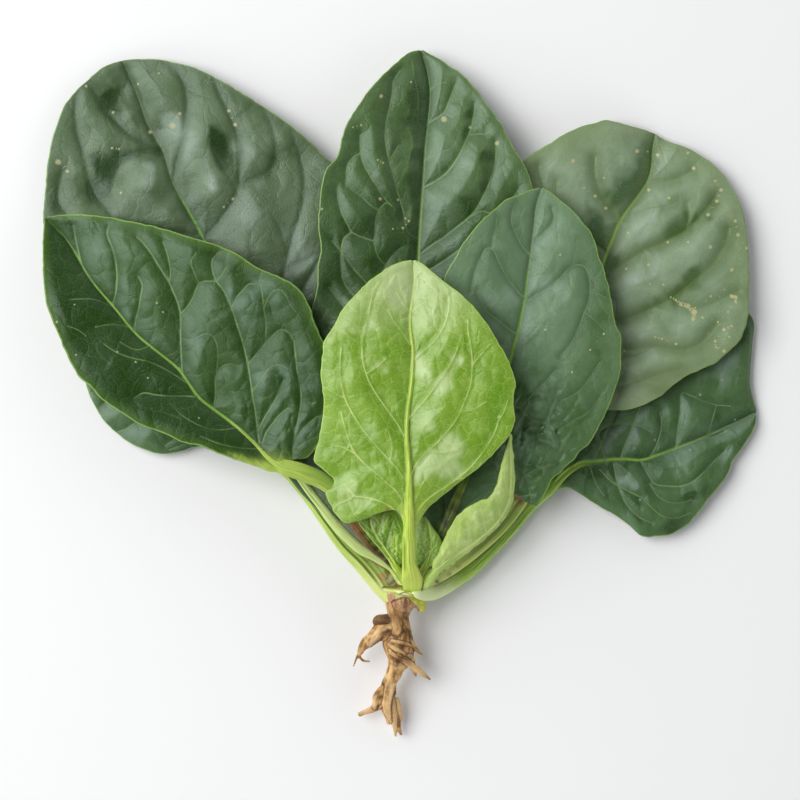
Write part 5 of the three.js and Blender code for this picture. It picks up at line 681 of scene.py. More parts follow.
ROOT = {
    "main": ([(-0.78, -66.84, 10.8), (-0.78, -69.69, 10.7), (-0.46, -72.87, 10.5), (-0.46, -76.06, 10.2),
        (-0.62, -78.93, 9.9), (-0.62, -81.51, 9.5), (-0.78, -84.1, 8.9), (-1.57, -86.72, 8.2), (-2.52, -89.33, 7.6),
        (-3.41, -91.94, 7), (-3.83, -94.56, 6.4), (-3.77, -97.83, 5.7), (-3.33, -100.78, 5),
        (-2.69, -103.41, 4.4)], [3.5, 3.4, 3.4, 3.9, 4.4, 4.2, 3.6, 2.5, 2, 2.3, 2.5, 2.6, 2.4, 1.5]),
    "tip_outer": ([(-5.7, -93.92, 6.4), (-5.86, -97.18, 5.8), (-5.55, -99.8, 5.2),
        (-4.92, -102.17, 4.2)], [0.9, 1.1, 1, 0.5]),
    "tip_left": ([(-4.59, -95.83, 6.4), (-4.28, -99.11, 5.6), (-3.96, -102.43, 4.6),
        (-3.65, -105.12, 3.6)], [1.3, 1.4, 1.2, 0.9]),
    "tip_middle": ([(-3, -94.5, 6.8), (-2.69, -99.03, 6.2), (-2.05, -103.01, 5), (-1.74, -106.37, 3.8),
        (-1.58, -109.23, 2.8)], [1.4, 1.6, 1.4, 1, 0.4]),
    "tip_right": ([(-1.42, -96.54, 5.8), (-0.78, -99.8, 5.2), (-0.14, -102.43, 4.6),
        (0.33, -104.08, 4.2)], [1, 1.1, 0.9, 0.4]),
    "tip_last": ([(-1.1, -101.13, 4.8), (-0.78, -104.4, 4.2), (-0.46, -106.71, 3.6),
        (0.33, -108.72, 3)], [1, 0.9, 0.8, 0.4]),
    "left_upper": ([(-2.67, -73.18, 10.6), (-5.83, -74.64, 10.2), (-8.84, -76.93, 9.4), (-10.91, -78.94, 8.4),
        (-12.35, -80.95, 7.4), (-13.48, -83.44, 6.4)], [3.4, 3.5, 2.5, 1.9, 1.3, 0.45]),
    "left_curl": ([(-2.98, -70.99, 12), (-5.03, -70.97, 12.2), (-6.92, -71.27, 11.7),
        (-8.1, -72.39, 10.6)], [1.9, 1.9, 1.7, 1]),
    "left_tip": ([(-13.48, -82.81, 6.4), (-14.28, -84.76, 6), (-14.93, -86.55, 5.6)], [0.5, 0.4, 0.3]),
    "left_twig": ([(-13.32, -83.13, 6.4), (-11.9, -84.6, 6), (-9.68, -84.94, 5.8)], [0.6, 0.45, 0.3]),
    "right_upper": ([(0.8, -69.96, 11.2), (1.43, -73.09, 11.4), (2.38, -76.27, 11.2), (3.8, -79.19, 10.4),
        (5.23, -81, 9.8), (6.97, -82.49, 9.2)], [1.7, 1.7, 1.6, 1.1, 0.7, 0.35]),
    "right_side": ([(2.38, -78.18, 11), (3.01, -81.43, 10.2), (3.33, -84.05, 9.4), (3.81, -86.36, 8.6),
        (4.93, -89.49, 7.6)], [1.3, 1.1, 1.1, 0.9, 0.35]),
    "strand_top": ([(-3.45, -65.47, 12), (-2.82, -67.94, 12.6), (-1.88, -70.78, 12.5), (-1.09, -73.97, 12.1),
        (-0.93, -76.86, 11.6), (-1.09, -80.16, 10.2)], [1.5, 1.5, 1.9, 2.4, 2.2, 1.2]),
    "strand_over": ([(-2.97, -77.59, 13.6), (-0.46, -77.86, 14), (1.74, -78.39, 13.4),
        (3.64, -79.36, 11.8)], [0.8, 0.9, 0.8, 0.5]),
    "strand_middle": ([(-3.6, -78.57, 13.2), (-1.4, -80.08, 13.8), (1.11, -81.61, 12.8), (3.32, -82.73, 11.2),
        (4.6, -84.32, 9.8)], [0.8, 0.9, 0.9, 0.8, 0.4]),
    "strand_cross": ([(-3.29, -80.82, 12.8), (-0.77, -82.55, 12.8), (1.75, -84.29, 11.4), (3.96, -86.03, 10),
        (6.5, -88.12, 8.4), (9.54, -90.72, 6.6)], [0.9, 1.1, 1.1, 1, 0.8, 0.35]),
    "left_stub": ([(-4.42, -91.57, 7.4), (-5.85, -94.16, 7), (-7.13, -96.78, 6.4),
        (-7.93, -99.43, 5.6)], [0.9, 1.5, 1.7, 1.2]),
    "left_lower": ([(-4.28, -97.84, 5.6), (-6.82, -99.32, 5.2), (-10.01, -100.71, 4.4),
        (-13.21, -102.19, 3.6)], [1.5, 1.1, 0.95, 0.8]),
}
# lighter (+) and darker (-) places on the root: plan x, y, radius, amount
ROOT_PATCHES = [(1.1, -75.8, 1.1, -1.2), (1.8, -71.6, 1, -0.9), (2.1, -69.7, 0.8, -0.6), (0.2, -80.6, 1.3, -1.3), (-0.8, -85.4, 1.1, -1.2), (-3, -76.7, 1, -0.8), (-1.4, -78.6, 1.1, -0.9), (-4, -75.4, 0.8, -0.6), (-6.5, -97.2, 1.3, -0.9), (-1.1, -94.6, 0.6, -0.6), (-1.1, -99.1, 0.6, -0.6), (-0.8, -105.5, 1, -0.7), (-6.9, -100.1, 0.8, -0.6), (-4, -90.2, 1.3, 0.7), (-3.3, -103, 10.2, 0.6), (-2.7, -106.8, 2.9, 0.4), (-3.3, -99.8, 2.6, 0.4), (-3.3, -93.4, 1.9, 0.4), (-11, -101.7, 1.9, 0.4), (-6.2, -78, 1, -0.5), (-12.9, -80.6, 1, -0.5), (-0.8, -68.4, 1, 0.3), (4.3, -87.6, 1, 0.4), (7.5, -89.8, 1, 0.3), (4, -78, 1, -0.3), (-5.3, -99.1, 0.8, 0.6), (-2.4, -97.8, 1.3, 0.4)]
CROWN_CENTRE = (1.43, -63.67, 11)
CROWN_HALF = [6.2, 4.6, 6.4]
COLLAR = [(-0.46, -67.63, 10.8), (0.49, -64.91, 11.2)]
SHEATH = [(2.37, -62.74, 14.4), (4.57, -64.35, 14), (6.15, -65.99, 13.2), (6.79, -68.33, 11.8)]
SHEATH_R = [(2.2, 1.2), (2.8, 1.1), (2.4, 0.9), (1.1, 0.6)]
RIDGE = [(-5.51, -61.18, 10.6), (-3.29, -61.57, 13.4), (-0.77, -61.85, 16), (1.73, -62.2, 17.8), (3.91, -62.66, 18.2), (5.17, -63.21, 17)]
RIDGE_R = [(0.6, 0.8), (0.8, 0.9), (0.8, 0.9), (0.7, 0.8), (0.7, 0.7), (0.5, 0.5)]

# ------------------------------------------------------------------ maths helpers
def smooth(a, b, x):
    t = np.clip((np.asarray(x, float) - a) / (b - a), 0, 1)
    return t * t * (3 - 2 * t)


def dense(points, per=24):
    """Centripetal Catmull-Rom through the points."""
    p = np.asarray(points, float)
    e = np.vstack([2 * p[0] - p[1], p, 2 * p[-1] - p[-2]])
    out = []
    f = np.arange(per) / per
    for i in range(len(p) - 1):
        p0, p1, p2, p3 = e[i : i + 4]
        a = max(np.sum((p0 - p1) ** 2) ** 0.25, 1e-4)
        b = max(np.sum((p1 - p2) ** 2) ** 0.25, 1e-4)
        c = max(np.sum((p2 - p3) ** 2) ** 0.25, 1e-4)
        t1 = ((p1 - p0) / a - (p2 - p0) / (a + b) + (p2 - p1) / b) * b
        t2 = ((p2 - p1) / b - (p3 - p1) / (b + c) + (p3 - p2) / c) * b
        c2 = -3 * p1 + 3 * p2 - 2 * t1 - t2
        c3 = 2 * p1 - 2 * p2 + t1 + t2
        out.append(p1 + t1 * f[:, None] + c2 * (f**2)[:, None] + c3 * (f**3)[:, None])
    out.append(p[-1:])
    return np.vstack(out)


def at(points, u):
    """Points on the curve at the arc-length fractions u."""
    d = dense(points)
    s = np.concatenate([[0], np.cumsum(np.linalg.norm(np.diff(d, axis=0), axis=1))])
    s /= s[-1]
    return np.stack([np.interp(u, s, d[:, k]) for k in range(d.shape[1])], 1)


def length(points):
    return np.linalg.norm(np.diff(dense(points), axis=0), axis=1).sum()


def along(values, t):
    v = np.asarray(values, float)
    k = np.linspace(0, 1, len(v))
    d = at(np.stack([k * 10, v], 1), np.linspace(0, 1, 200))
    return np.interp(t, d[:, 0] / 10, d[:, 1])


_lattice = np.random.default_rng(7).random((8, 128, 128))


def noise(x, y, size, seed=0):
    """Smooth noise from -1 to 1 with features of about that size."""
    g = _lattice[seed % 8]
    fx, fy = np.asarray(x, float) / size + 31.7 * seed, np.asarray(y, float) / size + 17.3 * seed
    ix, iy = np.floor(fx).astype(int), np.floor(fy).astype(int)
    tx, ty = fx - ix, fy - iy
    tx, ty = tx * tx * tx * (tx * (6 * tx - 15) + 10), ty * ty * ty * (ty * (6 * ty - 15) + 10)
    a, b = g[ix % 128, iy % 128], g[(ix + 1) % 128, iy % 128]
    c, d = g[ix % 128, (iy + 1) % 128], g[(ix + 1) % 128, (iy + 1) % 128]
    return 2 * ((a + (b - a) * tx) * (1 - ty) + (c + (d - c) * tx) * ty) - 1


def to_plan(p):
    """Where points in space fall on the drawings' plane, seen from EYE."""
    k = (EYE[2] - PLANE) / (EYE[2] - p[..., 2])
    return np.stack([EYE[0] + (p[..., 0] - EYE[0]) * k, EYE[1] + (p[..., 1] - EYE[1]) * k], -1)


def marks(name, xyz):
    """How brown each point is and how dark in painted shade, from the listed patches."""
    q = to_plan(xyz)
    x, y = q[:, 0] + 0.35 * noise(xyz[:, 0], xyz[:, 1], 1.6, 41), q[:, 1] + 0.35 * noise(xyz[:, 0], xyz[:, 1], 1.6, 42)
    brown, dark = np.zeros(len(q)), np.zeros(len(q))
    for px, py, pr, pb, pd in MARKS.get(name, ()):
        g = np.exp(-(((x - px) ** 2 + (y - py) ** 2) / pr**2) ** 1.3)
        brown, dark = np.maximum(brown, pb * g), np.maximum(dark, pd * g)
    return np.clip(brown, 0, 1), np.clip(dark, 0, 1)


def nearest_line(p, lines):
    """For each plan point: the vector to the nearest line, its length, the line's strength and the place along it."""
    a, b, w, c = [], [], [], []
    for i, (strength, pts) in enumerate(lines):
        d = dense(pts, 4)
        a.append(d[:-1]); b.append(d[1:]); w.append(np.full(len(d) - 1, strength))
        c.append(np.concatenate([[0], np.cumsum(np.linalg.norm(np.diff(d, axis=0), axis=1))])[:-1] + 37.3 * i)
    a, b, w, c = np.vstack(a).astype(np.float32), np.vstack(b).astype(np.float32), np.concatenate(w), np.concatenate(c)
    ab = b - a
    l2 = np.maximum((ab**2).sum(1), 1e-9)
    vec = np.zeros((len(p), 2), np.float32)
    dist = np.full(len(p), 1e9, np.float32)
    strength = np.zeros(len(p), np.float32)
    place = np.zeros(len(p))
    seg = np.sqrt(l2)
    for i in range(0, len(p), 6000):
        q = p[i : i + 6000].astype(np.float32)
        ap = q[:, None, :] - a[None]
        t = np.clip((ap * ab[None]).sum(2) / l2[None], 0, 1)
        r = a[None] + ab[None] * t[..., None] - q[:, None, :]
        d = np.sqrt((r**2).sum(2))
        k = d.argmin(1)
        n = np.arange(len(q))
        vec[i : i + 6000], dist[i : i + 6000], strength[i : i + 6000] = r[n, k], d[n, k], w[k]
        side = np.sign(ab[k, 0] * r[n, k, 1] - ab[k, 1] * r[n, k, 0])
        place[i : i + 6000] = c[k] + t[n, k] * seg[k] + 900 * side
    return vec, dist, strength, place


def net(p, size, seed, stretch=(1.0, 1.0)):
    """Net of polygonal meshes: vector to the nearest thread, its length, and a value per mesh."""
    rng = np.random.default_rng(seed)
    n = 96
    jitter = rng.random((n, n, 2)) * 0.86 + 0.07
    value = rng.random((n, n))
    q = p / size * np.asarray(stretch)
    q = q + 0.30 * np.stack([noise(q[:, 0], q[:, 1], 1.1, seed), noise(q[:, 1], q[:, 0], 1.1, seed + 3)], 1)
    q = q + 0.10 * np.stack([noise(q[:, 0], q[:, 1], 0.35, seed + 1), noise(q[:, 1], q[:, 0], 0.35, seed + 2)], 1)
    c = np.floor(q).astype(int)
    seeds, dists, vals = [], [], []
    for dx in range(-2, 3):
        for dy in range(-2, 3):
            i, j = c[:, 0] + dx, c[:, 1] + dy
            s = np.stack([i, j], 1) + jitter[i % n, j % n]
            seeds.append(s); dists.append(((s - q) ** 2).sum(1)); vals.append(value[i % n, j % n])
    seeds, dists, vals = np.stack(seeds, 1), np.stack(dists, 1), np.stack(vals, 1)
    k = dists.argmin(1)
    r = np.arange(len(p))
    own, own_d = seeds[r, k], dists[r, k]
    gap = np.sqrt(((seeds - own[:, None]) ** 2).sum(2))
    edge = (dists - own_d[:, None]) / (2 * np.maximum(gap, 1e-6))
    edge[r, k] = 1e9
    m = edge.argmin(1)
    e = edge[r, m]
    direction = (seeds[r, m] - own) / np.maximum(gap[r, m], 1e-6)[:, None]
    return direction * e[:, None] * size, e * size, vals[r, k]


# ------------------------------------------------------------------ meshes
def strip(a, sa, b, sb):
    """Triangles between two rows of vertices with different counts, both ordered by s."""
    i = j = 0
    out = []
    while i < len(a) - 1 or j < len(b) - 1:
        if j == len(b) - 1 or (i < len(a) - 1 and sa[i + 1] - 1e-9 <= sb[j + 1]):
            out.append((a[i], a[i + 1], b[j])); i += 1
        else:
            out.append((a[i], b[j + 1], b[j])); j += 1
    return out


def build_object(name, verts, quads, tris, attributes, material, nodes, smooth_shade=True):
    mesh = bpy.data.meshes.new(name)
    quads = np.asarray(quads, np.int32).reshape(-1, 4)
    tris = np.asarray(tris, np.int32).reshape(-1, 3)
    nl = quads.size + tris.size
    mesh.vertices.add(len(verts))
    mesh.vertices.foreach_set("co", (np.asarray(verts, np.float32) * MM).ravel())
    mesh.loops.add(nl)
    mesh.loops.foreach_set("vertex_index", np.concatenate([quads.ravel(), tris.ravel()]))
    mesh.polygons.add(len(quads) + len(tris))
    start = np.concatenate([np.arange(len(quads)) * 4, quads.size + np.arange(len(tris)) * 3])
    mesh.polygons.foreach_set("loop_start", start.astype(np.int32))
    mesh.update(calc_edges=True)
    mesh.validate()
    for key, value in attributes.items():
        layer = mesh.attributes.new(key, "FLOAT_VECTOR", "POINT")
        layer.data.foreach_set("vector", np.asarray(value, np.float32).ravel())
    if smooth_shade:
        mesh.polygons.foreach_set("use_smooth", np.ones(len(mesh.polygons), bool))
    mesh.materials.append(material)
    o = bpy.data.objects.new(name, mesh)
    bpy.context.scene.collection.objects.link(o)
    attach(o, "root")
    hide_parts(*nodes)
    return o


def build_leaf(name, look):
    leaf = LEAVES[name]
    blade_len = length(leaf["mid"])
    nb = look["nb"]                      # columns underneath, half of it on each side
    nt = nb * 3                          # columns on top
    rows = look["rows"]
    # ---- blade rows
    t = np.linspace(0, 1, rows + 1)
    M = at(leaf["mid"], t)
    L = at(leaf["left"], t)
    R = at(leaf["right"], t)
    stalk_pts = np.asarray(leaf["stalk"], float)
    r = np.asarray(leaf["r"], float)
    # small irregularity of the margin
    for edge, seed in ((L, 1), (R, 2)):
        out = edge[:, :2] - M[:, :2]
        n = np.maximum(np.linalg.norm(out, axis=1), 1e-6)[:, None]
        s = np.concatenate([[0], np.cumsum(np.linalg.norm(np.diff(edge, axis=0), axis=1))])
        fade = smooth(0.03, 0.12, t) * smooth(0.0, 0.05, 1 - t)
        j = look["tooth"] * (0.6 * noise(s, s * 0 + seed, 3.4, seed) + 0.5 * noise(s, s * 0 + seed * 3, 1.5, seed + 2))
        edge[:, :2] += out / n * (j * fade)[:, None]
        edge[:, 2] += fade * look["wave"] * (noise(s, s * 0 + 5 * seed, 13.0, seed + 4) + 0.4 * noise(s, s * 0 + 9, 6.0, seed))
    # the blade's first rows take over the stalk's sides
    tan = M[1] - stalk_pts[-2]
    side0 = np.array([tan[1], -tan[0], 0.0])
    side0 /= np.linalg.norm(side0)
    w0, h0 = r[-1]
    b = smooth(0.0, look["join"], t)[:, None]
    L = (M - side0 * w0) * (1 - b) + L * b
    R = (M + side0 * w0) * (1 - b) + R * b
    k = np.linspace(-1, 1, nt + 1)
    bend = smooth(0.0, look["join"] * 1.5, t)[:, None]
    S = (1 - bend) * np.sin(k * np.pi / 2)[None] + bend * k[None]       # rows x columns
    # keep more columns near the midrib
    S = np.sign(S) * (np.abs(S) ** 1.08)
    Q = np.abs(S)
    E = np.where(S[..., None] < 0, L[:, None, :], R[:, None, :])
    P = M[:, None, :] + (E - M[:, None, :]) * Q[..., None]
    puff = np.where(S < 0, look["puff"][0] * along(leaf["puffL"], t)[:, None], look["puff"][1] * along(leaf["puffR"], t)[:, None])
    P[..., 2] += puff * 4 * Q * (1 - Q) * smooth(0, 0.06, t)[:, None]
    d_mid = np.linalg.norm(P - M[:, None, :], axis=2)
    d_edge = np.linalg.norm(P - E, axis=2)
    # distance to the rim also counts near the tip
    tip = np.linalg.norm(P - M[-1][None, None, :], axis=2)
    flat = P.reshape(-1, 3)
    plan = to_plan(flat)
    # ---- veins
    lines = [(s, np.asarray(v, float)) for s, v in VEINS[name]]
    mid_plan = to_plan(at(leaf["mid"], np.linspace(0, 0.985, 40)))
    for sd, t0 in MORE_VEINS[name]:
        q = np.linspace(0, 0.88, 9)
        tt = np.clip(t0 + look["rake"] * q**1.25, 0, 0.985)
        Mq, Eq = at(leaf["mid"], tt), at(leaf["left" if sd < 0 else "right"], tt)
        lines.append((0.85, to_plan(Mq + (Eq - Mq) * q[:, None])))
    mid_line = [(1.2, mid_plan)]
    vec, dist, strength, place = nearest_line(plan, lines + mid_line)
    strong = [ln for ln in lines if ln[0] >= 0.65]
    _, d_strong, s_strong, place_s = nearest_line(plan, strong + mid_line)
    nvec, ndist, cell = net(plan, look["net"], look["seed"])
    # ---- relief
    fade_edge = 0.35 + 0.65 * smooth(0.0, 5.0, d_edge)
    fade_base = smooth(0.0, 0.10, t)[:, None] * np.ones_like(S)
    fade_tip = 0.4 + 0.6 * smooth(0.0, 8.0, tip)
    fade = (fade_edge * fade_base * fade_tip).ravel()
    x, y = plan[:, 0], plan[:, 1]
    depth = look["panel"]
    region = np.ones(len(flat))
    for px, py, pr, ph in look.get("rough", ()):          # places blistered more or less strongly
        region += ph * np.exp(-((x - px) ** 2 + (y - py) ** 2) / pr**2)
    pan = look["trench"] * (1 - np.exp(-d_strong / 1.6)) + 1.05 * (1 - np.exp(-d_strong / look["reach"]))
    relief = depth * (pan * (0.6 + 0.4 * s_strong) - 0.42)
    # wrinkles square to the veins
    cross = noise(place_s / 2.4, d_strong * 0.10, 1.0, look["seed"]) + 0.5 * noise(place_s / 1.25, d_strong * 0.16, 1.0, look["seed"] + 1)
    relief += look["cross"] * region * cross * (1 - np.exp(-d_strong / 0.9)) * np.exp(-((d_strong / 7.5) ** 2))
    small = 1 - np.exp(-((dist / 1.5) ** 1.4))
    relief += look["minor"] * (small - 1) * np.clip(strength, 0, 1)
    blister = 1 - np.exp(-((ndist / (0.20 * look["net"])) ** 1.5))
    relief += look["blister"] * region * (blister - 0.5) * (0.2 + 1.3 * cell**1.5) * (1 - np.exp(-dist / 1.2))
    relief += look["swell"] * noise(x, y, 19.0, look["seed"]) + 0.45 * look["swell"] * noise(x, y, 9.0, look["seed"] + 1)
    relief += look["grain"] * noise(x, y, 2.1, look["seed"] + 2) + 0.6 * look["grain"] * noise(x, y, 1.15, look["seed"] + 3)
    for px, py, pr, ph in SWELLS.get(name, ()):
        relief += ph * np.exp(-((x - px) ** 2 + (y - py) ** 2) / pr**2)
    relief = relief * fade
    # ---- rib
    tk = np.clip((t - look["rib_keep"]) / (1 - look["rib_keep"]), 0, 1)
    wr = look["rib_end"] + (w0 - look["rib_end"]) * (1 - tk) ** look["rib_fall"]
    wr = np.minimum(wr, w0)
    rib = np.sqrt(np.clip(1 - (d_mid / wr[:, None]) ** 2, 0, 1))
    up = (h0 * (1 - smooth(0.0, look["rib_top"], tk)) + look["rib_up"] * smooth(0.0, look["rib_top"], tk) * (1 - smooth(0.6, 1.0, t)))[:, None]
    down = (h0 * (1 - t) ** 1.5 + look["rib_down"] * smooth(0.0, 0.3, t) * (1 - smooth(0.75, 1.0, t)))[:, None]
    raise_ = look["vein_up"] * np.exp(-((dist / 0.45) ** 2)) * np.clip(strength, 0, 1)
    zt = flat[:, 2] + relief + (rib * up).ravel() + raise_ * fade
    thick = 0.22 + 0.26 * smooth(0.0, 1.6, d_edge).ravel()
    ridge = look["vein_down"] * np.exp(-((dist / 0.55) ** 2)) * np.clip(strength, 0, 1) * fade
    zb = flat[:, 2] + relief - thick - (rib * down).ravel() - ridge
    # keep the skin off the floor
    zt, zb = np.maximum(zt, 0.42), np.maximum(zb, 0.06)
    zt = np.maximum(zt, zb + 0.16)
    top = flat.copy(); top[:, 2] = zt
    # how far each spot leans toward the key light, for painted sheen on slopes that face it and painted shade on slopes
    # that face away
    grid = top.reshape(rows + 1, nt + 1, 3)
    nn = np.cross(np.gradient(grid, axis=0), np.gradient(grid, axis=1))
    nn *= np.sign(nn[..., 2:]) / np.maximum(np.linalg.norm(nn, axis=2), 1e-9)[..., None]
    painted_light_lean = -0.95 * nn[..., 0] + 0.30 * nn[..., 1]
    for _ in range(4):
        pad = np.pad(painted_light_lean, 1, mode="edge")
        painted_light_lean = (pad[:-2, 1:-1] + pad[2:, 1:-1] + pad[1:-1, :-2] + pad[1:-1, 2:] + 2 * painted_light_lean) / 6
    bottom = flat.copy(); bottom[:, 2] = zb
    shape = (rows + 1, nt + 1)
    keep = np.arange(0, nt + 1, 3)
    bot_idx = (np.arange(rows + 1)[:, None] * (nt + 1) + keep[None]).ravel()
    nbp = len(keep)
    # ---- attributes
    rib_mask = (smooth(0.0, 0.45, rib) * smooth(0.0, 0.5, up / 0.9)).ravel()
    t_all = np.repeat(t, nt + 1)
    sx = (S * np.linalg.norm(E - M[:, None, :], axis=2)).ravel()
    ty = (t * blade_len)[:, None] * np.ones_like(S)
    base_green = (1 - smooth(0.0, look["pale_base"], t_all)) * np.exp(-((d_mid.ravel() / (w0 * 2.2)) ** 2))
    spots = np.zeros((len(flat), 3))
    spots[:, 2] = 0.0
    near = np.full(len(flat), 1e9)
    for px, py, pr in SPECKS.get(name, ()):
        d = np.hypot(x - px, y - py) / pr
        m = d < near
        near[m] = d[m]
        spots[m] = np.stack([(px - x[m]) / pr, (py - y[m]) / pr, d[m] * 0 + pr], 1)
    # painted sheen (+) and painted shade (-), from the patches and from the slope toward the light
    tone = np.zeros(len(flat))
    tx, ty_ = x + 2.2 * noise(x, y, 6.0, 31), y + 2.2 * noise(x, y, 6.0, 32)
    for px, py, pr, ph in PAINTED_SHEEN_AND_SHADE.get(name, ()):
        tone += ph * np.exp(-((tx - px) ** 2 + (ty_ - py) ** 2) / pr**2)
    # painted sheen and painted shade from the slope toward the light
    tone += look["painted_light_lean"] * np.tanh(5.0 * painted_light_lean.ravel())
    pale = np.zeros(len(flat))
    for px, py, pr, ph in PALE.get(name, ()):
        pale = np.maximum(pale, ph * np.exp(-(((tx - px) ** 2 + (ty_ - py) ** 2) / pr**2) ** 1.3))
    A = {
        "tone": np.stack([tone, *marks(name, flat)], 1),
        "vein": np.stack([vec[:, 0], vec[:, 1], dist], 1),
        "net": np.stack([nvec[:, 0], nvec[:, 1], ndist], 1),
        "luv": np.stack([ty.ravel(), sx, d_edge.ravel()], 1),
        "mska": np.stack([np.maximum(np.maximum(rib_mask, base_green), pale), np.zeros(len(flat)), relief / max(depth, 0.3)], 1),
        "mskb": np.stack([strength, cell, t_all], 1),
        "speck": spots,
    }
    verts = [top, bottom[bot_idx]]
    att = {n: [v, v[bot_idx].copy()] for n, v in A.items()}
    att["mska"][1][:, 1] = 1.0
    nv = len(top) + len(bot_idx)
    off_b = len(top)
    ii, jj = np.meshgrid(np.arange(rows), np.arange(nt), indexing="ij")
    a = (ii * (nt + 1) + jj).ravel()
    quads = [np.stack([a, a + 1, a + nt + 2, a + nt + 1], 1)]
    ii, jj = np.meshgrid(np.arange(rows), np.arange(nbp - 1), indexing="ij")
    a = off_b + (ii * nbp + jj).ravel()
    quads.append(np.stack([a, a + nbp, a + nbp + 1, a + 1], 1))
    i = np.arange(rows)
    tl, bl = i * (nt + 1), off_b + i * nbp
    quads.append(np.stack([tl, tl + nt + 1, bl + nbp, bl], 1))
    tr, br = tl + nt, bl + nbp - 1
    quads.append(np.stack([tr, br, br + nbp, tr + nt + 1], 1))
    tris = []
    last_t = rows * (nt + 1) + np.arange(nt + 1)
    last_b = off_b + rows * nbp + np.arange(nbp)
    tris += [(q[0], q[1], q[2]) for q in strip(list(last_t), list(S[-1]), list(last_b), list(S[-1][keep]))]
    # ---- stalk rows, from inside the crown to the blade
    sheath = np.asarray(leaf["sheath"], float)
    path = np.vstack([sheath[:, :3], stalk_pts])
    radii = np.vstack([sheath[:, 3:], r])
    step = 1.0 if not look.get("tiny") else 0.6
    n_s = max(8, int(length(path) / step))
    u = np.linspace(0, 1, n_s + 1)[:-1]
    C = at(path, u)
    dd = dense(path)
    ss = np.concatenate([[0], np.cumsum(np.linalg.norm(np.diff(dd, axis=0), axis=1))])
    knots = ss[::24] / ss[-1]
    d0 = knots[len(sheath)]
    ur = np.clip((u - d0) / (1 - d0), 0, 1)
    W, H = at(np.stack([knots * 10, radii[:, 0], radii[:, 1]], 1), np.linspace(0, 1, 300)).T[1:]
    kk = at(np.stack([knots * 10, radii[:, 0], radii[:, 1]], 1), np.linspace(0, 1, 300))[:, 0] / 10
    W, H = np.interp(u, kk, W), np.interp(u, kk, H)
    Cn = np.vstack([C, M[:1]])
    T = np.gradient(Cn, axis=0)[:-1]
    side = np.stack([T[:, 1], -T[:, 0], np.zeros(len(T))], 1)
    side /= np.maximum(np.linalg.norm(side, axis=1), 1e-9)[:, None]
    nts, nbs = look["stalk_cols"], look["stalk_cols"] // 2 + 4
    st = np.sin(np.linspace(-1, 1, nts + 1) * np.pi / 2)
    sb = np.sin(np.linspace(-1, 1, nbs + 1) * np.pi / 2)
    g = look["groove"] * smooth(0.0, 0.25, ur) * (1 - smooth(0.82, 1.0, ur))
    arc = ur * length(stalk_pts)

    def stalk_row(sv, top_side):
        circ = np.sqrt(np.clip(1 - sv**2, 0, 1))
        p = C[:, None, :] + side[:, None, :] * (W[:, None] * sv[None])[..., None]
        if top_side:
            at_s, wide_s = look.get("groove_at", (0.0, 0.45))
            prof = circ[None] - g[:, None] * np.exp(-(((sv[None] - at_s) / wide_s) ** 2))
            stria = (0.045 * np.cos(sv[None] * 17 + 0.05 * arc[:, None]) + 0.03 * np.cos(sv[None] * 31 - 0.08 * arc[:, None])) * circ[None] * smooth(-0.3, 0.3, ur)[:, None]
            p[..., 2] += H[:, None] * (prof + stria * look["stria"]) + 0.11 * circ[None]
        else:
            stria = 0.05 * np.cos(sv[None] * 17) * smooth(0.05, 0.5, ur)[:, None]
            p[..., 2] -= H[:, None] * circ[None] * (1 + stria * look["stria"]) + 0.11 * circ[None]
            p[..., 2] = np.maximum(p[..., 2], 0.08)
        return p

    Pt, Pb = stalk_row(st, True), stalk_row(sb, False)
    edge_gap = 0.10
    Pt[..., 2] += edge_gap * 0.5
    Pb[..., 2] -= edge_gap * 0.5
    ot = nv
    ob = ot + Pt.shape[0] * (nts + 1)
    verts += [Pt.reshape(-1, 3), Pb.reshape(-1, 3)]
    for pts, sv, under in ((Pt, st, 0.0), (Pb, sb, 0.35)):
        m = pts.shape[0] * pts.shape[1]
        a_s = np.repeat(arc, pts.shape[1])
        s_s = np.tile(sv, pts.shape[0])
        att["tone"].append(np.stack([np.zeros(m), *marks(name, pts.reshape(-1, 3))], 1))
        att["vein"].append(np.tile([9.0, 9.0, 9.0], (m, 1)))
        att["net"].append(np.tile([9.0, 9.0, 9.0], (m, 1)))
        att["luv"].append(np.stack([a_s - arc[-1], s_s * 2.5, np.full(m, 9.0)], 1))
        att["mska"].append(np.stack([np.ones(m), np.full(m, under), np.full(m, 0.5)], 1))
        att["mskb"].append(np.stack([np.zeros(m), s_s * 0.5 + 0.5, np.repeat(ur, pts.shape[1]) - 1], 1))
        att["speck"].append(np.tile([9.0, 9.0, 0.0], (m, 1)))
    ns = Pt.shape[0]
    for base, cnt, flip in ((ot, nts, False), (ob, nbs, True)):
        ii, jj = np.meshgrid(np.arange(ns - 1), np.arange(cnt), indexing="ij")
        a = base + (ii * (cnt + 1) + jj).ravel()
        q = np.stack([a, a + 1, a + cnt + 2, a + cnt + 1], 1)
        quads.append(q[:, ::-1] if flip else q)
    i = np.arange(ns - 1)
    tl, bl = ot + i * (nts + 1), ob + i * (nbs + 1)
    quads.append(np.stack([tl, tl + nts + 1, bl + nbs + 1, bl], 1))
    tr, br = tl + nts, bl + nbs
    quads.append(np.stack([tr, br, br + nbs + 1, tr + nts + 1], 1))
    # join stalk to blade
    lt = list(ot + (ns - 1) * (nts + 1) + np.arange(nts + 1))
    lb = list(ob + (ns - 1) * (nbs + 1) + np.arange(nbs + 1))
    f_t, f_b = list(np.arange(nt + 1)), list(off_b + np.arange(nbp))
    tris += strip(lt, list(st), f_t, list(S[0]))
    tris += [(q[0], q[2], q[1]) for q in strip(lb, list(sb), f_b, list(S[0][keep]))]
    quads.append(np.array([[lt[0], f_t[0], f_b[0], lb[0]], [lt[-1], lb[-1], f_b[-1], f_t[-1]]]))
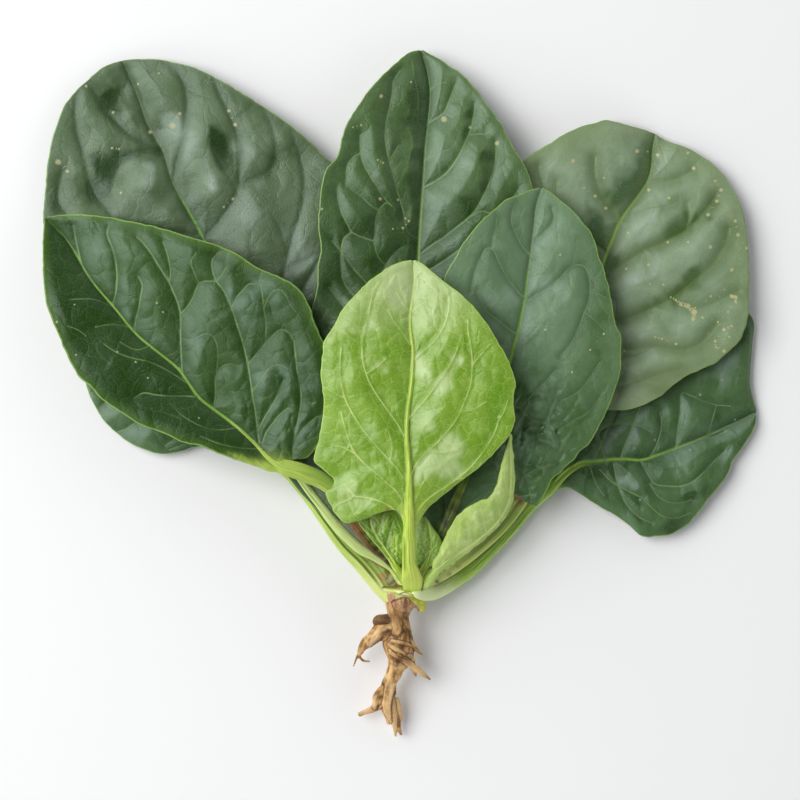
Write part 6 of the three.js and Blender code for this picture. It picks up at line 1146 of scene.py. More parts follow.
    # closed inner end
    tris += [(q[0], q[2], q[1]) for q in strip(list(ot + np.arange(nts + 1)), list(st), list(ob + np.arange(nbs + 1)), list(sb))]
    quads.append(np.array([[0, 0, 0, 0]])[:0])
    V = np.vstack(verts)
    A = {n: np.vstack(v) for n, v in att.items()}
    return build_object(name + "_skin", V, np.vstack(quads), np.array(tris), A, look["material"], [name])


# ------------------------------------------------------------------ material helpers
def rgb(r, g, b):
    f = lambda c: c / 12.92 if c <= 0.04045 else ((c + 0.055) / 1.055) ** 2.4
    return (f(r / 255), f(g / 255), f(b / 255), 1.0)


class Net:
    def __init__(self, name):
        self.mat = bpy.data.materials.new(name)
        self.mat.use_nodes = True
        self.t = self.mat.node_tree
        self.t.nodes.clear()
        self.out = self.t.nodes.new("ShaderNodeOutputMaterial")

    def n(self, kind, **props):
        node = self.t.nodes.new(kind)
        for k, v in props.items():
            setattr(node, k, v)
        return node

    def put(self, socket, value):
        if isinstance(value, bpy.types.NodeSocket):
            self.t.links.new(value, socket)
        elif value is not None:
            socket.default_value = value

    def attr(self, name):
        return self.n("ShaderNodeAttribute", attribute_name=name, attribute_type="GEOMETRY").outputs["Vector"]

    def split(self, v):
        s = self.n("ShaderNodeSeparateXYZ")
        self.put(s.inputs[0], v)
        return s.outputs[0], s.outputs[1], s.outputs[2]

    def join(self, x, y, z=0.0):
        s = self.n("ShaderNodeCombineXYZ")
        for i, v in enumerate((x, y, z)):
            self.put(s.inputs[i], v)
        return s.outputs[0]

    def m(self, op, a, b=None, c=None, clamp=False):
        s = self.n("ShaderNodeMath", operation=op, use_clamp=clamp)
        for i, v in enumerate((a, b, c)):
            if v is not None:
                self.put(s.inputs[i], v)
        return s.outputs[0]

    def vm(self, op, a, b=None, scale=None):
        s = self.n("ShaderNodeVectorMath", operation=op)
        self.put(s.inputs[0], a)
        if b is not None:
            self.put(s.inputs[1], b)
        if scale is not None:
            self.put(s.inputs["Scale"], scale)
        return s.outputs["Value"] if op in ("LENGTH", "DISTANCE", "DOT_PRODUCT") else s.outputs["Vector"]

    def range(self, v, a, b, c=0.0, d=1.0, kind="SMOOTHSTEP"):
        s = self.n("ShaderNodeMapRange", interpolation_type=kind, clamp=True) if kind == "LINEAR" else self.n("ShaderNodeMapRange", interpolation_type=kind)
        self.put(s.inputs["Value"], v)
        for k, x in (("From Min", a), ("From Max", b), ("To Min", c), ("To Max", d)):
            self.put(s.inputs[k], x)
        return s.outputs["Result"]

    def mix(self, f, a, b, blend="MIX"):
        s = self.n("ShaderNodeMix", data_type="RGBA", blend_type=blend)
        self.put(s.inputs["Factor"], f)
        self.put(s.inputs[6], a)
        self.put(s.inputs[7], b)
        return s.outputs[2]

    def noise(self, vec, scale, detail=2.0, rough=0.5, distort=0.0):
        s = self.n("ShaderNodeTexNoise")
        self.put(s.inputs["Vector"], vec)
        s.inputs["Scale"].default_value = scale
        s.inputs["Detail"].default_value = detail
        s.inputs["Roughness"].default_value = rough
        s.inputs["Distortion"].default_value = distort
        return s.outputs["Fac"] if "Fac" in s.outputs else s.outputs[0]

    def cells(self, vec, scale, feature="F1", out="Distance", rand=1.0):
        s = self.n("ShaderNodeTexVoronoi", feature=feature)
        self.put(s.inputs["Vector"], vec)
        s.inputs["Scale"].default_value = scale
        s.inputs["Randomness"].default_value = rand
        return s.outputs[out]

    def bump(self, height, distance, strength=1.0, normal=None):
        s = self.n("ShaderNodeBump")
        self.put(s.inputs["Height"], height)
        s.inputs["Distance"].default_value = distance
        s.inputs["Strength"].default_value = strength
        if normal is not None:
            self.put(s.inputs["Normal"], normal)
        return s.outputs["Normal"]

    def finish(self, colour, rough, normal, spec=0.5, tint=None, ior=1.45, sss=0.0, radius=(0.4, 0.8, 0.2), scale=0.001, coat=0.0, coat_rough=0.2):
        b = self.n("ShaderNodeBsdfPrincipled")
        self.put(b.inputs["Base Color"], colour)
        self.put(b.inputs["Roughness"], rough)
        if normal is not None:
            self.put(b.inputs["Normal"], normal)
        b.inputs["Specular IOR Level"].default_value = spec
        b.inputs["IOR"].default_value = ior
        if tint:
            b.inputs["Specular Tint"].default_value = tint
        if sss:
            b.inputs["Subsurface Weight"].default_value = sss
            b.inputs["Subsurface Radius"].default_value = radius
            b.inputs["Subsurface Scale"].default_value = scale
        if coat:
            b.inputs["Coat Weight"].default_value = coat
            b.inputs["Coat Roughness"].default_value = coat_rough
        self.t.links.new(b.outputs[0], self.out.inputs["Surface"])
        return self.mat


def leaf_material(name, p):
    N = Net(name)
    vein, netv, luv = N.attr("vein"), N.attr("net"), N.attr("luv")
    mska, mskb, speck = N.attr("mska"), N.attr("mskb"), N.attr("speck")
    vx, vy, vd = N.split(vein)
    nx, ny, nd = N.split(netv)
    ty, sx, edge = N.split(luv)
    rib, under, hgt = N.split(mska)
    strength, cell, tt = N.split(mskb)
    gx, gy, gr = N.split(speck)
    # exact distances to the lines, in mm
    d_v = N.m("MAXIMUM", N.vm("LENGTH", N.join(vx, vy)), N.m("SUBTRACT", vd, 0.42))
    d_n = N.m("MAXIMUM", N.vm("LENGTH", N.join(nx, ny)), N.m("SUBTRACT", nd, 0.42))
    flat = N.join(ty, sx)
    obj = N.n("ShaderNodeTexCoord").outputs["Object"]
    mm = N.vm("SCALE", obj, scale=1000.0)
    big = N.noise(mm, 0.045, 3, 0.55)
    midn = N.noise(mm, 0.16, 3, 0.6)
    fine = N.noise(mm, 1.5, 3, 0.7)
    grit = N.noise(mm, 3.4, 2, 0.7)
    streak = N.noise(N.vm("MULTIPLY", flat, (1.5, 0.35, 1.0)), 1.0, 2, 0.6)
    # blade
    col = N.mix(N.range(big, 0.32, 0.68), p["dark"], p["mid"])
    # painted highlight on the raised panels
    col = N.mix(N.m("MULTIPLY", N.range(hgt, 0.25, 1.25), p["swell_highlight"]), col, p["light"])
    col = N.mix(N.range(midn, 0.45, 0.72, 0.0, p["mottle"]), col, p["light"])
    col = N.mix(N.range(cell, 0.55, 1.0, 0.0, p["cell"]), col, p["light"])
    if p.get("yellow"):
        col = N.mix(N.range(N.noise(mm, 0.06, 2, 0.5), 0.5, 0.75, 0.0, 0.6), col, p["yellow"])
    tone, mark_b, mark_shade = N.split(N.attr("tone"))
    # painted sheen where the tone is high and painted shade where it is low, swayed a little by noise
    tone = N.m("ADD", tone, N.m("MULTIPLY_ADD", midn, 0.5, -0.25))
    col = N.mix(N.range(tone, 0.10, 0.95, 0.0, p["sheen_mix"]), col, p["painted_sheen"])
    col = N.mix(N.range(tone, -0.95, -0.10, p["shade_mix"], 0.0), col, p["shade"])
    # colour bands along the leaf, across it or by the margin; on the left, centre and right leaves some of them are
    # painted shade
    for colour, axis, lo_, hi_, amount in p.get("tints_and_shade", ()):
        src = {"t": tt, "s": sx, "edge": edge}[axis]
        f_ = N.range(N.m("ADD", src, N.m("MULTIPLY_ADD", midn, 0.3 * abs(hi_ - lo_), -0.15 * abs(hi_ - lo_))), min(lo_, hi_), max(lo_, hi_), *((0.0, amount) if hi_ > lo_ else (amount, 0.0)))
        col = N.mix(f_, col, colour)
    col = N.mix(N.range(fine, 0.50, 0.78, 0.0, p["fleck"]), col, p["light"])
    col = N.mix(N.range(grit, 0.62, 0.80, 0.0, p["fleck"] * 0.9), col, p["vein"])
    # painted shade in the valleys beside the sunken veins, then the lines themselves
    col = N.mix(N.m("MULTIPLY", N.range(d_v, 0.25, p["flank_shade_w"], 1.0, 0.0), N.m("MULTIPLY", strength, p["flank_shade"])), col, p["vein_shade"])
    fine_net = N.cells(N.vm("ADD", mm, N.join(N.m("MULTIPLY", fine, 0.5), midn)), p["mesh"], "DISTANCE_TO_EDGE")
    col = N.mix(N.range(fine_net, 0.0, 0.09, p["mesh_line"], 0.0), col, p["vein"])
    col = N.mix(N.range(d_n, p["net_w"] * 0.5, p["net_w"] * 1.6, p["net_line"], 0.0), col, p["vein"])
    wide = N.m("MULTIPLY_ADD", strength, p["vein_w"] * 0.55, p["vein_w"] * 0.45)
    line = N.m("MULTIPLY", N.m("SUBTRACT", 1.0, N.range(N.m("DIVIDE", d_v, wide), 0.55, 1.5)), N.range(N.noise(mm, 0.11, 2, 0.6), 0.38, 0.6, 0.35, 1.0))
    lost = N.m("MULTIPLY", N.range(strength, 1.1, 1.18), N.range(tt, p["mid_fade"][0], p["mid_fade"][1], 0.0, p["mid_lose"]))
    line = N.m("MULTIPLY", line, N.m("SUBTRACT", 1.0, lost))
    col = N.mix(N.m("MULTIPLY", line, N.m("MULTIPLY_ADD", strength, 0.55 * p["vein_line"], 0.3 * p["vein_line"]), clamp=True), col, p["vein"])
    mid_half = N.range(tt, 0.1, 0.95, p["mid_w"] * 1.25, p["mid_w"] * 0.5, "LINEAR")
    main = N.m("MULTIPLY", N.range(strength, 1.1, 1.18), N.m("SUBTRACT", 1.0, N.range(N.m("DIVIDE", d_v, mid_half), 0.5, 1.3)))
    col = N.mix(N.m("MULTIPLY", main, N.range(tt, p["mid_fade"][0], p["mid_fade"][1], p["mid_line"], p["mid_line"] * 0.15)), col, p["midrib"])
    # margin
    rim_n = N.m("MULTIPLY_ADD", midn, p["rim_w"] * 1.0, p["rim_w"] * 0.5)
    col = N.mix(N.m("MULTIPLY", N.m("LESS_THAN", edge, 8.0), N.m("SUBTRACT", 1.0, N.range(N.m("DIVIDE", edge, rim_n), 0.45, 1.35))), col, p["rim"])
    # scars and specks
    d_g = N.m("ADD", N.vm("LENGTH", N.join(gx, gy)), N.m("MULTIPLY_ADD", fine, 1.1, -0.55))
    spot = N.m("MULTIPLY", N.m("GREATER_THAN", gr, 0.01), N.range(d_g, 0.55, 1.15, 1.0, 0.0))
    col = N.mix(N.m("MULTIPLY", spot, 0.85), col, p["scar"])
    if p.get("specks"):
        pos = N.vm("ADD", mm, (3.1, 7.7, 0.0))
        vor = N.n("ShaderNodeTexVoronoi", feature="F1")
        N.put(vor.inputs["Vector"], N.vm("MULTIPLY", pos, (1.0, 1.0, 0.0)))
        vor.inputs["Scale"].default_value = 0.22
        pick = N.split(vor.outputs["Color"])[0]
        dot = N.m("MULTIPLY", N.range(vor.outputs["Distance"], 0.045, 0.085, 1.0, 0.0), N.m("LESS_THAN", pick, p["specks"]))
        col = N.mix(N.m("MULTIPLY", dot, 0.75), col, p["scar"])
    # underside: paler, matt, with its own standing veins
    low = N.mix(N.range(big, 0.3, 0.7), p["under"], p["under2"])
    low = N.mix(N.range(d_v, 0.15, 0.7, 0.75, 0.0), low, p["vein"])
    low = N.mix(N.range(d_n, 0.05, 0.35, 0.35, 0.0), low, p["vein"])
    col = N.mix(N.range(under, 0.55, 0.95), col, low)
    # stalk and rib
    st = N.noise(N.vm("MULTIPLY", flat, (0.10, 2.6, 1.0)), 1.0, 3, 0.6)
    stalk = N.mix(N.range(st, 0.35, 0.65), p["stalk"], p["stalk2"])
    stalk = N.mix(N.range(tt, *p["base_zone"], p.get("base_mix", 1.0), 0.0), stalk, p["stalk_base"])
    # painted shade: darker olive on the inner side of the channelled stalk, with reddish blotches
    if p.get("inner"):
        inner = N.m("MULTIPLY", N.m("LESS_THAN", tt, 0.0), N.range(cell, p["inner"][1], p["inner"][1] + 0.12))
        stalk = N.mix(inner, stalk, p["inner"][0])
        stalk = N.mix(N.m("MULTIPLY", inner, N.range(N.noise(mm, 0.30, 2, 0.5), 0.55, 0.66, 0.0, 0.7)), stalk, p["blush_and_shade"])
    # dark blotches toward the stalk's inner end, used on the left leaf as painted shade
    elif p.get("blush_and_shade"):
        stalk = N.mix(N.m("MULTIPLY", N.range(N.noise(mm, 0.22, 3, 0.6), 0.46, 0.62), N.range(tt, *p["base_zone"], 0.85, 0.0)), stalk, p["blush_and_shade"])
    # painted shade along the stalk's channel
    g_at, g_w = p["groove_zone"]
    groove = N.m("MULTIPLY", N.range(N.m("ABSOLUTE", N.m("SUBTRACT", cell, 0.5 + 0.5 * g_at)), g_w * 0.5, g_w * 1.2, 1.0, 0.0), N.m("MULTIPLY", N.range(tt, *p["groove_end"], 1.0, 0.0), N.range(tt, -1.0, -0.8)))
    stalk = N.mix(N.m("MULTIPLY", groove, p["groove_shade"]), stalk, p["groove"])
    col = N.mix(rib, col, stalk)
    # brown marks, then the dark part of the marks as painted shade
    mark_breakup = N.range(N.noise(mm, 0.55, 3, 0.5), 0.30, 0.58, 0.72, 1.0)
    col = N.mix(N.m("MULTIPLY", N.range(mark_b, 0.15, 0.85), mark_breakup), col, p.get("brown", rgb(140, 92, 56)))
    col = N.mix(N.m("MULTIPLY", N.range(mark_shade, 0.10, 0.95, 0.0, 0.95), mark_breakup), col, p.get("mark_shade_colour", rgb(38, 34, 12)))
    # surface
    lines_h = N.m("MULTIPLY", N.m("SUBTRACT", 1.0, N.range(d_n, 0.0, 0.7)), -0.5)
    mesh_h = N.range(fine_net, 0.0, 0.14)
    h = N.m("ADD", lines_h, N.m("MULTIPLY", mesh_h, 0.32))
    h = N.m("ADD", h, N.m("MULTIPLY", fine, 0.8))
    h = N.m("ADD", h, N.m("MULTIPLY", streak, 0.6))
    crease = N.m("MULTIPLY", N.range(d_v, 0.0, 1.1, 0.0, 1.0, "LINEAR"), N.m("MULTIPLY", N.m("SUBTRACT", 1.0, rib), N.m("LESS_THAN", under, 0.5)))
    nrm = N.bump(crease, p["crease"] * MM, 1.0)
    nrm = N.bump(h, p["bump"] * MM, 1.0, nrm)
    nrm = N.bump(grit, p["bump"] * 0.35 * MM, 1.0, nrm)
    rough = N.m("ADD", N.range(midn, 0.3, 0.7, p["rough"] - 0.05, p["rough"] + 0.07), N.m("MULTIPLY", under, 0.15))
    rough = N.m("ADD", rough, N.m("MULTIPLY", N.m("SUBTRACT", 1.0, N.range(d_v, 0.1, 0.8)), 0.08))
    return N.finish(col, rough, nrm, spec=p["spec"], tint=p["shine"], sss=p.get("sss", 0.0), scale=0.0015)


# ------------------------------------------------------------------ finishes
# Leaf finishes. The sheen colour is painted sheen and the shade colour painted shade, both laid on by the tone; the
# vein-flank colour is painted shade in the vein valleys; the swell highlight is painted highlight on raised panels; the
# groove colour is painted shade in the stalk's channel.
DARK = {
    "dark": rgb(56, 80, 36), "mid": rgb(66, 92, 46), "light": rgb(86, 110, 66), "vein_shade": rgb(34, 56, 18),
    "painted_sheen": rgb(114, 136, 110), "sheen_mix": 0.8, "shade": rgb(30, 56, 10), "shade_mix": 0.95, "shine": (0.86, 1.0, 0.95, 1.0),
    "vein": rgb(112, 142, 84), "midrib": rgb(112, 156, 56), "rim": rgb(124, 158, 72), "rim_w": 0.32,
    "scar": rgb(170, 166, 124), "under": rgb(108, 132, 90), "under2": rgb(92, 118, 74),
    "stalk": rgb(176, 196, 92), "stalk2": rgb(140, 168, 58), "stalk_base": rgb(192, 206, 112),
    "groove": rgb(84, 108, 36), "groove_shade": 0.6, "groove_zone": (0.0, 0.22), "groove_end": (-0.30, -0.02), "base_zone": (-1.0, -0.65),
    "swell_highlight": 0.16, "mottle": 0.20, "cell": 0.10, "fleck": 0.26, "flank_shade": 0.28, "flank_shade_w": 3.0,
    "mesh": 1.15, "mesh_line": 0.12, "net_w": 0.09, "net_line": 0.12, "vein_w": 0.24, "vein_line": 0.95,
    "mid_w": 0.42, "mid_line": 1.0, "mid_fade": (0.55, 0.9), "mid_lose": 0.5, "bump": 0.07, "crease": 0.05, "rough": 0.34, "spec": 0.55,
}
YELLOW_GREEN = rgb(84, 120, 34)
# leaf_left: the left half painted darker as shade; the stalk painted olive-brown with dark blotches as shade where it
# runs in under the front leaf; a yellow-green band along the margin
LEFT = dict(DARK, spec=0.40, dark=rgb(42, 68, 24), mid=rgb(54, 82, 34), light=rgb(80, 106, 66), painted_sheen=rgb(96, 122, 100),
            tints_and_shade=[(rgb(30, 58, 6), "s", 2.0, -5.0, 0.95), (YELLOW_GREEN, "edge", 4.0, 0.5, 0.30)],
            groove_zone=(0.75, 0.5), groove_end=(-0.30, -0.02), groove=rgb(108, 150, 54), groove_shade=0.75, base_zone=(-0.62, -0.25), stalk_base=rgb(104, 86, 44), blush_and_shade=rgb(86, 60, 30), mark_shade_colour=rgb(44, 32, 10), mid_fade=(0.8, 1.0), rim_w=0.5)
# leaf_centre: left half a little darker and the lower blade, which lies under the front leaf, darker still, both
# painted shade
CENTRE = dict(DARK, mid_line=0.65, mid_fade=(0.3, 0.8), mid_lose=0.6, dark=rgb(70, 94, 52), mid=rgb(83, 109, 65), light=rgb(104, 128, 88), shade_mix=0.8, tints_and_shade=[(rgb(44, 72, 24), "s", 2.0, -4.0, 0.15), (rgb(36, 64, 18), "t", 0.72, 0.46, 0.65)])
UPPER_LEFT = dict(DARK, dark=rgb(72, 91, 60), mid=rgb(84, 104, 70), light=rgb(104, 124, 94), painted_sheen=rgb(132, 149, 132), mid_fade=(0.62, 0.78), midrib=rgb(92, 142, 42), mid_w=0.58, flank_shade=0.45, flank_shade_w=2.6, groove_shade=0.0, vein=rgb(64, 86, 44),
                  stalk=rgb(198, 214, 140), stalk2=rgb(172, 194, 104), stalk_base=rgb(190, 208, 110), vein_w=0.16, vein_line=0.65)
MATTE = dict(DARK, dark=rgb(62, 90, 50), mid=rgb(72, 102, 60), light=rgb(92, 118, 82), painted_sheen=rgb(118, 140, 122), rough=0.40, shade_mix=0.8, scar=rgb(140, 150, 118), mid_fade=(0.42, 0.64), mid_lose=0.85,
             stalk_base=rgb(218, 230, 168), base_zone=(-1.0, -0.78), groove_shade=0.4, stalk=rgb(180, 212, 96), stalk2=rgb(126, 170, 50))
LOWER_LEFT = dict(MATTE, mid_fade=(0.55, 0.9), mid_lose=0.5, groove_zone=(-0.30, 0.07), groove_shade=0.85, mark_shade_colour=rgb(60, 36, 18), inner=(rgb(132, 156, 60), 0.42), blush_and_shade=rgb(168, 112, 74),
                  stalk_base=rgb(196, 208, 116), base_zone=(-0.9, -0.6), stalk=rgb(188, 206, 110), stalk2=rgb(160, 186, 76))
GREY = dict(DARK, dark=rgb(128, 150, 116), mid=rgb(141, 160, 129), light=rgb(156, 175, 150), vein_shade=rgb(76, 98, 42),
            painted_sheen=rgb(168, 184, 168), shade=rgb(56, 86, 42), shade_mix=0.92,
            vein=rgb(96, 124, 54), midrib=rgb(116, 156, 58), mid_w=0.5, scar=rgb(184, 180, 130), rough=0.40, specks=0.34, flank_shade=0.65, flank_shade_w=5.0, vein_w=0.18, tints_and_shade=[(rgb(112, 128, 76), "edge", 13.0, 1.0, 0.45)],
            under=rgb(130, 150, 108), under2=rgb(116, 138, 94), spec=0.6)
# leaf_right: darker toward the base as painted shade under the leaves above it, and darker toward the right margin
RIGHT = dict(GREY, dark=rgb(92, 118, 84), mid=rgb(104, 132, 96), light=rgb(122, 146, 114), mid_fade=(0.62, 0.86), mid_lose=0.7, midrib=rgb(98, 148, 44), mid_w=0.56, specks=0.0, rough=0.40,
             painted_sheen=rgb(136, 160, 140), shade=rgb(50, 84, 30), vein=rgb(108, 138, 84), flank_shade=0.36, flank_shade_w=2.6,
             tints_and_shade=[(rgb(54, 90, 34), "t", 0.64, 0.40, 0.5), (rgb(60, 90, 34), "s", 13.0, 24.0, 0.5)], rim=rgb(130, 168, 70), vein_shade=rgb(34, 58, 18))
YOUNG = dict(DARK, dark=rgb(108, 148, 24), mid=rgb(124, 160, 40), light=rgb(150, 182, 84), vein_shade=rgb(92, 134, 22),
             painted_sheen=rgb(186, 206, 148), sheen_mix=0.75, shade=rgb(94, 142, 14), shade_mix=0.85, shine=(0.92, 1.0, 0.94, 1.0),
             vein=rgb(206, 220, 140), midrib=rgb(202, 220, 116), rim=rgb(164, 192, 90), rim_w=0.35,
             scar=rgb(120, 112, 60), under=rgb(172, 194, 116), under2=rgb(156, 182, 96),
             stalk=rgb(196, 214, 96), stalk2=rgb(152, 184, 48), stalk_base=rgb(190, 206, 84), base_mix=0.65, groove=rgb(140, 164, 50),
             groove_shade=0.6, groove_zone=(-0.52, 0.14), flank_shade=0.15, vein_w=0.20, mid_w=0.42, vein_line=0.75, rough=0.32, fleck=0.14, mottle=0.42,
             mesh_line=0.16, net_line=0.18, crease=-0.12, bump=0.08, mid_fade=(0.8, 1.0), tints_and_shade=[(rgb(182, 200, 144), "t", 0.66, 0.95, 0.7)])
FOLDED = dict(YOUNG, dark=rgb(158, 190, 84), mid=rgb(190, 213, 112), light=rgb(220, 232, 168), vein_shade=rgb(110, 146, 54),
              rough=0.5, spec=0.5, tints_and_shade=[(rgb(128, 92, 48), "edge", 1.2, 0.2, 0.0)], vein=rgb(196, 212, 146), base_zone=(-1.0, -0.2),
              stalk=rgb(172, 196, 108), stalk2=rgb(150, 180, 84), stalk_base=rgb(170, 190, 104), mottle=0.6)
HEART = dict(YOUNG, dark=rgb(100, 144, 24), mid=rgb(140, 180, 44), light=rgb(190, 216, 102), vein_shade=rgb(44, 76, 16),
             tints_and_shade=[], mottle=0.7, vein=rgb(176, 204, 110), flank_shade=0.5)

M_LEFT = leaf_material("leaf_left_green", LEFT)
M_CENTRE = leaf_material("leaf_centre_green", CENTRE)
M_UPPER_LEFT = leaf_material("leaf_upper_left_green", UPPER_LEFT)
M_MATTE = leaf_material("leaf_matte", MATTE)
M_LOWER_LEFT = leaf_material("leaf_matte_left", LOWER_LEFT)
M_GREY = leaf_material("leaf_grey", GREY)
M_RIGHT = leaf_material("leaf_right_green", RIGHT)
M_YOUNG = leaf_material("leaf_young_green", YOUNG)
M_FOLDED = leaf_material("leaf_folded_green", FOLDED)
# heart_leaf_right: colours lifted well above the neighbouring young leaves to make up for the front leaf's shadow,
# painted light
HEART_RIGHT = dict(HEART, mid_line=0.6, dark=rgb(160, 202, 78), mid=rgb(186, 222, 108), light=rgb(214, 234, 158), vein_shade=rgb(112, 154, 50), shade=rgb(112, 158, 40), mottle=0.7)
M_HEART = leaf_material("leaf_heart_green", HEART)
M_HEART_RIGHT = leaf_material("leaf_heart_painted_light", HEART_RIGHT)

BASE = dict(nb=50, rows=230, join=0.05, tooth=0.22, wave=0.5, rake=0.22, net=5.6, seed=1, panel=1.6, reach=7.5, trench=0.10, painted_light_lean=0.6,
            minor=0.08, blister=0.08, cross=0.07, swell=0.9, grain=0.02, rib_end=0.35, rib_keep=0.0, rib_fall=2.4,
            rib_top=0.25, rib_up=0.10, rib_down=1.0, vein_up=0.0, vein_down=0.5, pale_base=0.10, stalk_cols=24,
            groove=0.5, stria=1.0, puff=(1.0, 1.0))

LOOK = {
    "leaf_lower_left": dict(BASE, nb=34, rows=120, seed=3, groove=0.75, groove_at=(0.25, 0.55), stalk_cols=40, material=M_LOWER_LEFT, slot="leaf_dark_matte"),
    "leaf_lower_right": dict(BASE, seed=4, groove=0.35, groove_at=(0.3, 0.4), material=M_MATTE, slot="leaf_dark_matte"),
    "leaf_upper_left": dict(BASE, seed=5, panel=0.95, swell=0.9, painted_light_lean=0.28, puff=(0.55, 0.55), cross=0.11, blister=0.05, rib_keep=0.14, rib_fall=6.0, pale_base=0.012, groove=0.12, material=M_UPPER_LEFT, slot="leaf_dark_glossy"),
    "leaf_upper_right": dict(BASE, seed=6, panel=1.6, painted_light_lean=0.32, puff=(0.7, 0.6), blister=0.05, material=M_GREY, slot="leaf_grey_green"),
    "leaf_centre": dict(BASE, seed=7, panel=1.75, painted_light_lean=0.5, material=M_CENTRE, slot="leaf_dark_glossy"),
    "leaf_left": dict(BASE, seed=8, panel=1.6, painted_light_lean=0.42, rib_fall=22.0, puff=(0.3, 1.0), blister=0.12, cross=0.08, rough=[(-36.0, -8.0, 20.0, 2.0)], groove=0.3,
                      material=M_LEFT, slot="leaf_dark_glossy"),
    "leaf_right": dict(BASE, seed=9, panel=0.85, swell=0.6, painted_light_lean=0.15, puff=(0.5, 0.35), blister=0.07, minor=0.14, rough=[(44.0, -16.0, 16.0, 18.0)], material=M_RIGHT, slot="leaf_grey_green"),
    "leaf_front": dict(BASE, nb=44, rows=200, seed=10, join=0.07, tooth=0.30, wave=0.45, net=4.2, panel=0.8, reach=5.0, painted_light_lean=0.35,
                       blister=0.14, cross=0.20, swell=0.8, trench=0.05, rib_end=0.28, rib_fall=3.6, rib_top=0.9, rib_up=0.35, vein_up=0.15,
                       groove=0.30, groove_at=(-0.52, 0.22), pale_base=0.22, stalk_cols=40, stria=0.9, material=M_YOUNG, slot="leaf_young"),
    "leaf_folded": dict(BASE, nb=20, rows=110, seed=11, join=0.10, tooth=0.35, wave=0.5, net=2.6, panel=0.5, reach=1.8, painted_light_lean=0.4,
                        blister=0.45, cross=0.15, swell=0.35, rib_down=0.4, vein_down=0.2, stalk_cols=14, groove=0.1, tiny=True,
                        material=M_FOLDED, slot="leaf_young"),
    "heart_leaf_left": dict(BASE, nb=30, rows=110, seed=12, join=0.12, tooth=0.12, wave=0.1, net=1.9, panel=0.6, reach=1.0,
                            blister=0.5, cross=0.1, swell=0.3, rib_down=0.2, vein_down=0.1, stalk_cols=12, groove=0.1, tiny=True,
                            material=M_HEART, slot="leaf_young"),
    "heart_leaf_right": dict(BASE, nb=26, rows=100, seed=13, join=0.12, tooth=0.12, wave=0.1, net=1.9, panel=0.5, reach=1.0,
                             blister=0.5, cross=0.1, swell=0.6, rib_down=0.2, vein_down=0.1, stalk_cols=12, groove=0.1, tiny=True,
                             rib_up=0.1, rib_end=0.2, material=M_HEART_RIGHT, slot="leaf_young"),
}
for leaf_name, leaf_look in LOOK.items():
    build_leaf(leaf_name, leaf_look)


# ------------------------------------------------------------------ crown and root
def tube(points, radii, seed, step=0.7, around=28, ridges=0.10, wander=0.12, flat=1.0, twist=0.05):
    """Closed tube with lengthwise ridges; radii are numbers or (half width, half height)."""
    n = max(8, int(length(points) / step))
    u = np.linspace(0, 1, n + 1)
    c = at(points, u)
    rr = np.array([(q, q) if np.isscalar(q) else q for q in radii], float)
    k = np.linspace(0, 1, len(rr))
    w, h = np.interp(u, k, rr[:, 0]), np.interp(u, k, rr[:, 1]) * flat
    t = np.gradient(c, axis=0)
    t /= np.linalg.norm(t, axis=1)[:, None]
    side = np.stack([t[:, 1], -t[:, 0], np.zeros(n + 1)], 1)
    side /= np.maximum(np.linalg.norm(side, axis=1), 1e-6)[:, None]
    rise = np.cross(side, t)
    s = u * length(points)
    a = np.linspace(0, 2 * np.pi, around, endpoint=False)
    A, S = np.meshgrid(a + 0, s)
    ang = A + twist * S
    f = 1 + ridges * noise(np.cos(ang) * 2.6 + S * 0.04, np.sin(ang) * 2.6, 0.8, seed) + 0.5 * ridges * noise(np.cos(ang) * 6 + S * 0.06, np.sin(ang) * 6, 0.9, seed + 1)
    f += wander * noise(S, np.cos(ang) * 2, 3.2, seed + 2)
    p = c[:, None, :] + side[:, None, :] * (w[:, None] * np.cos(A) * f)[..., None] + rise[:, None, :] * (h[:, None] * np.sin(A) * f)[..., None]
    v = np.vstack([p.reshape(-1, 3), c[:1] - t[:1] * w[0] * 0.3, c[-1:] + t[-1:] * w[-1] * 0.5])
    quads, tris = [], []
    for i in range(n):
        for j in range(around):
            j2 = (j + 1) % around
            quads.append((i * around + j, i * around + j2, (i + 1) * around + j2, (i + 1) * around + j))
    c0, c1 = (n + 1) * around, (n + 1) * around + 1
    for j in range(around):
        j2 = (j + 1) % around
        tris.append((c0, j2, j))
        tris.append((c1, n * around + j, n * around + j2))
    return v, quads, tris


def ball(centre, half, rows=24, cols=40):
    th = np.linspace(0, np.pi, rows + 1)[1:-1]
    ph = np.linspace(0, 2 * np.pi, cols, endpoint=False)
    T, F = np.meshgrid(th, ph, indexing="ij")
    p = np.stack([np.sin(T) * np.cos(F), np.sin(T) * np.sin(F), np.cos(T)], -1) * half + centre
    v = np.vstack([p.reshape(-1, 3), np.add(centre, [0, 0, half[2]]), np.subtract(centre, [0, 0, half[2]])])
    quads, tris = [], []
    r = rows - 1
    for i in range(r - 1):
        for j in range(cols):
            j2 = (j + 1) % cols
            quads.append((i * cols + j, (i + 1) * cols + j, (i + 1) * cols + j2, i * cols + j2))
    for j in range(cols):
        j2 = (j + 1) % cols
        tris.append((r * cols, j, j2))
        tris.append((r * cols + 1, (r - 1) * cols + j2, (r - 1) * cols + j))
    return v, quads, tris


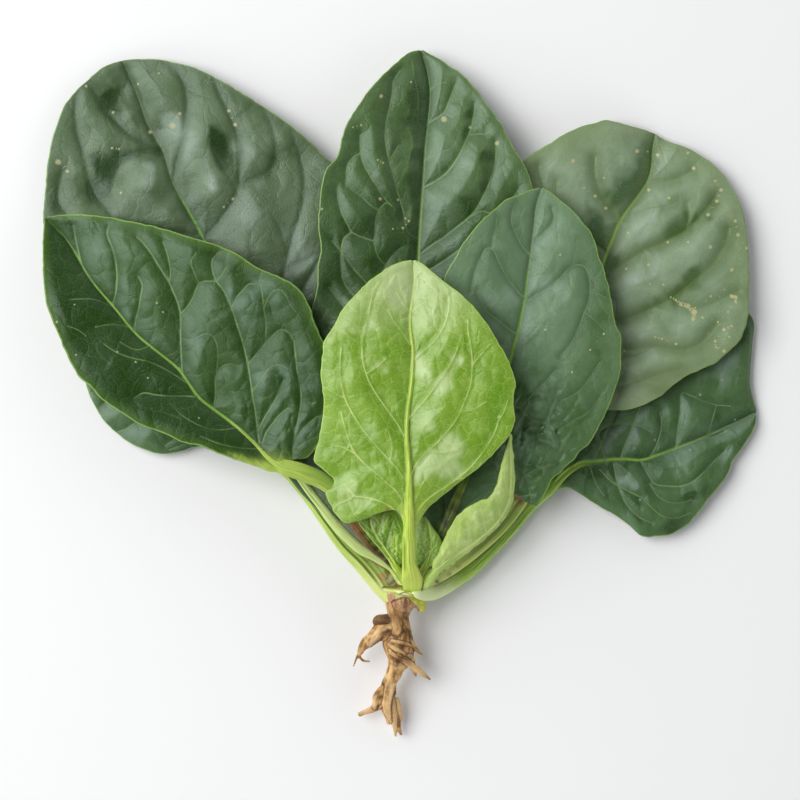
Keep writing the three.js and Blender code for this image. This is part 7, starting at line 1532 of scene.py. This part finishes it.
def merged(name, parts, voxel, relief, material, node, soften=2):
    """The union of closed parts as one skin, with relief(points, normals) in mm added along its normals."""
    v, q, t, off = [], [], [], 0
    for pv, pq, pt in parts:
        v.append(pv); q += [tuple(i + off for i in f) for f in pq]; t += [tuple(i + off for i in f) for f in pt]
        off += len(pv)
    mesh = bpy.data.meshes.new(name + "_raw")
    mesh.from_pydata((np.vstack(v) * MM).tolist(), [], q + t)
    o = bpy.data.objects.new(name + "_raw", mesh)
    bpy.context.scene.collection.objects.link(o)
    m = o.modifiers.new("union", "REMESH")
    m.mode = "VOXEL"
    m.voxel_size = voxel * MM
    m.adaptivity = 0.0
    if soften:
        m2 = o.modifiers.new("soften", "SMOOTH")
        m2.factor = 0.5
        m2.iterations = soften
    dg = bpy.context.evaluated_depsgraph_get()
    done = bpy.data.meshes.new_from_object(o.evaluated_get(dg))
    bpy.data.objects.remove(o)
    n = len(done.vertices)
    co, no = np.zeros(n * 3, np.float32), np.zeros(n * 3, np.float32)
    done.vertices.foreach_get("co", co)
    done.vertices.foreach_get("normal", no)
    co, no = co.reshape(-1, 3).astype(float) / MM, no.reshape(-1, 3).astype(float)
    push, attributes = relief(co, no)
    co = co + no * push[:, None]
    co[:, 2] = np.maximum(co[:, 2], 0.05)
    done.vertices.foreach_set("co", (co * MM).astype(np.float32).ravel())
    for key, value in attributes.items():
        layer = done.attributes.new(key, "FLOAT_VECTOR", "POINT")
        layer.data.foreach_set("vector", np.asarray(value, np.float32).ravel())
    done.materials.clear()
    done.materials.append(material)
    done.polygons.foreach_set("use_smooth", np.ones(len(done.polygons), bool))
    done.name = name
    piece = bpy.data.objects.new(name, done)
    bpy.context.scene.collection.objects.link(piece)
    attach(piece, "root")
    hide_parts(node)
    return piece


def frame_along(p, lines):
    """Arc length along the nearest centre line, angle about it and distance over radius, per point."""
    best = np.full(len(p), 1e9)
    second = np.full(len(p), 1e9)
    out = np.zeros((len(p), 3))
    which = np.zeros(len(p), int)
    for k, (pts, radii) in enumerate(lines):
        n = max(12, int(length(pts) / 0.7))
        u = np.linspace(0, 1, n)
        c = at(pts, u)
        rr = np.interp(u, np.linspace(0, 1, len(radii)), radii)
        t = np.gradient(c, axis=0)
        t /= np.linalg.norm(t, axis=1)[:, None]
        d = np.linalg.norm(p[:, None, :] - c[None], axis=2)
        i = d.argmin(1)
        r = np.arange(len(p))
        rel = p - c[i]
        side = np.stack([t[i, 1], -t[i, 0], np.zeros(len(p))], 1)
        side /= np.maximum(np.linalg.norm(side, axis=1), 1e-6)[:, None]
        rise = np.cross(side, t[i])
        on = (rel * t[i]).sum(1)
        inside = (np.abs(on) < 2.0) & (i > 0) & (i < n - 1)
        near = np.where(inside, np.sqrt(np.maximum(d[r, i] ** 2 - on**2, 0)), d[r, i])
        score = near / rr[i]
        a = np.arctan2((rel * rise).sum(1), (rel * side).sum(1))
        s = u[i] * length(pts) + (rel * t[i]).sum(1)
        m = score < best
        second = np.where(m, best, np.minimum(second, score))
        best[m] = score[m]
        which[m] = k
        out[m] = np.stack([s[m] + 40 * k, a[m] * rr[i][m], rr[i][m]], 1)
    return out, np.exp(-5.0 * np.clip(second - best, 0, 5)), which


ROOT_LINES = [(np.asarray(p, float), np.asarray(r, float)) for p, r in ROOT.values()]
ROOT_TONE = {"tip_outer": 0.5, "tip_left": 0.25, "tip_middle": 0.9, "tip_right": 0.2, "tip_last": -0.35, "left_upper": -0.15, "left_curl": -0.9,
             "left_tip": 0.1, "left_twig": 0.1, "right_upper": 0.0, "right_side": -0.2, "strand_top": 0.45, "strand_over": 0.4, "strand_middle": 0.5,
             "strand_cross": 0.6, "left_stub": -0.45, "left_lower": 0.1}


def root_relief(co, no):
    f, crev, which = frame_along(co, ROOT_LINES)
    s, a, r = f.T
    tone = np.array([ROOT_TONE.get(n, 0.0) for n in ROOT])[which]
    plan = to_plan(co)
    for px, py, pr, ph in ROOT_PATCHES:
        tone = tone + ph * np.exp(-((plan[:, 0] - px) ** 2 + (plan[:, 1] - py) ** 2) / pr**2)
    k = 7 * np.floor(s / 40)
    wave = noise(a * 0.45 + k, s * 0.09, 0.6, 3) + 0.35 * noise(a * 1.3 + k, s * 0.14, 0.6, 5)
    rings = noise(s, a * 0.3, 1.7, 6)
    push = (0.15 * wave + 0.10 * rings) * np.clip(r / 2.2, 0.2, 1.0) + 0.34 * noise(s, a, 3.6, 1) * np.clip(r / 2.5, 0.1, 1)
    # crevices where two strands meet: they sink the skin a little and are painted as shade in the bark colour
    crev = crev * (1 - 0.6 * np.exp(-((plan[:, 0] - CROWN_CENTRE[0] + 3.6) ** 2 + (plan[:, 1] - CROWN_CENTRE[1] + 7.5) ** 2) / 5.0**2))
    push = push * (1 - 0.6 * crev) - 0.15 * crev**2
    return push, {"fibre": np.stack([s, a, wave], 1), "crev": np.stack([crev, tone, crev], 1)}


def crown_relief(co, no):
    """Push and zones over the crown: brown tissue, pale sheath, olive corner and pink strip, with painted shade in dark
    arcs at the brown tissue's upper edge and where the crown runs in under the leaves, from plan positions.
    """
    x, y, z = co.T
    plan = to_plan(co)
    px, py = plan[:, 0] - CROWN_CENTRE[0], plan[:, 1] - CROWN_CENTRE[1]
    px, py = px + 0.35 * noise(x, y, 1.7, 11), py + 0.35 * noise(x, y, 1.7, 12)
    arc = -1.3 - 0.14 * (px + 0.6) ** 2                       # upper limit of the brown tissue
    brown = 1 - smooth(-0.35, 0.30, py - arc)
    strip_l = np.exp(-(((px + 4.7 + 0.1 * py + 0.5 * noise(x, y, 1.3, 21)) / 1.3) ** 2)) * (1 - smooth(-1.4, 0.4, py + 0.6 * noise(x, y, 1.1, 22)))
    brown = np.maximum(brown * (1 - smooth(1.5, 2.3, px + 1.0 * (py + 1.3))), np.clip(1.4 * strip_l, 0, 1))
    # painted shade: dark arcs at the brown tissue's upper edge
    rim = np.exp(-(((py - arc) / 0.45) ** 2)) * brown + 0.8 * np.exp(-(((py - arc - 1.9 + 0.25 * np.abs(px)) / 0.30) ** 2)) * smooth(-2.6, -1.6, px) * (1 - smooth(1.6, 2.4, px))
    pale = smooth(-4.4, -3.2, px) * (1 - smooth(0.8, 2.2, px)) * (1 - smooth(-0.6, 0.3, py)) * (1 - brown)
    olive = smooth(0.8, 2.6, px) * (1 - smooth(-0.7, 0.7, py)) * (1 - brown)
    # painted shade where the crown runs in under the leaves
    dark = smooth(1.0, 2.2, py)
    fibre = noise(x * 0.5 + 0.2 * z, y * 0.25, 0.7, 2)
    push = 0.05 * fibre + 0.16 * noise(x, y + 0.5 * z, 2.4, 4) + 0.05 * brown * noise(x * 1.2, y * 0.6, 0.8, 5) - 0.25 * np.exp(-((py - arc + 0.5) / 0.55) ** 2) * brown
    return push, {"fibre": np.stack([y, x, fibre], 1), "zone": np.stack([brown, pale, olive], 1), "cleft": np.stack([dark, np.clip(rim, 0, 1), strip_l], 1)}


def root_material():
    N = Net("root_bark")
    f = N.attr("fibre")
    s, a, w = N.split(f)
    obj = N.vm("SCALE", N.n("ShaderNodeTexCoord").outputs["Object"], scale=1000.0)
    along_n = N.noise(N.join(N.m("MULTIPLY", s, 0.16), N.m("MULTIPLY", a, 0.75)), 1.0, 3, 0.55, 0.6)
    blot = N.noise(obj, 0.26, 3, 0.6)
    grit = N.noise(obj, 3.0, 3, 0.7)
    col = N.mix(N.range(along_n, 0.36, 0.64), rgb(120, 82, 42), rgb(194, 150, 94))
    col = N.mix(N.range(blot, 0.48, 0.66, 0.0, 0.75), col, rgb(222, 182, 124))
    col = N.mix(N.range(blot, 0.30, 0.46, 0.6, 0.0), col, rgb(112, 76, 42))
    # darker in the furrows of the fibre relief (painted shade) and paler on its ridges (painted highlight)
    col = N.mix(N.range(w, -1.1, -0.35, 0.85, 0.0), col, rgb(84, 54, 28))
    col = N.mix(N.range(w, 0.35, 1.2, 0.0, 0.5), col, rgb(232, 202, 158))
    col = N.mix(N.range(grit, 0.62, 0.76, 0.0, 0.35), col, rgb(104, 72, 42))
    crev, tone, _ = N.split(N.attr("crev"))
    tone = N.m("ADD", tone, N.m("MULTIPLY_ADD", blot, 0.8, -0.4))
    col = N.mix(N.range(tone, 0.1, 1.0, 0.0, 0.75), col, rgb(222, 184, 132))
    col = N.mix(N.range(tone, -1.1, -0.1, 0.9, 0.0), col, rgb(74, 48, 24))
    # painted shade in the crevices between strands
    col = N.mix(N.range(crev, 0.35, 0.95, 0.0, 0.85), col, rgb(70, 42, 20))
    h = N.m("ADD", along_n, N.m("MULTIPLY", grit, 0.3))
    nrm = N.bump(h, 0.18 * MM)
    return N.finish(col, N.range(blot, 0.3, 0.7, 0.60, 0.8), nrm, spec=0.35)


def crown_material():
    N = Net("crown_flesh")
    f = N.attr("fibre")
    s, a, w = N.split(f)
    brown, pale, olive = N.split(N.attr("zone"))
    cleft, rim, pink = N.split(N.attr("cleft"))
    obj = N.vm("SCALE", N.n("ShaderNodeTexCoord").outputs["Object"], scale=1000.0)
    lines = N.noise(N.join(N.m("MULTIPLY", s, 0.20), N.m("MULTIPLY", a, 0.9)), 1.0, 3, 0.6)
    blot = N.noise(obj, 0.35, 3, 0.6)
    col = N.mix(N.range(blot, 0.35, 0.65), rgb(176, 192, 84), rgb(214, 220, 140))
    col = N.mix(pale, col, N.mix(N.range(blot, 0.4, 0.6), rgb(172, 178, 104), rgb(208, 206, 150)))
    col = N.mix(olive, col, N.mix(N.range(blot, 0.4, 0.62), rgb(156, 158, 44), rgb(184, 186, 74)))
    bark = N.mix(N.range(lines, 0.36, 0.62), rgb(112, 78, 48), rgb(184, 142, 96))
    bark = N.mix(N.range(blot, 0.52, 0.66, 0.0, 0.6), bark, rgb(196, 150, 116))
    col = N.mix(brown, col, bark)
    col = N.mix(N.m("MULTIPLY", N.range(pink, 0.2, 0.8), 0.65), col, rgb(176, 126, 96))
    # painted shade: dark arcs at the brown tissue's edge, then darker olive-brown where the crown runs in under the
    # leaves
    col = N.mix(N.range(rim, 0.1, 0.9, 0.0, 0.9), col, rgb(74, 42, 34))
    col = N.mix(cleft, col, N.mix(N.range(blot, 0.4, 0.6), rgb(112, 128, 50), rgb(112, 74, 46)))
    nrm = N.bump(N.m("ADD", lines, blot), 0.12 * MM)
    return N.finish(col, N.range(blot, 0.3, 0.7, 0.36, 0.5), nrm, spec=0.5)


root_parts = []
for k, (root_name, (pts, radii)) in enumerate(ROOT.items()):
    root_parts.append(tube(pts, radii, seed=k, around=32 if k == 0 else 22, ridges=0.10, flat=1.0 if k == 0 else 0.8, step=0.5))
merged("taproot_bark", root_parts, 0.28, root_relief, root_material(), "taproot", soften=1)

core = np.asarray(CROWN_CENTRE, float)
crown_parts = [ball(core - np.array([0, 0, 0.6]), np.asarray(CROWN_HALF, float) * np.array([0.92, 0.92, 0.82])), tube([COLLAR[0], COLLAR[1]], [3.5, 4.4], 3),
               ball(core + np.array([-1.2, 4.4, -2.6]), np.array([5.2, 4.2, 2.0])), ball(core + np.array([0.8, 8.6, -3.2]), np.array([4.4, 4.0, 2.0])),
               tube(SHEATH, SHEATH_R, 4, step=0.4), tube(RIDGE, RIDGE_R, 5, step=0.4)]
merged("crown_flesh", crown_parts, 0.30, crown_relief, crown_material(), "crown", soften=3)


# ------------------------------------------------------------------ floor, light and camera
def floor():
    mesh = bpy.data.meshes.new("floor")
    s = 4.0
    n = 8
    g = np.linspace(-s, s, n + 1)
    v = [(x, y, 0.0) for y in g for x in g]
    f = [(i * (n + 1) + j, i * (n + 1) + j + 1, (i + 1) * (n + 1) + j + 1, (i + 1) * (n + 1) + j) for i in range(n) for j in range(n)]
    mesh.from_pydata(v, [], f)
    N = Net("floor_white")
    pos = N.vm("SCALE", N.n("ShaderNodeTexCoord").outputs["Object"], scale=1.0)
    tone = N.noise(pos, 2.0, 2, 0.5)
    mesh.materials.append(N.finish(N.mix(tone, (0.86, 0.86, 0.86, 1), (0.88, 0.88, 0.88, 1)), 0.9, None, spec=0.1))
    o = bpy.data.objects.new("floor", mesh)
    bpy.context.scene.collection.objects.link(o)


floor()


def area(name, where, look_at, size, radiance, colour=(1, 1, 1)):
    d = bpy.data.lights.new(name, "AREA")
    d.shape = "RECTANGLE"
    d.size, d.size_y = size
    d.energy = radiance * math.pi * size[0] * size[1]
    d.color = colour
    o = bpy.data.objects.new(name, d)
    o.location = where
    o.rotation_euler = (Vector(where) - Vector(look_at)).to_track_quat("Z", "Y").to_euler()
    bpy.context.scene.collection.objects.link(o)
    return o


area("window", (-0.90, 0.28, 1.14), (0, 0, 0), (1.15, 1.15), 5.4)

world = bpy.data.worlds.new("soft_room")
world.use_nodes = True
wt = world.node_tree
wt.nodes.clear()
wo = wt.nodes.new("ShaderNodeOutputWorld")
wb = wt.nodes.new("ShaderNodeBackground")
tc = wt.nodes.new("ShaderNodeTexCoord")
sep = wt.nodes.new("ShaderNodeSeparateXYZ")
mr = wt.nodes.new("ShaderNodeMapRange")
mr.interpolation_type = "SMOOTHSTEP"
wt.links.new(tc.outputs["Generated"], sep.inputs[0])
wt.links.new(sep.outputs[2], mr.inputs["Value"])
for key, value in (("From Min", 0.25), ("From Max", 0.85), ("To Min", 1.2), ("To Max", 0.04)):
    mr.inputs[key].default_value = value
wt.links.new(mr.outputs["Result"], wb.inputs["Strength"])
wb.inputs["Color"].default_value = (0.97, 0.985, 1.0, 1)
wt.links.new(wb.outputs[0], wo.inputs["Surface"])
bpy.context.scene.world = world

cam = bpy.data.cameras.new("camera")
cam.sensor_fit = "HORIZONTAL"
cam.sensor_width = 36.0
cam.lens = 36.0 * 720.0 / 256.0
cam.clip_start = 0.01
cam.clip_end = 20.0
co = bpy.data.objects.new("camera", cam)
co.location = (EYE[0] * MM, (EYE[1] - 0.48) * MM, EYE[2] * MM)
co.rotation_euler = (0.0, 0.0, 0.0)
bpy.context.scene.collection.objects.link(co)
bpy.context.scene.camera = co

bpy.context.scene.view_settings.view_transform = "Standard"
bpy.context.scene.view_settings.look = "None"
bpy.context.scene.view_settings.exposure = 0.0
bpy.context.scene.view_settings.gamma = 1.0

bpy.context.view_layer.update()
